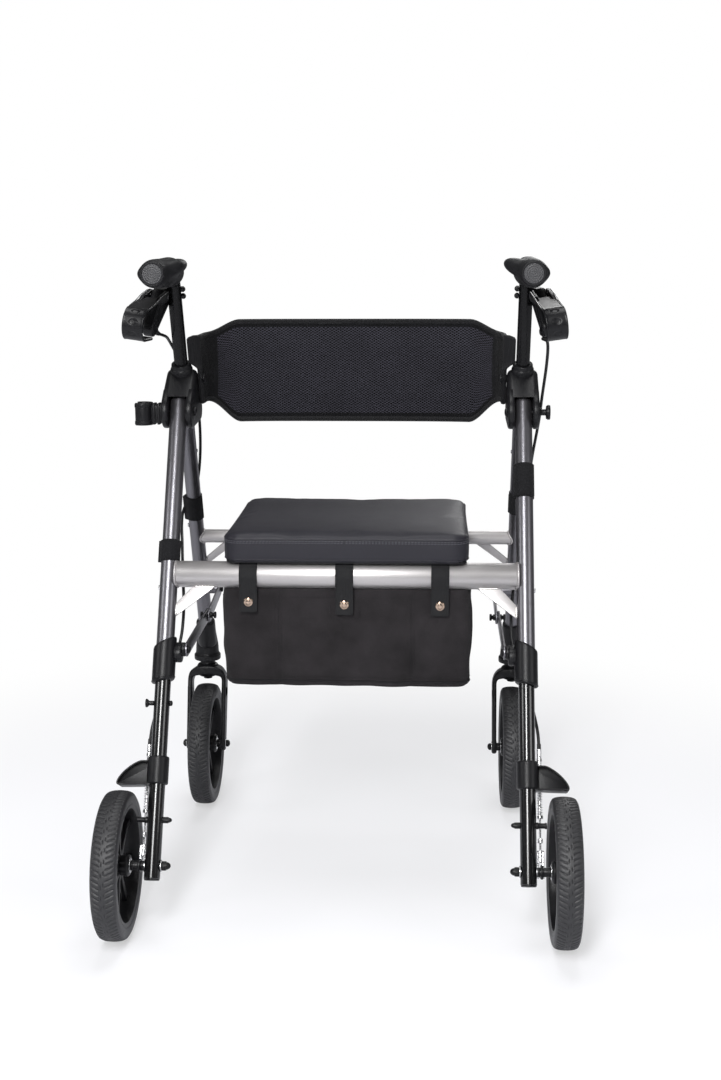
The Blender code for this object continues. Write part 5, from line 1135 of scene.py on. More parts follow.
def make_casters(look):
    """The front wheels' housings, forks and axles. A fork is a box section carried over an arch
    and swollen at the crown by exp(-(s / 0.42)^4), with an arm down each side to the axle."""
    arch = soften([(-0.0285, 0.176), (-0.0285, 0.219), (0.0285, 0.219), (0.0285, 0.176)],
                  0.024, 14)
    arch = evenly(arch, 0.0016)
    head = (CASTER_X, CASTER_Y, 0.0)
    y, z = HALF_WHEELBASE, WHEEL_RADIUS
    for name, side in SIDES.items():
        housing = Shape(f"{name}_caster_housing", side)
        profile = [(0.0, 0.3), (0.0125, 0.3), (0.015, 0.284), (0.0186, 0.262),
                   (0.0192, 0.249), (0.0216, 0.2462), (0.022, 0.2455), (0.022, 0.2384),
                   (0.0205, 0.2375), (0.0, 0.2375)]
        housing.turned(soften(profile, 0.004, 5), head, UP, 64)
        low, high = FRONT.along(0.266), FRONT.along(0.311)
        profile = [(0.0, low), (0.014, low), (0.0155, low + 0.004), (0.0155, high - 0.003),
                   (0.0142, high), (0.0118, high), (0.0, high - 0.001)]
        housing.turned(soften(profile, 0.0018), FRONT.at(LEG_X, 0), FRONT.up, 56)
        housing.fit(("black_plastic",), "front_frame", "black_plastic",
                    f"caster_housing_{name}", sharp=50)

        fork = Shape(f"{name}_fork", side)
        path = np.array([(CASTER_X + x, 0.2769 + (CASTER_Y - 0.2769) * smoothstep(0.176, 0.215, h),
                          h) for x, h in arch])
        crown = np.exp(-(np.linspace(-1.0, 1.0, len(path)) / 0.42) ** 4)
        section = np.array([box_section(0.007 + 0.0085 * c, 0.03 + 0.006 * c, 0.003)
                            for c in crown])
        lean = np.array((0.0, 0.033, 0.106)) / np.linalg.norm((0.033, 0.106))
        fork.carried(path, section, np.cross(OUT, lean))
        arm = belt([(CASTER_Y - 0.0065, 0.186, 0.0152), (y, z, 0.0115)])
        for way in (-1, 1):
            fork.slab(arm, 0.007, (CASTER_X + way * 0.0285, 0, 0), AHEAD, UP, 0.0022, steps=4)
            boss = [(0.0, 0.0), (0.0098, 0.0), (0.0098, 0.0082), (0.0, 0.0082)]
            fork.turned(soften(boss, 0.001), (CASTER_X + way * 0.0243, y, z), OUT * way, 40)
        swivel = [(0.0, 0.2075), (0.015, 0.209), (0.019, 0.218), (0.0172, 0.2285),
                  (0.012, 0.231), (0.012, 0.2372), (0.0, 0.2372)]
        fork.turned(soften(swivel, 0.003), head, UP, 56)
        fork.nut((CASTER_X, CASTER_Y, 0.2095), -UP, 0.008, 0.005, 1, 0.0012)
        fork.fit(("black_plastic", "hard_black"), f"caster_{name}", "black_plastic",
                 f"caster_fork_{name}", sharp=50)

        axle = Shape(f"{name}_front_axle", side)
        axle.pin(y, z, [(0.004, CASTER_X + 0.034, CASTER_X - 0.034)], 0.0004)
        for way in (-1, 1):
            spacer = sorted((CASTER_X + way * HUB_STOP, CASTER_X + way * 0.0247), reverse=True)
            axle.pin(y, z, [(0.0065, *spacer)], 0.0006, slot=1)
            washer = sorted((CASTER_X + way * 0.0321, CASTER_X + way * 0.0331), reverse=True)
            axle.pin(y, z, [(0.0078, *washer)], 0.0003)
            axle.nut((CASTER_X + way * 0.0331, y, z), OUT * way, 0.0062, 0.0042, 1, 0.0022)
        axle.fit(("steel", "hard_black"), f"caster_{name}", "steel", f"front_axle_{name}")


# Wheels

def tread_depth(look, angle, across):
    """Slanted grooves on both sides of the tread and short marks along its middle: each is a
    smooth pulse of the angle and of the distance from the middle."""
    turn = angle * look.tread_grooves / TURN
    side = np.abs(across)
    slant = (turn + side * 62.0 + 0.5 * (across > 0)) % 1.0
    groove = smoothstep(0.0, 0.1, slant) * (1 - smoothstep(0.26, 0.38, slant))
    groove = groove * smoothstep(0.0036, 0.005, side) * (1 - smoothstep(0.0138, 0.0152, side))
    mark = (turn * 0.5 + 0.25 * (across > 0)) % 1.0
    mark = smoothstep(0.0, 0.08, mark) * (1 - smoothstep(0.42, 0.5, mark))
    mark = mark * np.exp(-((side - 0.002) / 0.0005) ** 4)
    line = np.exp(-((side - 0.0162) / 0.0005) ** 2)
    return look.groove_depth * (groove + 0.6 * mark + 0.4 * line)


def make_tyre(look, name, x, y):
    """A smooth half profile and its mirror image, turned about the axle. Above a radius of 94 mm
    the tread's depth is taken off."""
    half = [(0.0802, 0.014), (0.0806, 0.0152), (0.0835, 0.017), (0.088, 0.0175),
            (0.093, 0.0172), (0.0968, 0.0152), (0.0988, 0.011), (0.0997, 0.0055), (0.1, 0.0)]
    line = smooth_route(half + [(r, -w) for r, w in reversed(half[:-1])], 0.0009)
    angle = np.linspace(0.0, TURN, look.tread_grooves * 8 + 1)[None, :]
    radius, across = line[:, :1], line[:, 1:]
    tread = tread_depth(look, angle, across) * (radius > 0.094)
    radius = np.minimum(radius, WHEEL_RADIUS) - tread
    points = np.stack((x + across + 0 * radius, y + radius * np.cos(angle),
                       WHEEL_RADIUS + radius * np.sin(angle)), -1)
    uv = np.stack(np.broadcast_arrays(angle * WHEEL_RADIUS, across), -1)
    tyre = Shape(name)
    tyre.grid(points, 0, uv)
    tyre.grid(points[[0, -1]], 0, uv[[0, -1]])
    return tyre.make(("tyre",), 60)


def make_rim(name, x, y):
    """A turned rim and hub with a bearing on each side. The spokes are box sections that flare by
    a bell curve at both ends."""
    rim = Shape(name)
    place = np.array((x, y, WHEEL_RADIUS))
    outer = WHEEL_RADIUS - TYRE_DEPTH + 0.0004
    inner = outer - RIM_WALL
    half = [(outer, RIM_HALF), (outer + 0.0016, RIM_HALF + 0.0006),
            (outer + 0.001, RIM_HALF + 0.0014), (inner + 0.001, RIM_HALF + 0.0004),
            (inner, RIM_HALF - 0.003)]
    profile = [(r, -w) for r, w in half] + [(inner - 0.001, 0.0)] + half[::-1]
    rim.turned(profile + [(outer, -RIM_HALF)], place, OUT, 120)
    half = [(0.0, HUB_HALF), (0.0128, HUB_HALF), (0.0155, HUB_HALF - 0.003), (0.0135, 0.006)]
    hub = [(r, -w) for r, w in half] + half[::-1]
    rim.turned(soften(hub, 0.0014), place, OUT, 56)
    bearing = [(0.0, 0.0), (0.0102, 0.0), (0.0102, 0.0007), (0.007, 0.0007), (0.0062, 0.0003),
               (0.0, 0.0003)]
    for way in (-1, 1):
        rim.turned(soften(bearing, 0.0003, 2), place + OUT * way * HUB_HALF, OUT * way, 40, 1)
    root = 0.0125
    for k in range(SPOKES):
        angle = TURN * (k + 0.5) / SPOKES + 0.13
        reach = np.linspace(root, inner + 0.002, 14)
        path = place + reach[:, None] * (AHEAD * math.cos(angle) + UP * math.sin(angle))
        flare = 1 + 0.45 * np.exp(-((reach - inner) / 0.006) ** 2) \
            + 0.35 * np.exp(-((reach - root) / 0.007) ** 2)
        section = np.array([box_section(0.0078 * f, 0.0068 * f, 0.0018, 3) for f in flare])
        rim.carried(path, section, OUT, 0)
    return rim.make(("rim_plastic", "steel"), 45)


def make_wheels(look):
    """The four wheels, each a tyre and a rim."""
    for name, side in SIDES.items():
        for where, x, y in (("rear", REAR_WHEEL_X, -HALF_WHEELBASE),
                            ("front", CASTER_X, HALF_WHEELBASE)):
            body = f"{where}_wheel_{name}"
            tyre = make_tyre(look, f"{name}_{where}_tyre", side * x, y)
            seat_piece(tyre, body, "tyre", f"{where}_tyre_{name}")
            rim = make_rim(f"{name}_{where}_rim", side * x, y)
            seat_piece(rim, body, "black_plastic", f"{where}_rim_{name}")


# Rear axles and brakes

def make_rear_axles(look):
    """The rear wheels' bolts, from the nut outside the hub to the nut inside the leg."""
    y, z = -HALF_WHEELBASE, WHEEL_RADIUS
    outer, inner = REAR_WHEEL_X + HUB_STOP, REAR_WHEEL_X - HUB_STOP
    tube_in = LEG_X - LOWER_TUBE_RADIUS - 0.0003
    tube_out = LEG_X + LOWER_TUBE_RADIUS + 0.0003
    for name, side in SIDES.items():
        axle = Shape(f"{name}_rear_axle", side)
        axle.pin(y, z, [(0.004, outer + 0.002, tube_in)], 0.0004)
        axle.pin(y, z, [(0.0085, outer + 0.0008, outer)], 0.0003)
        axle.nut((outer + 0.0008, y, z), OUT, 0.008, 0.0048, 1, 0.0016)
        axle.pin(y, z, [(0.0068, inner, inner - 0.0035),
                        (0.0062, inner - 0.0035, BRAKE_X + 0.0018)], 0.0005, slot=1)
        axle.pin(y, z, [(0.0065, BRAKE_X - 0.0018, tube_out)], 0.0005, slot=1)
        axle.pin(y, z, [(0.0078, tube_in, tube_in - 0.0012)], 0.0003)
        axle.nut((tube_in - 0.0012, y, z), -OUT, 0.0068, 0.0062, 1, 0.006)
        axle.fit(("steel", "hard_black"), "rear_frame", "steel", f"rear_axle_{name}")


def make_brakes(look):
    """The brakes' housings, arms, rods and springs. A housing's wing is a flat outline whose crest
    is cos(a)^1.45 across and sin(a)^1.45 up; the spring is a helix round the rod."""
    low, high = HOUSING_FOOT, HOUSING_TOP
    tip = low + 0.003
    up = REAR.up
    rod = REAR.at(BRAKE_X, 0.0, ROD_AHEAD)
    seat = 0.0725
    for name, side in SIDES.items():
        housing = Shape(f"{name}_brake_housing", side)
        profile = [(0.0, low), (0.0138, low), (0.01475, low + 0.0014), (0.01475, high - 0.0016),
                   (0.0138, high), (0.0112, high), (0.0, high - 0.0008)]
        housing.turned(soften(profile, 0.001), REAR.at(LEG_X, 0), up, 60)
        angle = np.linspace(math.pi / 2, 0.0, 16)
        crest = np.stack((0.276 + 0.033 * np.cos(angle) ** 1.45,
                          tip + (WING_TOP - tip) * np.sin(angle) ** 1.45), -1)
        outline = np.vstack(((LEG_X, low), (LEG_X, WING_TOP), crest, (0.309, low)))
        outline = soften(outline, 0.0012, 3, True)
        housing.slab(outline, 0.02, REAR.at(0, 0, 0.016), OUT, up, 0.0012)
        rim = evenly(np.vstack((outline, outline[:1])), 0.0012)
        rim = rim + unit(np.array((0.272, 0.122)) - rim) * 0.0012
        path = REAR.at(0, 0, 0.014) + rim[:, :1] * OUT + rim[:, 1:] * up
        housing.carried(path, box_section(0.0024, 0.032, 0.001, 3), REAR.ahead, caps=False)
        column = REAR.at(BRAKE_X, 0.0, ROD_AHEAD - 0.008)
        housing.tube(column + up * (low + 0.0006), column + up * (WING_TOP - 0.0006), 0.0078,
                     0.0008)
        housing.tube(rod + up * (WING_TOP + 0.003), rod + up * (WING_TOP + 0.014), 0.003,
                     0.0004, slot=1)
        housing.nut(rod + up * (WING_TOP - 0.0006), up, 0.0046, 0.0036, 1)
        housing.nut(rod + up * (WING_TOP + 0.0085), up, 0.004, 0.004, 1)
        housing.fit(("black_plastic", "steel"), "rear_frame", "black_plastic",
                    f"brake_housing_{name}")

        arm = Shape(f"{name}_brake_arm", side)
        outline = belt([(0.0, 0.0, 0.0095), (ROD_AHEAD, 0.0, 0.0055)])
        arm.slab(outline, 0.003, REAR.at(BRAKE_X, 0.0), REAR.ahead, up, 0.0006)
        arm.fit(("hard_black",), f"brake_arm_{name}", "black_plastic", f"brake_arm_{name}")

        pull = Shape(f"{name}_brake_rod", side)
        reach = 0.0015
        profile = [(0.0, 0.022), (reach, 0.022), (reach, seat), (0.0042, seat),
                   (0.0042, seat + 0.004), (reach, seat + 0.004), (reach, high), (0.0, high)]
        pull.turned(soften(profile, 0.0004, 2), rod, up, 24)
        pull.nut(rod + up * 0.04, up, 0.0036, 0.006)
        fork = soften([(-0.005, -0.007), (0.005, -0.007), (0.005, 0.03), (-0.005, 0.03)],
                      0.0025, 4, True)
        for way in (-1, 1):
            pull.slab(fork, 0.0028, rod + OUT * way * 0.0034, REAR.ahead, up, 0.0006)
        pull.tube(rod + up * 0.014, rod + up * 0.03, 0.0046, 0.001)
        pull.pin(rod[1], rod[2], [(0.003, BRAKE_X + 0.006, BRAKE_X + 0.0044),
                                  (0.002, BRAKE_X + 0.0044, BRAKE_X - 0.0056)], 0.0006)
        pull.fit(("steel",), f"brake_rod_{name}", "steel", f"brake_rod_{name}")

        spring = Shape(f"{name}_brake_spring", side)
        start, end, turns, wind = seat + 0.005, low + 0.008, 11, 0.0032
        share = np.linspace(0.0, 1.0, turns * 16 + 1)
        path = np.array([REAR.at(BRAKE_X + wind * math.cos(a), s, ROD_AHEAD + wind * math.sin(a))
                         for a, s in zip(TURN * turns * share, start + (end - start) * share)])
        spring.carried(path, ring(0.00062, 8), up)
        spring.fit(("spring_wire",), f"brake_rod_{name}", "steel", f"brake_spring_{name}")


# Handles

def grip_radius(angle, y):
    """The grip's radius at an angle and a place along it: a core that swells from the end, a wing
    inward and up as a bell curve of both, and a low flange outward."""
    along = (y - GRIP_REAR_Y) / (GRIP_FRONT_Y - GRIP_REAR_Y)
    core = 0.0195 + 0.002 * np.maximum(0.0, 2 * along - 1)
    swell = np.maximum(0.0, 1 - (2 * along - 1) ** 8) ** 0.5
    radius = 0.015 + (core - 0.015) * swell
    centre = math.radians(159)
    off = np.arctan2(np.sin(angle - centre), np.cos(angle - centre))
    wing = np.exp(-((off / math.radians(24)) ** 2) - ((y + 0.076) / 0.034) ** 4)
    turn = np.arctan2(np.sin(angle), np.cos(angle))
    flange = np.exp(-((turn / math.radians(24)) ** 2)) * swell
    return radius + 0.02 * wing + 0.0035 * flange


def make_handles(look):
    """The stems, grips and lever blocks. A grip is its radius formula over rings of the stations
    along it, with ripples under it for the fingers."""
    route = evenly(stem_route(), 0.003)
    length = GRIP_FRONT_Y - GRIP_REAR_Y
    stations = [(0.0, 0.0), (0.0, 0.6), (0.0, 0.86), (0.0008, 0.95), (0.0022, 1.0)]
    stations += [(0.0022 + (length - 0.0044) * (1 - math.cos(math.pi * s)) / 2, 1.0)
                 for s in np.linspace(0.0, 1.0, 90)[1:-1]]
    stations += [(length - 0.0022, 1.0), (length - 0.0008, 0.96), (length, 0.88), (length, 0.5),
                 (length, 0.0)]
    stations = np.array(stations)
    angle = np.linspace(0.0, TURN, 97)[None, :]
    y = GRIP_REAR_Y + stations[:, :1]
    radius = grip_radius(angle, y) * stations[:, 1:]
    under = np.exp(-((np.arctan2(np.sin(angle + 1.75), np.cos(angle + 1.75))) / 0.9) ** 4)
    ripple = np.sin((y + 0.1) * TURN / 0.0052) * smoothstep(-0.112, -0.104, y) \
        * (1 - smoothstep(-0.012, -0.002, y))
    radius = radius + 0.0005 * ripple * under * (stations[:, 1:] > 0.99)
    skin = np.stack((LEG_X + radius * np.cos(angle), y + 0 * radius,
                     GRIP_Z + radius * np.sin(angle)), -1)
    _, ahead, up = lever_frame()
    for name, side in SIDES.items():
        body = f"handle_{name}"
        stem = Shape(f"{name}_stem", side)
        stem.carried(route, ring(STEM_RADIUS, 48), OUT)
        stem.fit(("stem_black",), body, "black_gloss", f"stem_{name}")

        grip = Shape(f"{name}_grip", side)
        grip.grid(skin)
        rear = np.array((LEG_X, GRIP_REAR_Y, GRIP_Z))
        cap = [(0.0, -0.0022), (0.0122, -0.002), (0.0138, -0.0012), (0.014, 0.001), (0.0, 0.001)]
        lip = [(0.0138, 0.002), (0.0138, -0.0018), (0.0156, -0.0018), (0.0168, 0.002)]
        grip.turned(soften(cap, 0.0006), rear, AHEAD, 56, 1)
        grip.turned(soften(lip, 0.0006), rear, AHEAD, 56)
        grip.fit(("grip_rubber", "cap_plastic"), body, "black_rubber", f"grip_{name}", sharp=50)

        block = Shape(f"{name}_lever_body", side)
        top = FRONT.level(0, 0.848)
        outline = belt([(0.0, 0.0, 0.0095), (-0.024, -0.044, 0.013),
                        (top[1] - LEVER_PIVOT[0], top[2] - LEVER_PIVOT[1], 0.0125)])
        block.slab(outline, 0.016, LEVER_PLACE, ahead, up, 0.0035, steps=5)
        web = belt([(0.002, -0.008, 0.005), (0.018, -0.008, 0.005), (-0.018, -0.04, 0.006)])
        block.slab(web, 0.0176, LEVER_PLACE, ahead, up, 0.001)
        for height in (0.848, 0.858):
            pin_at(block, FRONT, height, [(0.002, LEVER_X + 0.002, 0.24)], 0.0003, 1)
            block.nut(FRONT.level(LEG_X - STEM_RADIUS - 0.0003, height), -OUT, 0.0045, 0.004, 1,
                      0.0022)
        block.fit(("black_plastic", "hard_black"), body, "black_plastic", f"lever_body_{name}")
        make_lever(look, name, side)


def make_lever(look, name, side):
    """The lever: a broad strip back from the pivot, down round a bend and forward again, dished
    along both edges, with a row of oval hollows round the outside of the bend."""
    across, ahead, up = lever_frame()
    bend = arc((-0.092, -0.0355), LEVER_BEND, math.pi / 2, 3 * math.pi / 2, 30)
    line = evenly(np.vstack(((-0.03, -0.004), bend, (-0.057, -0.056))), 0.0008)
    tangent = unit(np.gradient(line, axis=0))
    normal = np.stack((tangent[:, 1], -tangent[:, 0]), -1)
    away = np.sum(normal * (line - np.array((-0.08, -0.0355))), -1, keepdims=True)
    normal = normal * np.where(away > 0, 1.0, -1.0)
    width = np.linspace(-0.015, 0.015, 41)
    length = run_length(line)
    bend_start = 0.0635
    hollow = np.zeros((len(line), len(width)))
    for k in range(look.lever_dimples):
        spot = bend_start + math.pi * LEVER_BEND * (k + 0.75) / look.lever_dimples * 0.98
        oval = ((length[:, None] - spot) / 0.0036) ** 2 + (width[None, :] / 0.0055) ** 2
        hollow += np.exp(-oval ** 3)
    half = 0.002
    edge = 0.0006 * np.exp(-((np.abs(width) - 0.014) / 0.0012) ** 2)[None, :]
    over = np.maximum(0.0, np.abs(width) - 0.013)[None, :]
    rounding = half - np.sqrt(np.maximum(0.0, half**2 - over ** 2))
    outer = half + edge - 0.0014 * hollow - rounding
    inner = -half + rounding + 0 * hollow

    def sheet(depth):
        flat = line[:, None, :] + normal[:, None, :] * depth[..., None]
        return LEVER_PLACE + width[None, :, None] * across + flat[..., :1] * ahead \
            + flat[..., 1:] * up

    lever = Shape(f"{name}_brake_lever", side)
    both = np.concatenate((sheet(outer), sheet(inner)[:, ::-1]), axis=1)
    both = np.concatenate((both, both[:, :1]), axis=1)
    lever.grid(both)
    lever.cap(both[0])
    lever.cap(both[-1])
    cheek = belt([(0.0, 0.0, 0.008), (-0.034, -0.0046, 0.0052), (-0.046, -0.0074, 0.0026)])
    trim = [(-0.004, 0.007), (-0.034, 0.0012), (-0.06, -0.0068), (-0.088, -0.0128)]
    trim = evenly(np.array(trim), 0.002)
    for way in (-1, 1):
        lever.slab(cheek, 0.0058, LEVER_PLACE + across * way * 0.0117, ahead, up, 0.0012)
        path = LEVER_PLACE + across * way * 0.0148 + trim[:, :1] * ahead + trim[:, 1:] * up
        lever.carried(path, ring(0.0006, 8), across, 1)
    pivot = [(0.0, -0.015), (0.0032, -0.015), (0.0025, -0.0143), (0.0025, 0.0143),
             (0.0032, 0.015), (0.0, 0.015)]
    lever.turned(soften(pivot, 0.0004), LEVER_PLACE, across, 28, 1)
    lever.fit(("hard_black", "steel"), f"brake_lever_{name}", "black_plastic",
              f"brake_lever_{name}", sharp=40)


# Cables

LEFT_CABLE = [
    (-0.274, 0.012, 0.7975), (-0.27, 0.036, 0.7925), (-0.269, 0.062, 0.788),
    (-0.269, 0.086, 0.78), (-0.265, 0.108, 0.764), (-0.256, 0.127, 0.74),
    (-0.244, 0.138, 0.712), (-0.239, 0.148, 0.68), (-0.239, 0.164, 0.63),
    (-0.244, 0.181, 0.58), (-0.253, 0.19, 0.54), (-0.265, 0.186, 0.522),
    (-0.269, 0.165, 0.51), (-0.264, 0.12, 0.498), (-0.252, 0.05, 0.485),
    (-0.242, -0.01, 0.47), (-0.238, -0.034, 0.45),
]
RIGHT_CABLE = [
    (0.274, 0.012, 0.7975), (0.283, 0.02, 0.783), (0.284, 0.04, 0.752),
    (0.281, 0.078, 0.7), (0.279, 0.108, 0.66), (0.272, 0.14, 0.6),
    (0.268, 0.162, 0.55), (0.269, 0.17, 0.52), (0.268, 0.15, 0.496),
    (0.264, 0.11, 0.482), (0.255, 0.05, 0.47), (0.244, -0.01, 0.46),
    (0.239, -0.032, 0.445),
]
LOWER_CABLE = [
    (0.235, -0.05, 0.418), (0.2335, -0.068, 0.395), (0.235, -0.082, 0.372),
    (0.242, -0.092, 0.345), (0.252, -0.101, 0.315), (0.263, -0.12, 0.283),
    (0.269, -0.142, 0.256),
]


def make_cables(look):
    """Each sleeve is drawn in two lengths that meet at the front leg's tie. It starts in the foot
    of the lever's block, in a boot that follows its bend."""
    across, ahead, up = lever_frame()
    start = LEVER_PLACE - 0.0022 * across - 0.0066 * ahead - 0.044 * up
    for name, side in SIDES.items():
        upper = [(side * start[0], start[1], start[2])] + (LEFT_CABLE if side < 0 else RIGHT_CABLE)
        split = 13 if side < 0 else 8
        socket = REAR.at(side * BRAKE_X, WING_TOP + 0.013, ROD_AHEAD)
        lower = [(side * x, y, z) for x, y, z in LOWER_CABLE]
        route = upper + lower + [tuple(socket + REAR.up * 0.0044), tuple(socket)]
        path = smooth_route(route, 0.003)
        cut = int(np.argmin(np.linalg.norm(path - np.array(upper[split]), axis=1)))

        top = Shape(f"{name}_upper_cable")
        for part, radius, sides in ((path[:cut + 2], CABLE_RADIUS, 16), (path[:6], 0.0036, 24),
                                    (path[4:8], 0.0029, 24)):
            top.carried(part, ring(radius, sides), UP)
        lay_cable(top.make(("cable_sleeve",)), name)

        low = Shape(f"{name}_lower_cable")
        low.carried(path[cut - 1:], ring(CABLE_RADIUS, 16), UP)
        for foot, head, radius, slot in ((0.0015, 0.0125, 0.0033, 1), (0.012, 0.02, 0.0028, 0)):
            low.tube(socket + REAR.up * foot, socket + REAR.up * head, radius, 0.0009, 24, slot)
        lay_cable(low.make(("cable_sleeve", "steel")), name)


def lay_cable(thing, name):
    """Hangs a length of cable between two bodies."""
    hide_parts(f"brake_cable_{name}")
    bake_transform(thing)


# Seat

def get_points(thing):
    """The piece's points, one in each row."""
    points = np.empty(len(thing.data.vertices) * 3)
    thing.data.vertices.foreach_get("co", points)
    return points.reshape(-1, 3)


def set_points(thing, points):
    """Moves the piece's points to where the rows say."""
    thing.data.vertices.foreach_set("co", points.reshape(-1))


def puffed(thing, voxel, pressure, most, foot):
    """Evens out a closed piece, blows it up as cloth, keeps each point within a distance of where
    it started, leaves the underside level, and smooths it by one subdivision."""
    scene = bpy.context.scene
    even = thing.modifiers.new("even", "REMESH")
    even.mode = "VOXEL"
    even.voxel_size = voxel
    thing.data = applied(thing)
    start = get_points(thing)
    cloth = thing.modifiers.new("cloth", "CLOTH")
    cloth.settings.use_pressure = True
    cloth.settings.uniform_pressure_force = pressure
    cloth.settings.effector_weights.gravity = 0.0
    for frame in range(1, 21):
        scene.frame_set(frame)
    thing.data = applied(thing)
    scene.frame_set(1)
    end = get_points(thing)
    move = end - start
    length = np.linalg.norm(move, axis=1, keepdims=True)
    end = start + move * np.minimum(1.0, most / np.maximum(length, 1e-9))
    end[:, 2] = np.where(start[:, 2] < foot + 0.002, start[:, 2], end[:, 2])
    set_points(thing, end)
    finer = thing.modifiers.new("finer", "SUBSURF")
    finer.levels = finer.render_levels = 1
    thing.data = applied(thing)
    thing.data.shade_smooth()


def applied(thing):
    """The piece's mesh with its modifiers applied; the modifiers are then taken off."""
    bpy.context.view_layer.update()
    graph = bpy.context.evaluated_depsgraph_get()
    mesh = bpy.data.meshes.new_from_object(thing.evaluated_get(graph))
    thing.modifiers.clear()
    return mesh


def seat_outline(inset=0.0, height=0.0):
    """A line round the seat pad: a rounded rectangle, drawn in by an inset."""
    half_y = (SEAT_FRONT_Y - SEAT_REAR_Y) / 2 - inset
    line = evenly(rounded_box(SEAT_HALF - inset, half_y, 0.025 - inset / 2, 12), 0.003)
    return np.stack((line[:, 0], line[:, 1] + SEAT_MIDDLE, np.full(len(line), height)), -1)


def on_surface(tree, line, proud):
    """A closed line laid on a piece: each point goes to the piece's nearest point, and then stands
    proud of it along the piece's own normal."""
    out = []
    for p in line:
        spot, normal = tree.find_nearest(p)[:2]
        out.append(np.array(spot) + np.array(normal) * proud)
    out = np.array(out)
    out[:, 2] = line[:, 2]
    out[:-1] = (np.roll(out[:-1], 1, 0) + 2 * out[:-1] + np.roll(out[:-1], -1, 0)) / 4
    out[-1] = out[0]
    return out


def make_seat(look):
    """The seat: its board, its cushion, and seams and stitches laid on the cushion's surface."""
    make_seat_board()
    foot, top = SEAT_FOOT_Z, SEAT_TOP_Z - 0.0025
    thing = make_cushion(look, foot, top)
    work = bmesh.new()
    work.from_mesh(thing.data)
    tree = BVHTree.FromBMesh(work)
    work.free()
    trim = Shape("seat_seams")
    for height, proud, radius in ((top - 0.004, 0.0, 0.001), (foot + 0.0005, -0.0002, 0.0009)):
        trim.carried(on_surface(tree, seat_outline(0.0, height), proud), ring(radius, 10), UP)
    for drop in (0.0066, 0.009):
        line = on_surface(tree, seat_outline(0.0, top - drop), 0.0002)
        trim.stitches(line, 0.0046, 0.0033, 0.00055, 1)
    trim.fit(("vinyl", "thread"), "seat", "vinyl")


def make_seat_board():
    """The board under the cushion, with two open clips that hold the front bar."""
    board = Shape("seat_base")
    depth = SEAT_FRONT_Y - SEAT_REAR_Y
    outline = rounded_box(SEAT_HALF - 0.01, depth / 2 - 0.01, 0.014)[:-1]
    board.slab(outline, 0.005, (0.0, SEAT_MIDDLE, 0.48255), OUT, AHEAD, 0.0015)
    outer, inner, lip = 0.0148, 0.0108, 0.0152
    clip = np.vstack((arc((0.0, 0.0), outer, math.pi, TURN, 24), [(outer, lip), (inner, lip)],
                      arc((0.0, 0.0), inner, TURN, math.pi, 24), [(-inner, lip), (-outer, lip)]))
    for x in (-0.1, 0.1):
        board.slab(clip, 0.03, (x, FRONT_BAR_Y, FRONT_BAR_Z), AHEAD, UP, 0.0006)
        for way in (-1, 1):
            board.pin(FRONT_BAR_Y + way * 0.0128, FRONT_BAR_Z + 0.01,
                      [(0.003, x + 0.0165, x + 0.0145)], 0.0008, slot=1)
    board.fit(("hard_black", "steel"), "seat", "black_plastic", "seat_board")


def make_cushion(look, foot, top):
    """The cushion: the pad's outline drawn in by the shares of each level from foot to top, blown
    up, and then dented and creased by wobble and by a bell curve near its edge."""
    base = seat_outline(0.003)
    skirt = foot - 0.0052
    levels = [(s, foot) for s in np.linspace(0.0, 0.925, 16)]
    levels += [(0.935, foot - 0.002), (0.942, skirt + 0.0006), (0.955, skirt), (0.985, skirt),
               (0.996, skirt + 0.0014), (1.0, skirt + 0.006), (1.0, foot + 0.018),
               (0.999, top - 0.006), (0.996, top - 0.0022), (0.989, top - 0.0004)]
    levels += [(s, top + 0.0012 * (1 - s * s)) for s in np.linspace(0.975, 0.0, 18)]
    centre = np.array((0.0, SEAT_MIDDLE))
    rows = [np.column_stack((centre + (base[:, :2] - centre) * share, np.full(len(base), height)))
            for share, height in levels]
    pad = Shape("seat_cushion")
    pad.grid(np.array(rows))
    thing = pad.make(("vinyl",), 180)
    puffed(thing, 0.0055, 4.0, look.seat_puff, foot)
    points = get_points(thing)
    x, y, z = points.T
    half_depth = (SEAT_FRONT_Y - SEAT_REAR_Y) / 2
    edge = np.maximum(np.abs(x / SEAT_HALF), np.abs((y - SEAT_MIDDLE) / half_depth))
    dent = wobble(x * 26, y * 26, 3.1) * 0.0006 * (z > top - 0.004)
    crease = np.exp(-((edge - 0.945) / 0.01) ** 2) * 0.0009 * (z > top - 0.004)
    points[:, 2] = np.minimum(z + dent - crease, SEAT_TOP_Z + 0.0035)
    set_points(thing, points)
    thing.data.materials.clear()
    thing.data.materials.append(FINISH["vinyl"])
    seat_piece(thing, "seat", "vinyl", "seat_pad")
    return thing


# Pouch

STRAPS = ((-0.138, 0.425), (-0.002, 0.422), (0.133, 0.4212))
POCKET_SEAMS = (-0.0965, 0.0936)


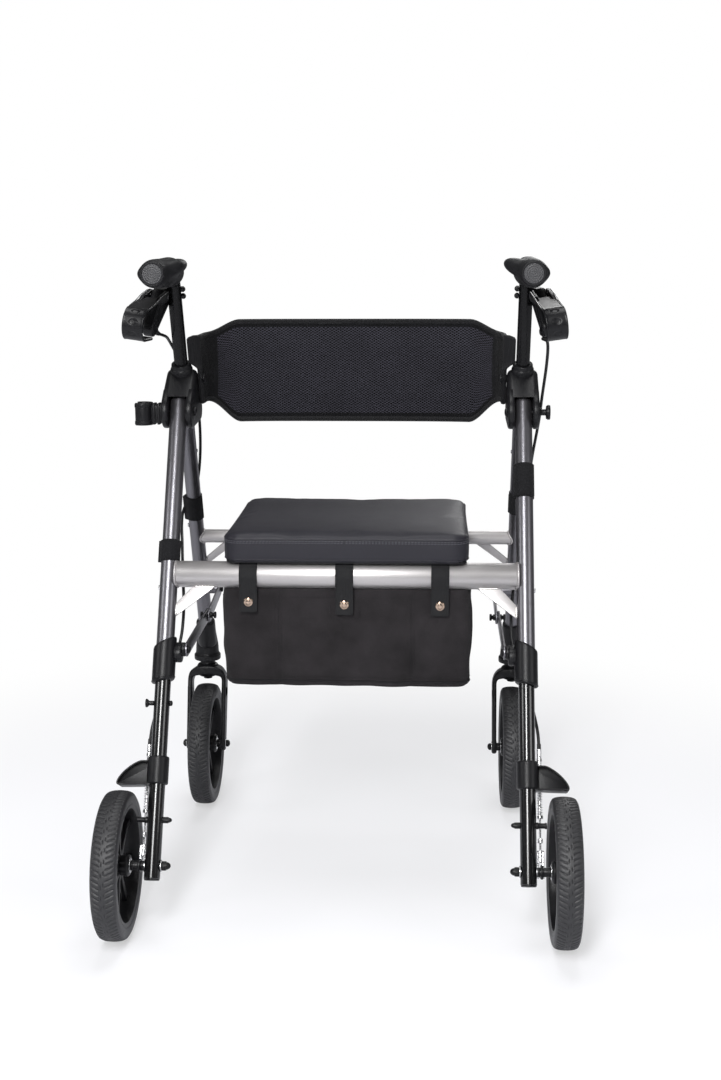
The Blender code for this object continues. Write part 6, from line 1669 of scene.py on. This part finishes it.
def pouch_surface(look, inset, low, high, rows):
    """Rows of the pouch's side from one height to another. Each is a rounded rectangle that
    bellies out by sin(pi t) below the rim, with folds that run down from the straps and a rim
    that dips between them."""
    half_y = (POUCH_FRONT_Y - POUCH_REAR_Y) / 2
    line = evenly(rounded_box(POUCH_HALF - 0.003, half_y - 0.003, 0.014, 8), 0.004)
    before = unit(np.roll(line[:-1], -1, 0) - np.roll(line[:-1], 1, 0))
    normal = np.stack((before[:, 1], -before[:, 0]), -1)
    normal = np.vstack((normal, normal[:1]))
    x, y = line[:, 0], line[:, 1]
    flat_x = np.exp(-(x / (POUCH_HALF * 0.9)) ** 8)
    dips = -0.0025 * np.sum([np.exp(-((x - at) / 0.018) ** 2) for at, _ in STRAPS], axis=0)
    sewn = 0.0016 * np.sum([np.exp(-(((x - at) / 0.0045) ** 2)) for at in POCKET_SEAMS], axis=0)
    out = []
    for z in np.linspace(low, high, rows):
        t = (POUCH_TOP_Z - z) / (POUCH_TOP_Z - POUCH_FOOT_Z)
        belly = 0.0055 * np.sin(math.pi * np.clip(t, 0, 1)) ** 0.8
        folds = np.zeros(len(line))
        for at, _ in STRAPS:
            reach = (x - at) / (0.02 + 0.1 * t)
            folds += np.exp(-reach**2) * np.cos((x - at) * (150 - 60 * t)) * (1 - 0.5 * t)
        rough = wobble(x * 19, y * 19 + z * 34, 5.3) \
            + 0.5 * wobble(x * 46 + z * 20, y * 46 - z * 60, 1.9)
        out_by = belly * (0.55 + 0.45 * flat_x) \
            + look.pouch_wrinkle * (0.55 * folds + 0.8 * rough) * min(1.0, 0.25 + 3 * t)
        flat = line + normal * (out_by + dips * (1 - t) - sewn - inset)[:, None]
        out.append(np.column_stack((flat[:, 0], flat[:, 1] + POUCH_MIDDLE, np.full(len(x), z))))
    return np.array(out)


def pouch_floor(last, low, turn, lift):
    """The pouch's bottom, from the last row of its side: a quarter turn inward and then rings
    that shrink to the middle, sagging by 1 - s^2."""
    middle = np.array((0.0, POUCH_MIDDLE, 0.0))
    rows = []
    for a in np.linspace(0.12, 1.0, 8) * math.pi / 2:
        row = middle + (last - middle) * (1 - (1 - math.cos(a)) * turn / 0.15)
        row[:, 2] = low - (turn - lift) * math.sin(a)
        rows.append(row)
    edge = rows[-1]
    for share in np.linspace(0.94, 0.0, 16):
        row = middle + (edge - middle) * share
        row[:, 2] = edge[:, 2] - 0.0045 * (1 - share**2) \
            + 0.0014 * wobble(row[:, 0] * 30, row[:, 1] * 30, 2.2) * (1 - share**4)
        rows.append(row)
    return np.array(rows)


def make_pouch(look):
    """The pouch: one cloth that goes down its outside, over the hem and down its inside."""
    turn = 0.008
    low = POUCH_FOOT_Z + turn
    outer = pouch_surface(look, 0.0, POUCH_TOP_Z, low, 46)
    inner = pouch_surface(look, 0.002, POUCH_TOP_Z, low, 46)
    hem = (outer[0] + inner[0]) / 2 + UP * 0.0012
    below = pouch_floor(outer[-1], low, turn, 0.0)
    above = pouch_floor(inner[-1], low, turn, 0.002)
    pouch = Shape("pouch_bag")
    pouch.grid(np.concatenate((below[::-1], outer[::-1], hem[None], inner, above)))
    thing = pouch.make(("pouch_cloth",), 180)
    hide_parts("pouch")

    trim = Shape("pouch_seams")
    for row, radius in ((outer[-1], 0.0013), (below[5], 0.0008)):
        trim.carried(row, ring(radius, 10), UP, 0)
    seam = (0.0038, 0.0028, 0.0003, 1)
    for height in (POUCH_TOP_Z - 0.0115, low + 0.006):
        trim.stitches(pouch_surface(look, -0.0003, height, height - 0.001, 2)[0], *seam)
    high = POUCH_TOP_Z - 0.002
    tall = pouch_surface(look, -0.0004, high, low, 60)
    rear = outer[0][:, 1] < 0.0
    for x in POCKET_SEAMS:
        near = int(np.argmin(np.where(rear, np.abs(outer[0][:, 0] - x), 9.0)))
        for column in (near, near + 1):
            trim.stitches(tall[:, column], *seam)

    def on_face(x, z):
        """The point of the pouch's rear side at a width and a height."""
        line = tall[int(round((high - z) / (high - low) * 59))][rear]
        line = line[np.argsort(line[:, 0])]
        return x, np.interp(x, line[:, 0], line[:, 1]), z

    x, z = STRAPS[1]
    half, foot = 0.0215, z - 0.0215
    corners = ((x - half, z - 0.004), (x - half, foot), (x + half, foot), (x + half, z - 0.004))
    box = evenly(np.array(corners), 0.0015)
    trim.stitches(np.array([on_face(*p) for p in box]), 0.0042, 0.0028, 0.00036, 1)
    made = trim.make(("binding", "dark_thread"))
    for piece in (thing, made):
        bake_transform(piece)


def make_straps(look):
    """Straps over the rear bar: each follows the bar's round and hangs down the pouch's rear side
    to a tip. Both edges are stitched, and a snap goes through strap and pouch."""
    straps = Shape("pouch_straps")
    centre = (REAR_BAR_Y, REAR_BAR_Z)
    over = arc(centre, REAR_BAR_RADIUS + 0.0012, math.radians(-40), math.radians(188), 30)
    cap = [(0.0, 0.0026), (0.003, 0.0024), (0.0034, 0.0014), (0.0052, 0.0018), (0.0068, 0.0008),
           (0.0068, -0.0012), (0.0, -0.0012)]
    washer = [(0.0, -0.0012), (0.0086, -0.0012), (0.0086, -0.0004), (0.0, -0.0002)]
    for x, snap_z in STRAPS:
        line = np.vstack((over, [(POUCH_REAR_Y - 0.005, 0.44), (POUCH_REAR_Y - 0.0046, 0.43),
                                 (POUCH_REAR_Y - 0.0052, snap_z - 0.015)]))
        line = evenly(soften(line, 0.006, 5), 0.0015)
        path = np.column_stack((np.full(len(line), x), line))
        width = np.minimum(1.0, 0.78 + run_length(path[::-1])[::-1] / 0.01)
        section = box_section(0.0255, 0.0017, 0.0007, 3)[None] \
            * np.stack((width, np.ones(len(width))), -1)[:, None]
        straps.carried(path, section, AHEAD, 0)
        away = line - np.array((REAR_BAR_Y + 0.02, 0.45))
        proud = unit(np.column_stack((np.zeros(len(line)), away))) * 0.001
        for way in (-1, 1):
            edge = path + OUT * way * 0.0108 + proud
            straps.stitches(edge[12:-9], *TAPE_STITCH, 0.00028, 1)
        spot = (x, POUCH_REAR_Y - 0.0056, snap_z)
        straps.turned(soften(cap, 0.0008), spot, -AHEAD, 36, 2)
        straps.turned(soften(washer, 0.0004, 2), spot, -AHEAD, 36, 0)
    straps.fit(("webbing", "dark_thread", "snap_metal"), "rear_frame", "cloth")


def make_ties(look):
    """Strips of hook-and-loop tape that hold the cables to the legs, each with a lapped end."""
    for name, side, line, radius, low, high, cable in (
        ("right_rear", 1, REAR, REAR_LEG_RADIUS, 0.563, 0.608, (0.0, 0.012)),
        ("left_rear", -1, REAR, REAR_LEG_RADIUS, 0.476, 0.504, (0.006, 0.01)),
        ("left_front", -1, FRONT, FRONT_LEG_RADIUS, 0.498, 0.536, (0.013, -0.004)),
        ("right_front", 1, FRONT, FRONT_LEG_RADIUS, 0.511, 0.543, (0.0155, -0.003)),
    ):
        tie = Shape(f"{name}_tie", side)
        start, end = line.along(low), line.along(high)
        middle = line.at(LEG_X, (start + end) / 2)
        outline = belt([(0.0, 0.0, radius + 0.0016), (*cable, CABLE_RADIUS + 0.0016)])
        angle = np.arctan2(outline[:, 1], outline[:, 0])
        outline = outline * (1 + 0.012 * np.sin(5 * angle)[:, None])
        tie.slab(outline, end - start, middle, OUT, line.ahead, 0.0008)
        low_turn, high_turn = math.radians(-165), math.radians(-25)
        flap = np.vstack((arc((0.0, 0.0), radius + 0.003, low_turn, high_turn, 24),
                          arc((0.0, 0.0), radius + 0.0012, high_turn, low_turn, 24)))
        tie.slab(flap, (end - start) * 0.94, middle, OUT, line.ahead, 0.0006)
        if name == "left_rear":
            inner, outer = radius - 0.001, 0.0171
            tab = [(inner, -0.0016), (outer, -0.0013), (outer, 0.0013), (inner, 0.0016)]
            tie.slab(tab, end - start, middle, OUT, line.ahead, 0.0006)
        for rise in (0.06, 0.94):
            s = start + (end - start) * rise
            edge = [line.at(LEG_X, s)
                    + (OUT * math.cos(a) + line.ahead * math.sin(a)) * (radius + 0.0031)
                    for a in np.linspace(math.radians(-160), math.radians(-30), 20)]
            tie.stitches(edge, 0.0034, 0.0024, 0.00028, 1)
        body = "rear_frame" if line is REAR else "front_frame"
        tie.fit(("hook_and_loop", "dark_thread"), body, "cloth")


# Backrest

def back_line(columns):
    """The band's plan, from left to right: beside the stem ahead to the tab's corner, then a curve
    across whose bow is cos(a) to a power and whose reach is sin(a) to the same power."""
    angle = np.linspace(-math.pi / 2, math.pi / 2, 721)
    across = np.sign(angle) * np.abs(np.sin(angle)) ** BACK_SQUARENESS
    bow = np.maximum(0.0, np.cos(angle)) ** BACK_SQUARENESS
    plan = np.stack((BACK_HALF * across, BACK_TAB_Y + BACK_BOW * bow), -1)
    stem = FRONT.level(0, BACK_END_Z)[1]
    plan = soften(np.vstack(([(-BACK_HALF, stem)], plan, [(BACK_HALF, stem)])), 0.0, 1)
    share = np.linspace(0.0, run_length(plan)[-1], columns)
    line = at_lengths(plan, share)
    for _ in range(6):
        line[1:-1] = (line[:-2] + 2 * line[1:-1] + line[2:]) / 4
    return line, share


def make_backrest(look):
    """The band: a padded strip that stands on its plan, higher in the middle than at its ends. It
    has a binding all round, a mesh panel, stitches along the edges of both and an eyelet at each
    end."""
    line, run = back_line(321)
    tangent = unit(np.gradient(line, axis=0))
    normal = np.stack((tangent[:, 1], -tangent[:, 0]), -1)
    middle = 1 - smoothstep(0.78, 1.0, np.abs(line[:, 0]) / BACK_HALF)
    ends = np.minimum(run, run[-1] - run)
    end_share = np.clip(1 - ends / 0.004, 0, 1)
    tops = 0.79 + 0.018 * middle - 0.006 * end_share**2
    feet = 0.685 - 0.035 * middle + 0.006 * end_share**2
    border, inset = 0.0075, 0.027
    rise = np.concatenate(((0.0, 0.0012, 0.004, border, border + 0.0005, border + 0.0012),
                           np.linspace(0.01, inset, 10)))
    share = np.linspace(0.0, 1.0, 39)[1:-1]
    heights = [feet + h for h in rise] \
        + [feet + inset + (tops - feet - 2 * inset) * s for s in share] \
        + [tops - h for h in rise[::-1]]

    def face(way):
        """One side's points: rows up the band, columns along it. The side stands out by the
        half thickness, the binding by a little more, and the padding by a low swell."""
        rows, slots = [], []
        for z in heights:
            near = np.minimum(np.minimum(z - feet, tops - z), ends)
            round_off = np.sqrt(np.clip(1 - (1 - np.clip(near / 0.0012, 0, 1)) ** 2, 0, 1))
            binding = near < border + 0.0003
            swell = smoothstep(border, 0.045, near) * 0.0022
            quilt = 0.0005 * wobble(run * 30, z * 30, 4.4) * (near > border)
            depth = 0.0012 + (0.0014 + 0.0006 * binding) * round_off + swell + quilt
            lean = (BACK_END_Z - z) * math.tan(math.radians(21.7)) \
                * np.clip(1 - ends / 0.03, 0, 1)
            flat = line + normal * (way * (depth * round_off + 0.0002))[:, None]
            reach = 0.015 * np.clip(1 - ends / 0.01, 0, 1) ** 2 * smoothstep(0.738, 0.75, z)
            rows.append(np.column_stack((flat[:, 0] + np.sign(line[:, 0]) * reach,
                                         flat[:, 1] + lean, z)))
            mesh_zone = (np.abs(line[:, 0]) < BACK_MESH_HALF) & (near > 0.0125)
            slots.append(np.where(binding, 1, np.where(mesh_zone, 2, 0)))
        return np.array(rows), np.array(slots)

    front, slots = face(1)
    back, _ = face(-1)
    points = np.concatenate((front, back[::-1], front[:1]))
    kinds = np.concatenate((slots, slots[::-1], slots[:1]))
    up_run = run_length(points[:, len(line) // 2])
    band = Shape("backrest_band")
    band.grid(points, 0, np.stack(np.broadcast_arrays(run[None, :], up_run[:, None]), -1))
    band.slots[-1] = kinds[:-1, :-1].reshape(-1)
    band.cap(points[:, 0][::-1], 1)
    band.cap(points[:, -1], 1)
    thing = band.fit(("tab_cloth", "binding", "air_mesh"), "front_frame", "cloth", "backrest",
                     sharp=60)

    trim = Shape("backrest_trim")
    panel = np.abs(line[:, 0]) < BACK_MESH_HALF
    for side_face, way in ((front, 1), (back, -1)):
        out = np.column_stack((normal * way, np.zeros(len(line))))
        for row in (2, -3):
            path = side_face[row] + out * 0.0004
            trim.stitches(path[4:-4], *TAPE_STITCH, 0.0003)
        for row in (7, -8):
            path = side_face[row] + out * 0.0002
            trim.stitches(path[panel], *TAPE_STITCH, 0.00028)
        for x in (-BACK_MESH_HALF, BACK_MESH_HALF):
            k = int(np.argmin(np.abs(line[:, 0] - x)))
            trim.stitches(side_face[7:-7, k] + out[k] * 0.0003, *TAPE_STITCH, 0.00028)
    spot = FRONT.level(0, BACK_STUD_Z, 0.007)
    eyelet = soften([(0.005, -0.003), (0.0086, -0.0032), (0.009, -0.0026), (0.0064, -0.0018)],
                    0.0005)
    for way in (-1, 1):
        for facing in (way, -way):
            trim.turned(eyelet, (way * 0.2262, spot[1], spot[2]), OUT * facing, 32, 1)
    trim.fit(("dark_thread", "hard_black"), "front_frame", "cloth")


# Stage

def make_floor(look):
    """The floor: it fades with its distance from the walker to the camera's white."""
    floor = bpy.data.meshes.new("floor")
    reach = 9.0
    corners = [(-reach, -reach, 0), (reach, -reach, 0), (reach, reach, 0), (-reach, reach, 0)]
    floor.from_pydata(corners, [], [(0, 1, 2, 3)])
    thing = bpy.data.objects.new("floor", floor)
    bpy.context.scene.collection.objects.link(thing)
    net = Net("floor_white", look.floor_colour, 0.85)
    x, y = net.parts(net.place)
    away = (x * x + y * y).maths("POWER", 0.5)
    camera_ray = net.node("ShaderNodeLightPath")
    glow = net.node("ShaderNodeEmission", None, {"Color": WHITE, "Strength": 1.0})
    far = away.ramp(look.floor_near, look.floor_far) * (1.0 - look.floor_glow)
    fade = (look.floor_glow + far) * camera_ray
    surface = Value(net, net.shader.outputs[0])
    mixed = net.node("ShaderNodeMixShader", None, {0: fade, 1: surface, 2: glow})
    net.give(net.tree.nodes["Material Output"].inputs["Surface"], mixed)
    cloud = net.noise(1.2, 2.0)
    net.put("Roughness", 0.8 + cloud * 0.1)
    floor.materials.append(net.material)


def make_world(look):
    """Even light from all round, which the camera sees as plain white."""
    world = bpy.data.worlds.new("studio")
    world.use_nodes = True
    nodes, links = world.node_tree.nodes, world.node_tree.links
    light, white = nodes["Background"], nodes.new("ShaderNodeBackground")
    for shader, strength in ((light, look.room_light), (white, 1.0)):
        shader.inputs["Color"].default_value = WHITE
        shader.inputs["Strength"].default_value = strength
    path = nodes.new("ShaderNodeLightPath")
    mix = nodes.new("ShaderNodeMixShader")
    for k, socket in enumerate((path.outputs["Is Camera Ray"], light.outputs[0],
                                white.outputs[0])):
        links.new(socket, mix.inputs[k])
    links.new(mix.outputs[0], nodes["World Output"].inputs["Surface"])
    bpy.context.scene.world = world


def looking(right, up, back, place):
    """The turn and place of a lamp or a camera that looks against the direction back."""
    turn = Matrix(np.column_stack((right, up, back)).tolist()).to_4x4()
    return Matrix.Translation(place) @ turn


def make_stage(look):
    """The floor, the even light, six lamps that aim at a height over the middle, and the camera."""
    scene = bpy.context.scene
    make_floor(look)
    make_world(look)
    for name, place, aim, size, power in (
        ("key", (-0.5, -3.3, 1.75), 0.45, (1.1, 1.1), 1.0),
        ("high", (-0.35, -2.55, 2.45), 0.4, (0.6, 1.8), 1.9),
        ("fill", (2.5, -1.4, 1.5), 0.45, (1.3, 1.3), 0.36),
        ("left", (-2.5, -1.0, 1.6), 0.45, (1.0, 1.0), 0.3),
        ("top", (0.0, 0.3, 3.2), 0.3, (1.6, 1.6), 0.85),
        ("back", (0.8, 2.9, 1.9), 0.4, (1.3, 1.3), 0.4),
    ):
        lamp = bpy.data.lights.new(name, "AREA")
        lamp.size, lamp.size_y = size
        lamp.shape = "DISK" if size[0] == size[1] else "ELLIPSE"
        lamp.energy = look.key_light * power
        holder = bpy.data.objects.new(name, lamp)
        scene.collection.objects.link(holder)
        back = unit(np.array(place) - UP * aim)
        right = unit(np.cross(UP, back))
        holder.matrix_world = looking(right, np.cross(back, right), back, place)

    camera = bpy.data.cameras.new("camera")
    camera.lens = 50.0
    camera.sensor_width = 36.0
    holder = bpy.data.objects.new("camera", camera)
    scene.collection.objects.link(holder)
    right = unit((0.99882, 0.04837, -0.00304))
    forward = unit((-0.04803, 0.9794, -0.19614))
    holder.matrix_world = looking(right, np.cross(right, forward), -forward,
                                  (0.1219, -2.1335, 0.9266))
    scene.camera = holder
    scene.view_settings.view_transform = "Standard"


# Settings, operators and panel

def colour(name, description, default):
    return FloatVectorProperty(name=name, description=description, subtype="COLOR", size=3,
                               min=0.0, max=1.0, default=default)


def amount(name, description, default, low, high, unit="NONE"):
    return FloatProperty(name=name, description=description, default=default, min=low, max=high,
                         unit=unit)


def number(name, description, default, low, high):
    return IntProperty(name=name, description=description, default=default, min=low, max=high)


class WalkerLook(bpy.types.PropertyGroup):
    frame_colour: colour("Frame", "Colour of the painted legs and links", (0.15, 0.147, 0.16))
    silver_colour: colour("Bars", "Colour of the silver bars", (0.44, 0.425, 0.425))
    tube_colour: colour("Gloss tubes", "Colour of the sliding tubes", (0.004, 0.004, 0.0045))
    plastic_colour: colour("Plastic", "Colour of the moulded parts", (0.006, 0.006, 0.007))
    cap_colour: colour("Grip caps", "Colour of the caps in the grips' ends", (0.028, 0.028, 0.031))
    tyre_colour: colour("Tyres", "Colour of the tyres", (0.0125, 0.0125, 0.0145))
    seat_colour: colour("Seat", "Colour of the seat's vinyl", (0.014, 0.0135, 0.0185))
    fabric_colour: colour("Pouch", "Colour of the pouch's cloth", (0.0185, 0.0165, 0.018))
    mesh_colour: colour("Backrest mesh", "Colour of the backrest's air mesh",
                        (0.0215, 0.0208, 0.0268))
    mesh_cell: amount("Mesh cell", "Width of one hole of the air mesh", 0.0065, 0.001, 0.01,
                      "LENGTH")
    groove_depth: amount("Groove depth", "Depth of the tyres' grooves", 0.0015, 0.0, 0.003,
                         "LENGTH")
    tread_grooves: number("Grooves", "Grooves round each side of a tyre", 84, 24, 120)
    lever_dimples: number("Lever hollows", "Hollows on each lever's bend", 4, 0, 8)
    seat_puff: amount("Seat puff", "How far the seat's cover may swell", 0.005, 0.0, 0.016,
                      "LENGTH")
    pouch_wrinkle: amount("Pouch folds", "Height of the pouch's folds", 0.0038, 0.0, 0.006,
                          "LENGTH")
    floor_colour: colour("Floor", "Colour of the studio floor", (0.8, 0.806, 0.848))
    floor_near: amount("Floor near", "Distance at which the floor starts to fade to white",
                       0.55, 0.1, 5.0, "LENGTH")
    floor_far: amount("Floor far", "Distance at which the floor is white", 1.3, 0.2, 8.0,
                      "LENGTH")
    floor_glow: amount("Floor glow", "Share of even white in the floor near the walker",
                       0.5, 0.0, 1.0)
    room_light: amount("Room light", "Strength of the even light", 0.15, 0.0, 3.0)
    key_light: amount("Key light", "Power of the main lamp in watts", 44.0, 0.0, 1000.0, "POWER")


def operator(idname, label, words, build):
    """An operator class that draws one group of pieces."""

    def execute(self, context):
        build(context.scene.walker_look)
        return {"FINISHED"}

    return type("WALKER_OT_" + idname, (bpy.types.Operator,), {
        "__doc__": words, "bl_idname": "walker." + idname, "bl_label": label, "execute": execute})


OPERATORS = [operator(*row) for row in (
    ("finishes", "Finishes", "Makes the materials of all the pieces", make_finishes),
    ("cables", "Brake cables", "Lays the two brake cables along the legs", make_cables),
    ("front_legs", "Front legs", "Draws the front legs and the height button", make_front_legs),
    ("front_bar", "Front bar", "Draws the bar between the front legs", make_front_bar),
    ("rear_legs", "Rear legs", "Draws the rear legs", make_rear_legs),
    ("rear_bar", "Rear bar", "Draws the broad bar between the rear legs", make_rear_bar),
    ("lower_tubes", "Lower tubes", "Draws the gloss tubes, their brackets and the stud",
     make_lower_tubes),
    ("links", "Side links", "Draws the folding links on both sides", make_links),
    ("top_brackets", "Top brackets", "Draws the fold brackets, bolts and cane clip",
     make_top_brackets),
    ("casters", "Casters", "Draws the housings, forks and front axles", make_casters),
    ("wheels", "Wheels", "Draws the four tyres and rims", make_wheels),
    ("rear_axles", "Rear axles", "Draws the bolts that carry the rear wheels", make_rear_axles),
    ("brakes", "Brakes", "Draws the brake housings, arms, rods and springs", make_brakes),
    ("handles", "Handles", "Draws the stems, grips and brake levers", make_handles),
    ("seat", "Seat", "Draws the seat board and its cushion", make_seat),
    ("pouch", "Pouch", "Draws the cloth pouch under the seat", make_pouch),
    ("straps", "Straps", "Draws the pouch's straps and snaps", make_straps),
    ("ties", "Cable ties", "Draws the tapes that hold the cables", make_ties),
    ("backrest", "Backrest", "Draws the padded band behind the seat", make_backrest),
    ("stage", "Stage", "Makes the floor, lamps and camera", make_stage),
)]


class WALKER_PT_panel(bpy.types.Panel):
    """The walker's settings and the buttons that draw it"""
    bl_label = "Four-wheel walker"
    bl_idname = "WALKER_PT_panel"
    bl_space_type = "VIEW_3D"
    bl_region_type = "UI"
    bl_category = "Walker"

    def draw(self, context):
        for name in WalkerLook.__annotations__:
            self.layout.prop(context.scene.walker_look, name)
        for kind in OPERATORS:
            self.layout.operator(kind.bl_idname)


CLASSES = [WalkerLook, *OPERATORS, WALKER_PT_panel]


def register():
    for kind in CLASSES:
        bpy.utils.register_class(kind)
    bpy.types.Scene.walker_look = PointerProperty(type=WalkerLook)


def unregister():
    del bpy.types.Scene.walker_look
    for kind in reversed(CLASSES):
        bpy.utils.unregister_class(kind)


def main():
    register()
    for kind in OPERATORS:
        getattr(bpy.ops.walker, kind.bl_idname.split(".")[1])()


if __name__ == "__main__":
    main()
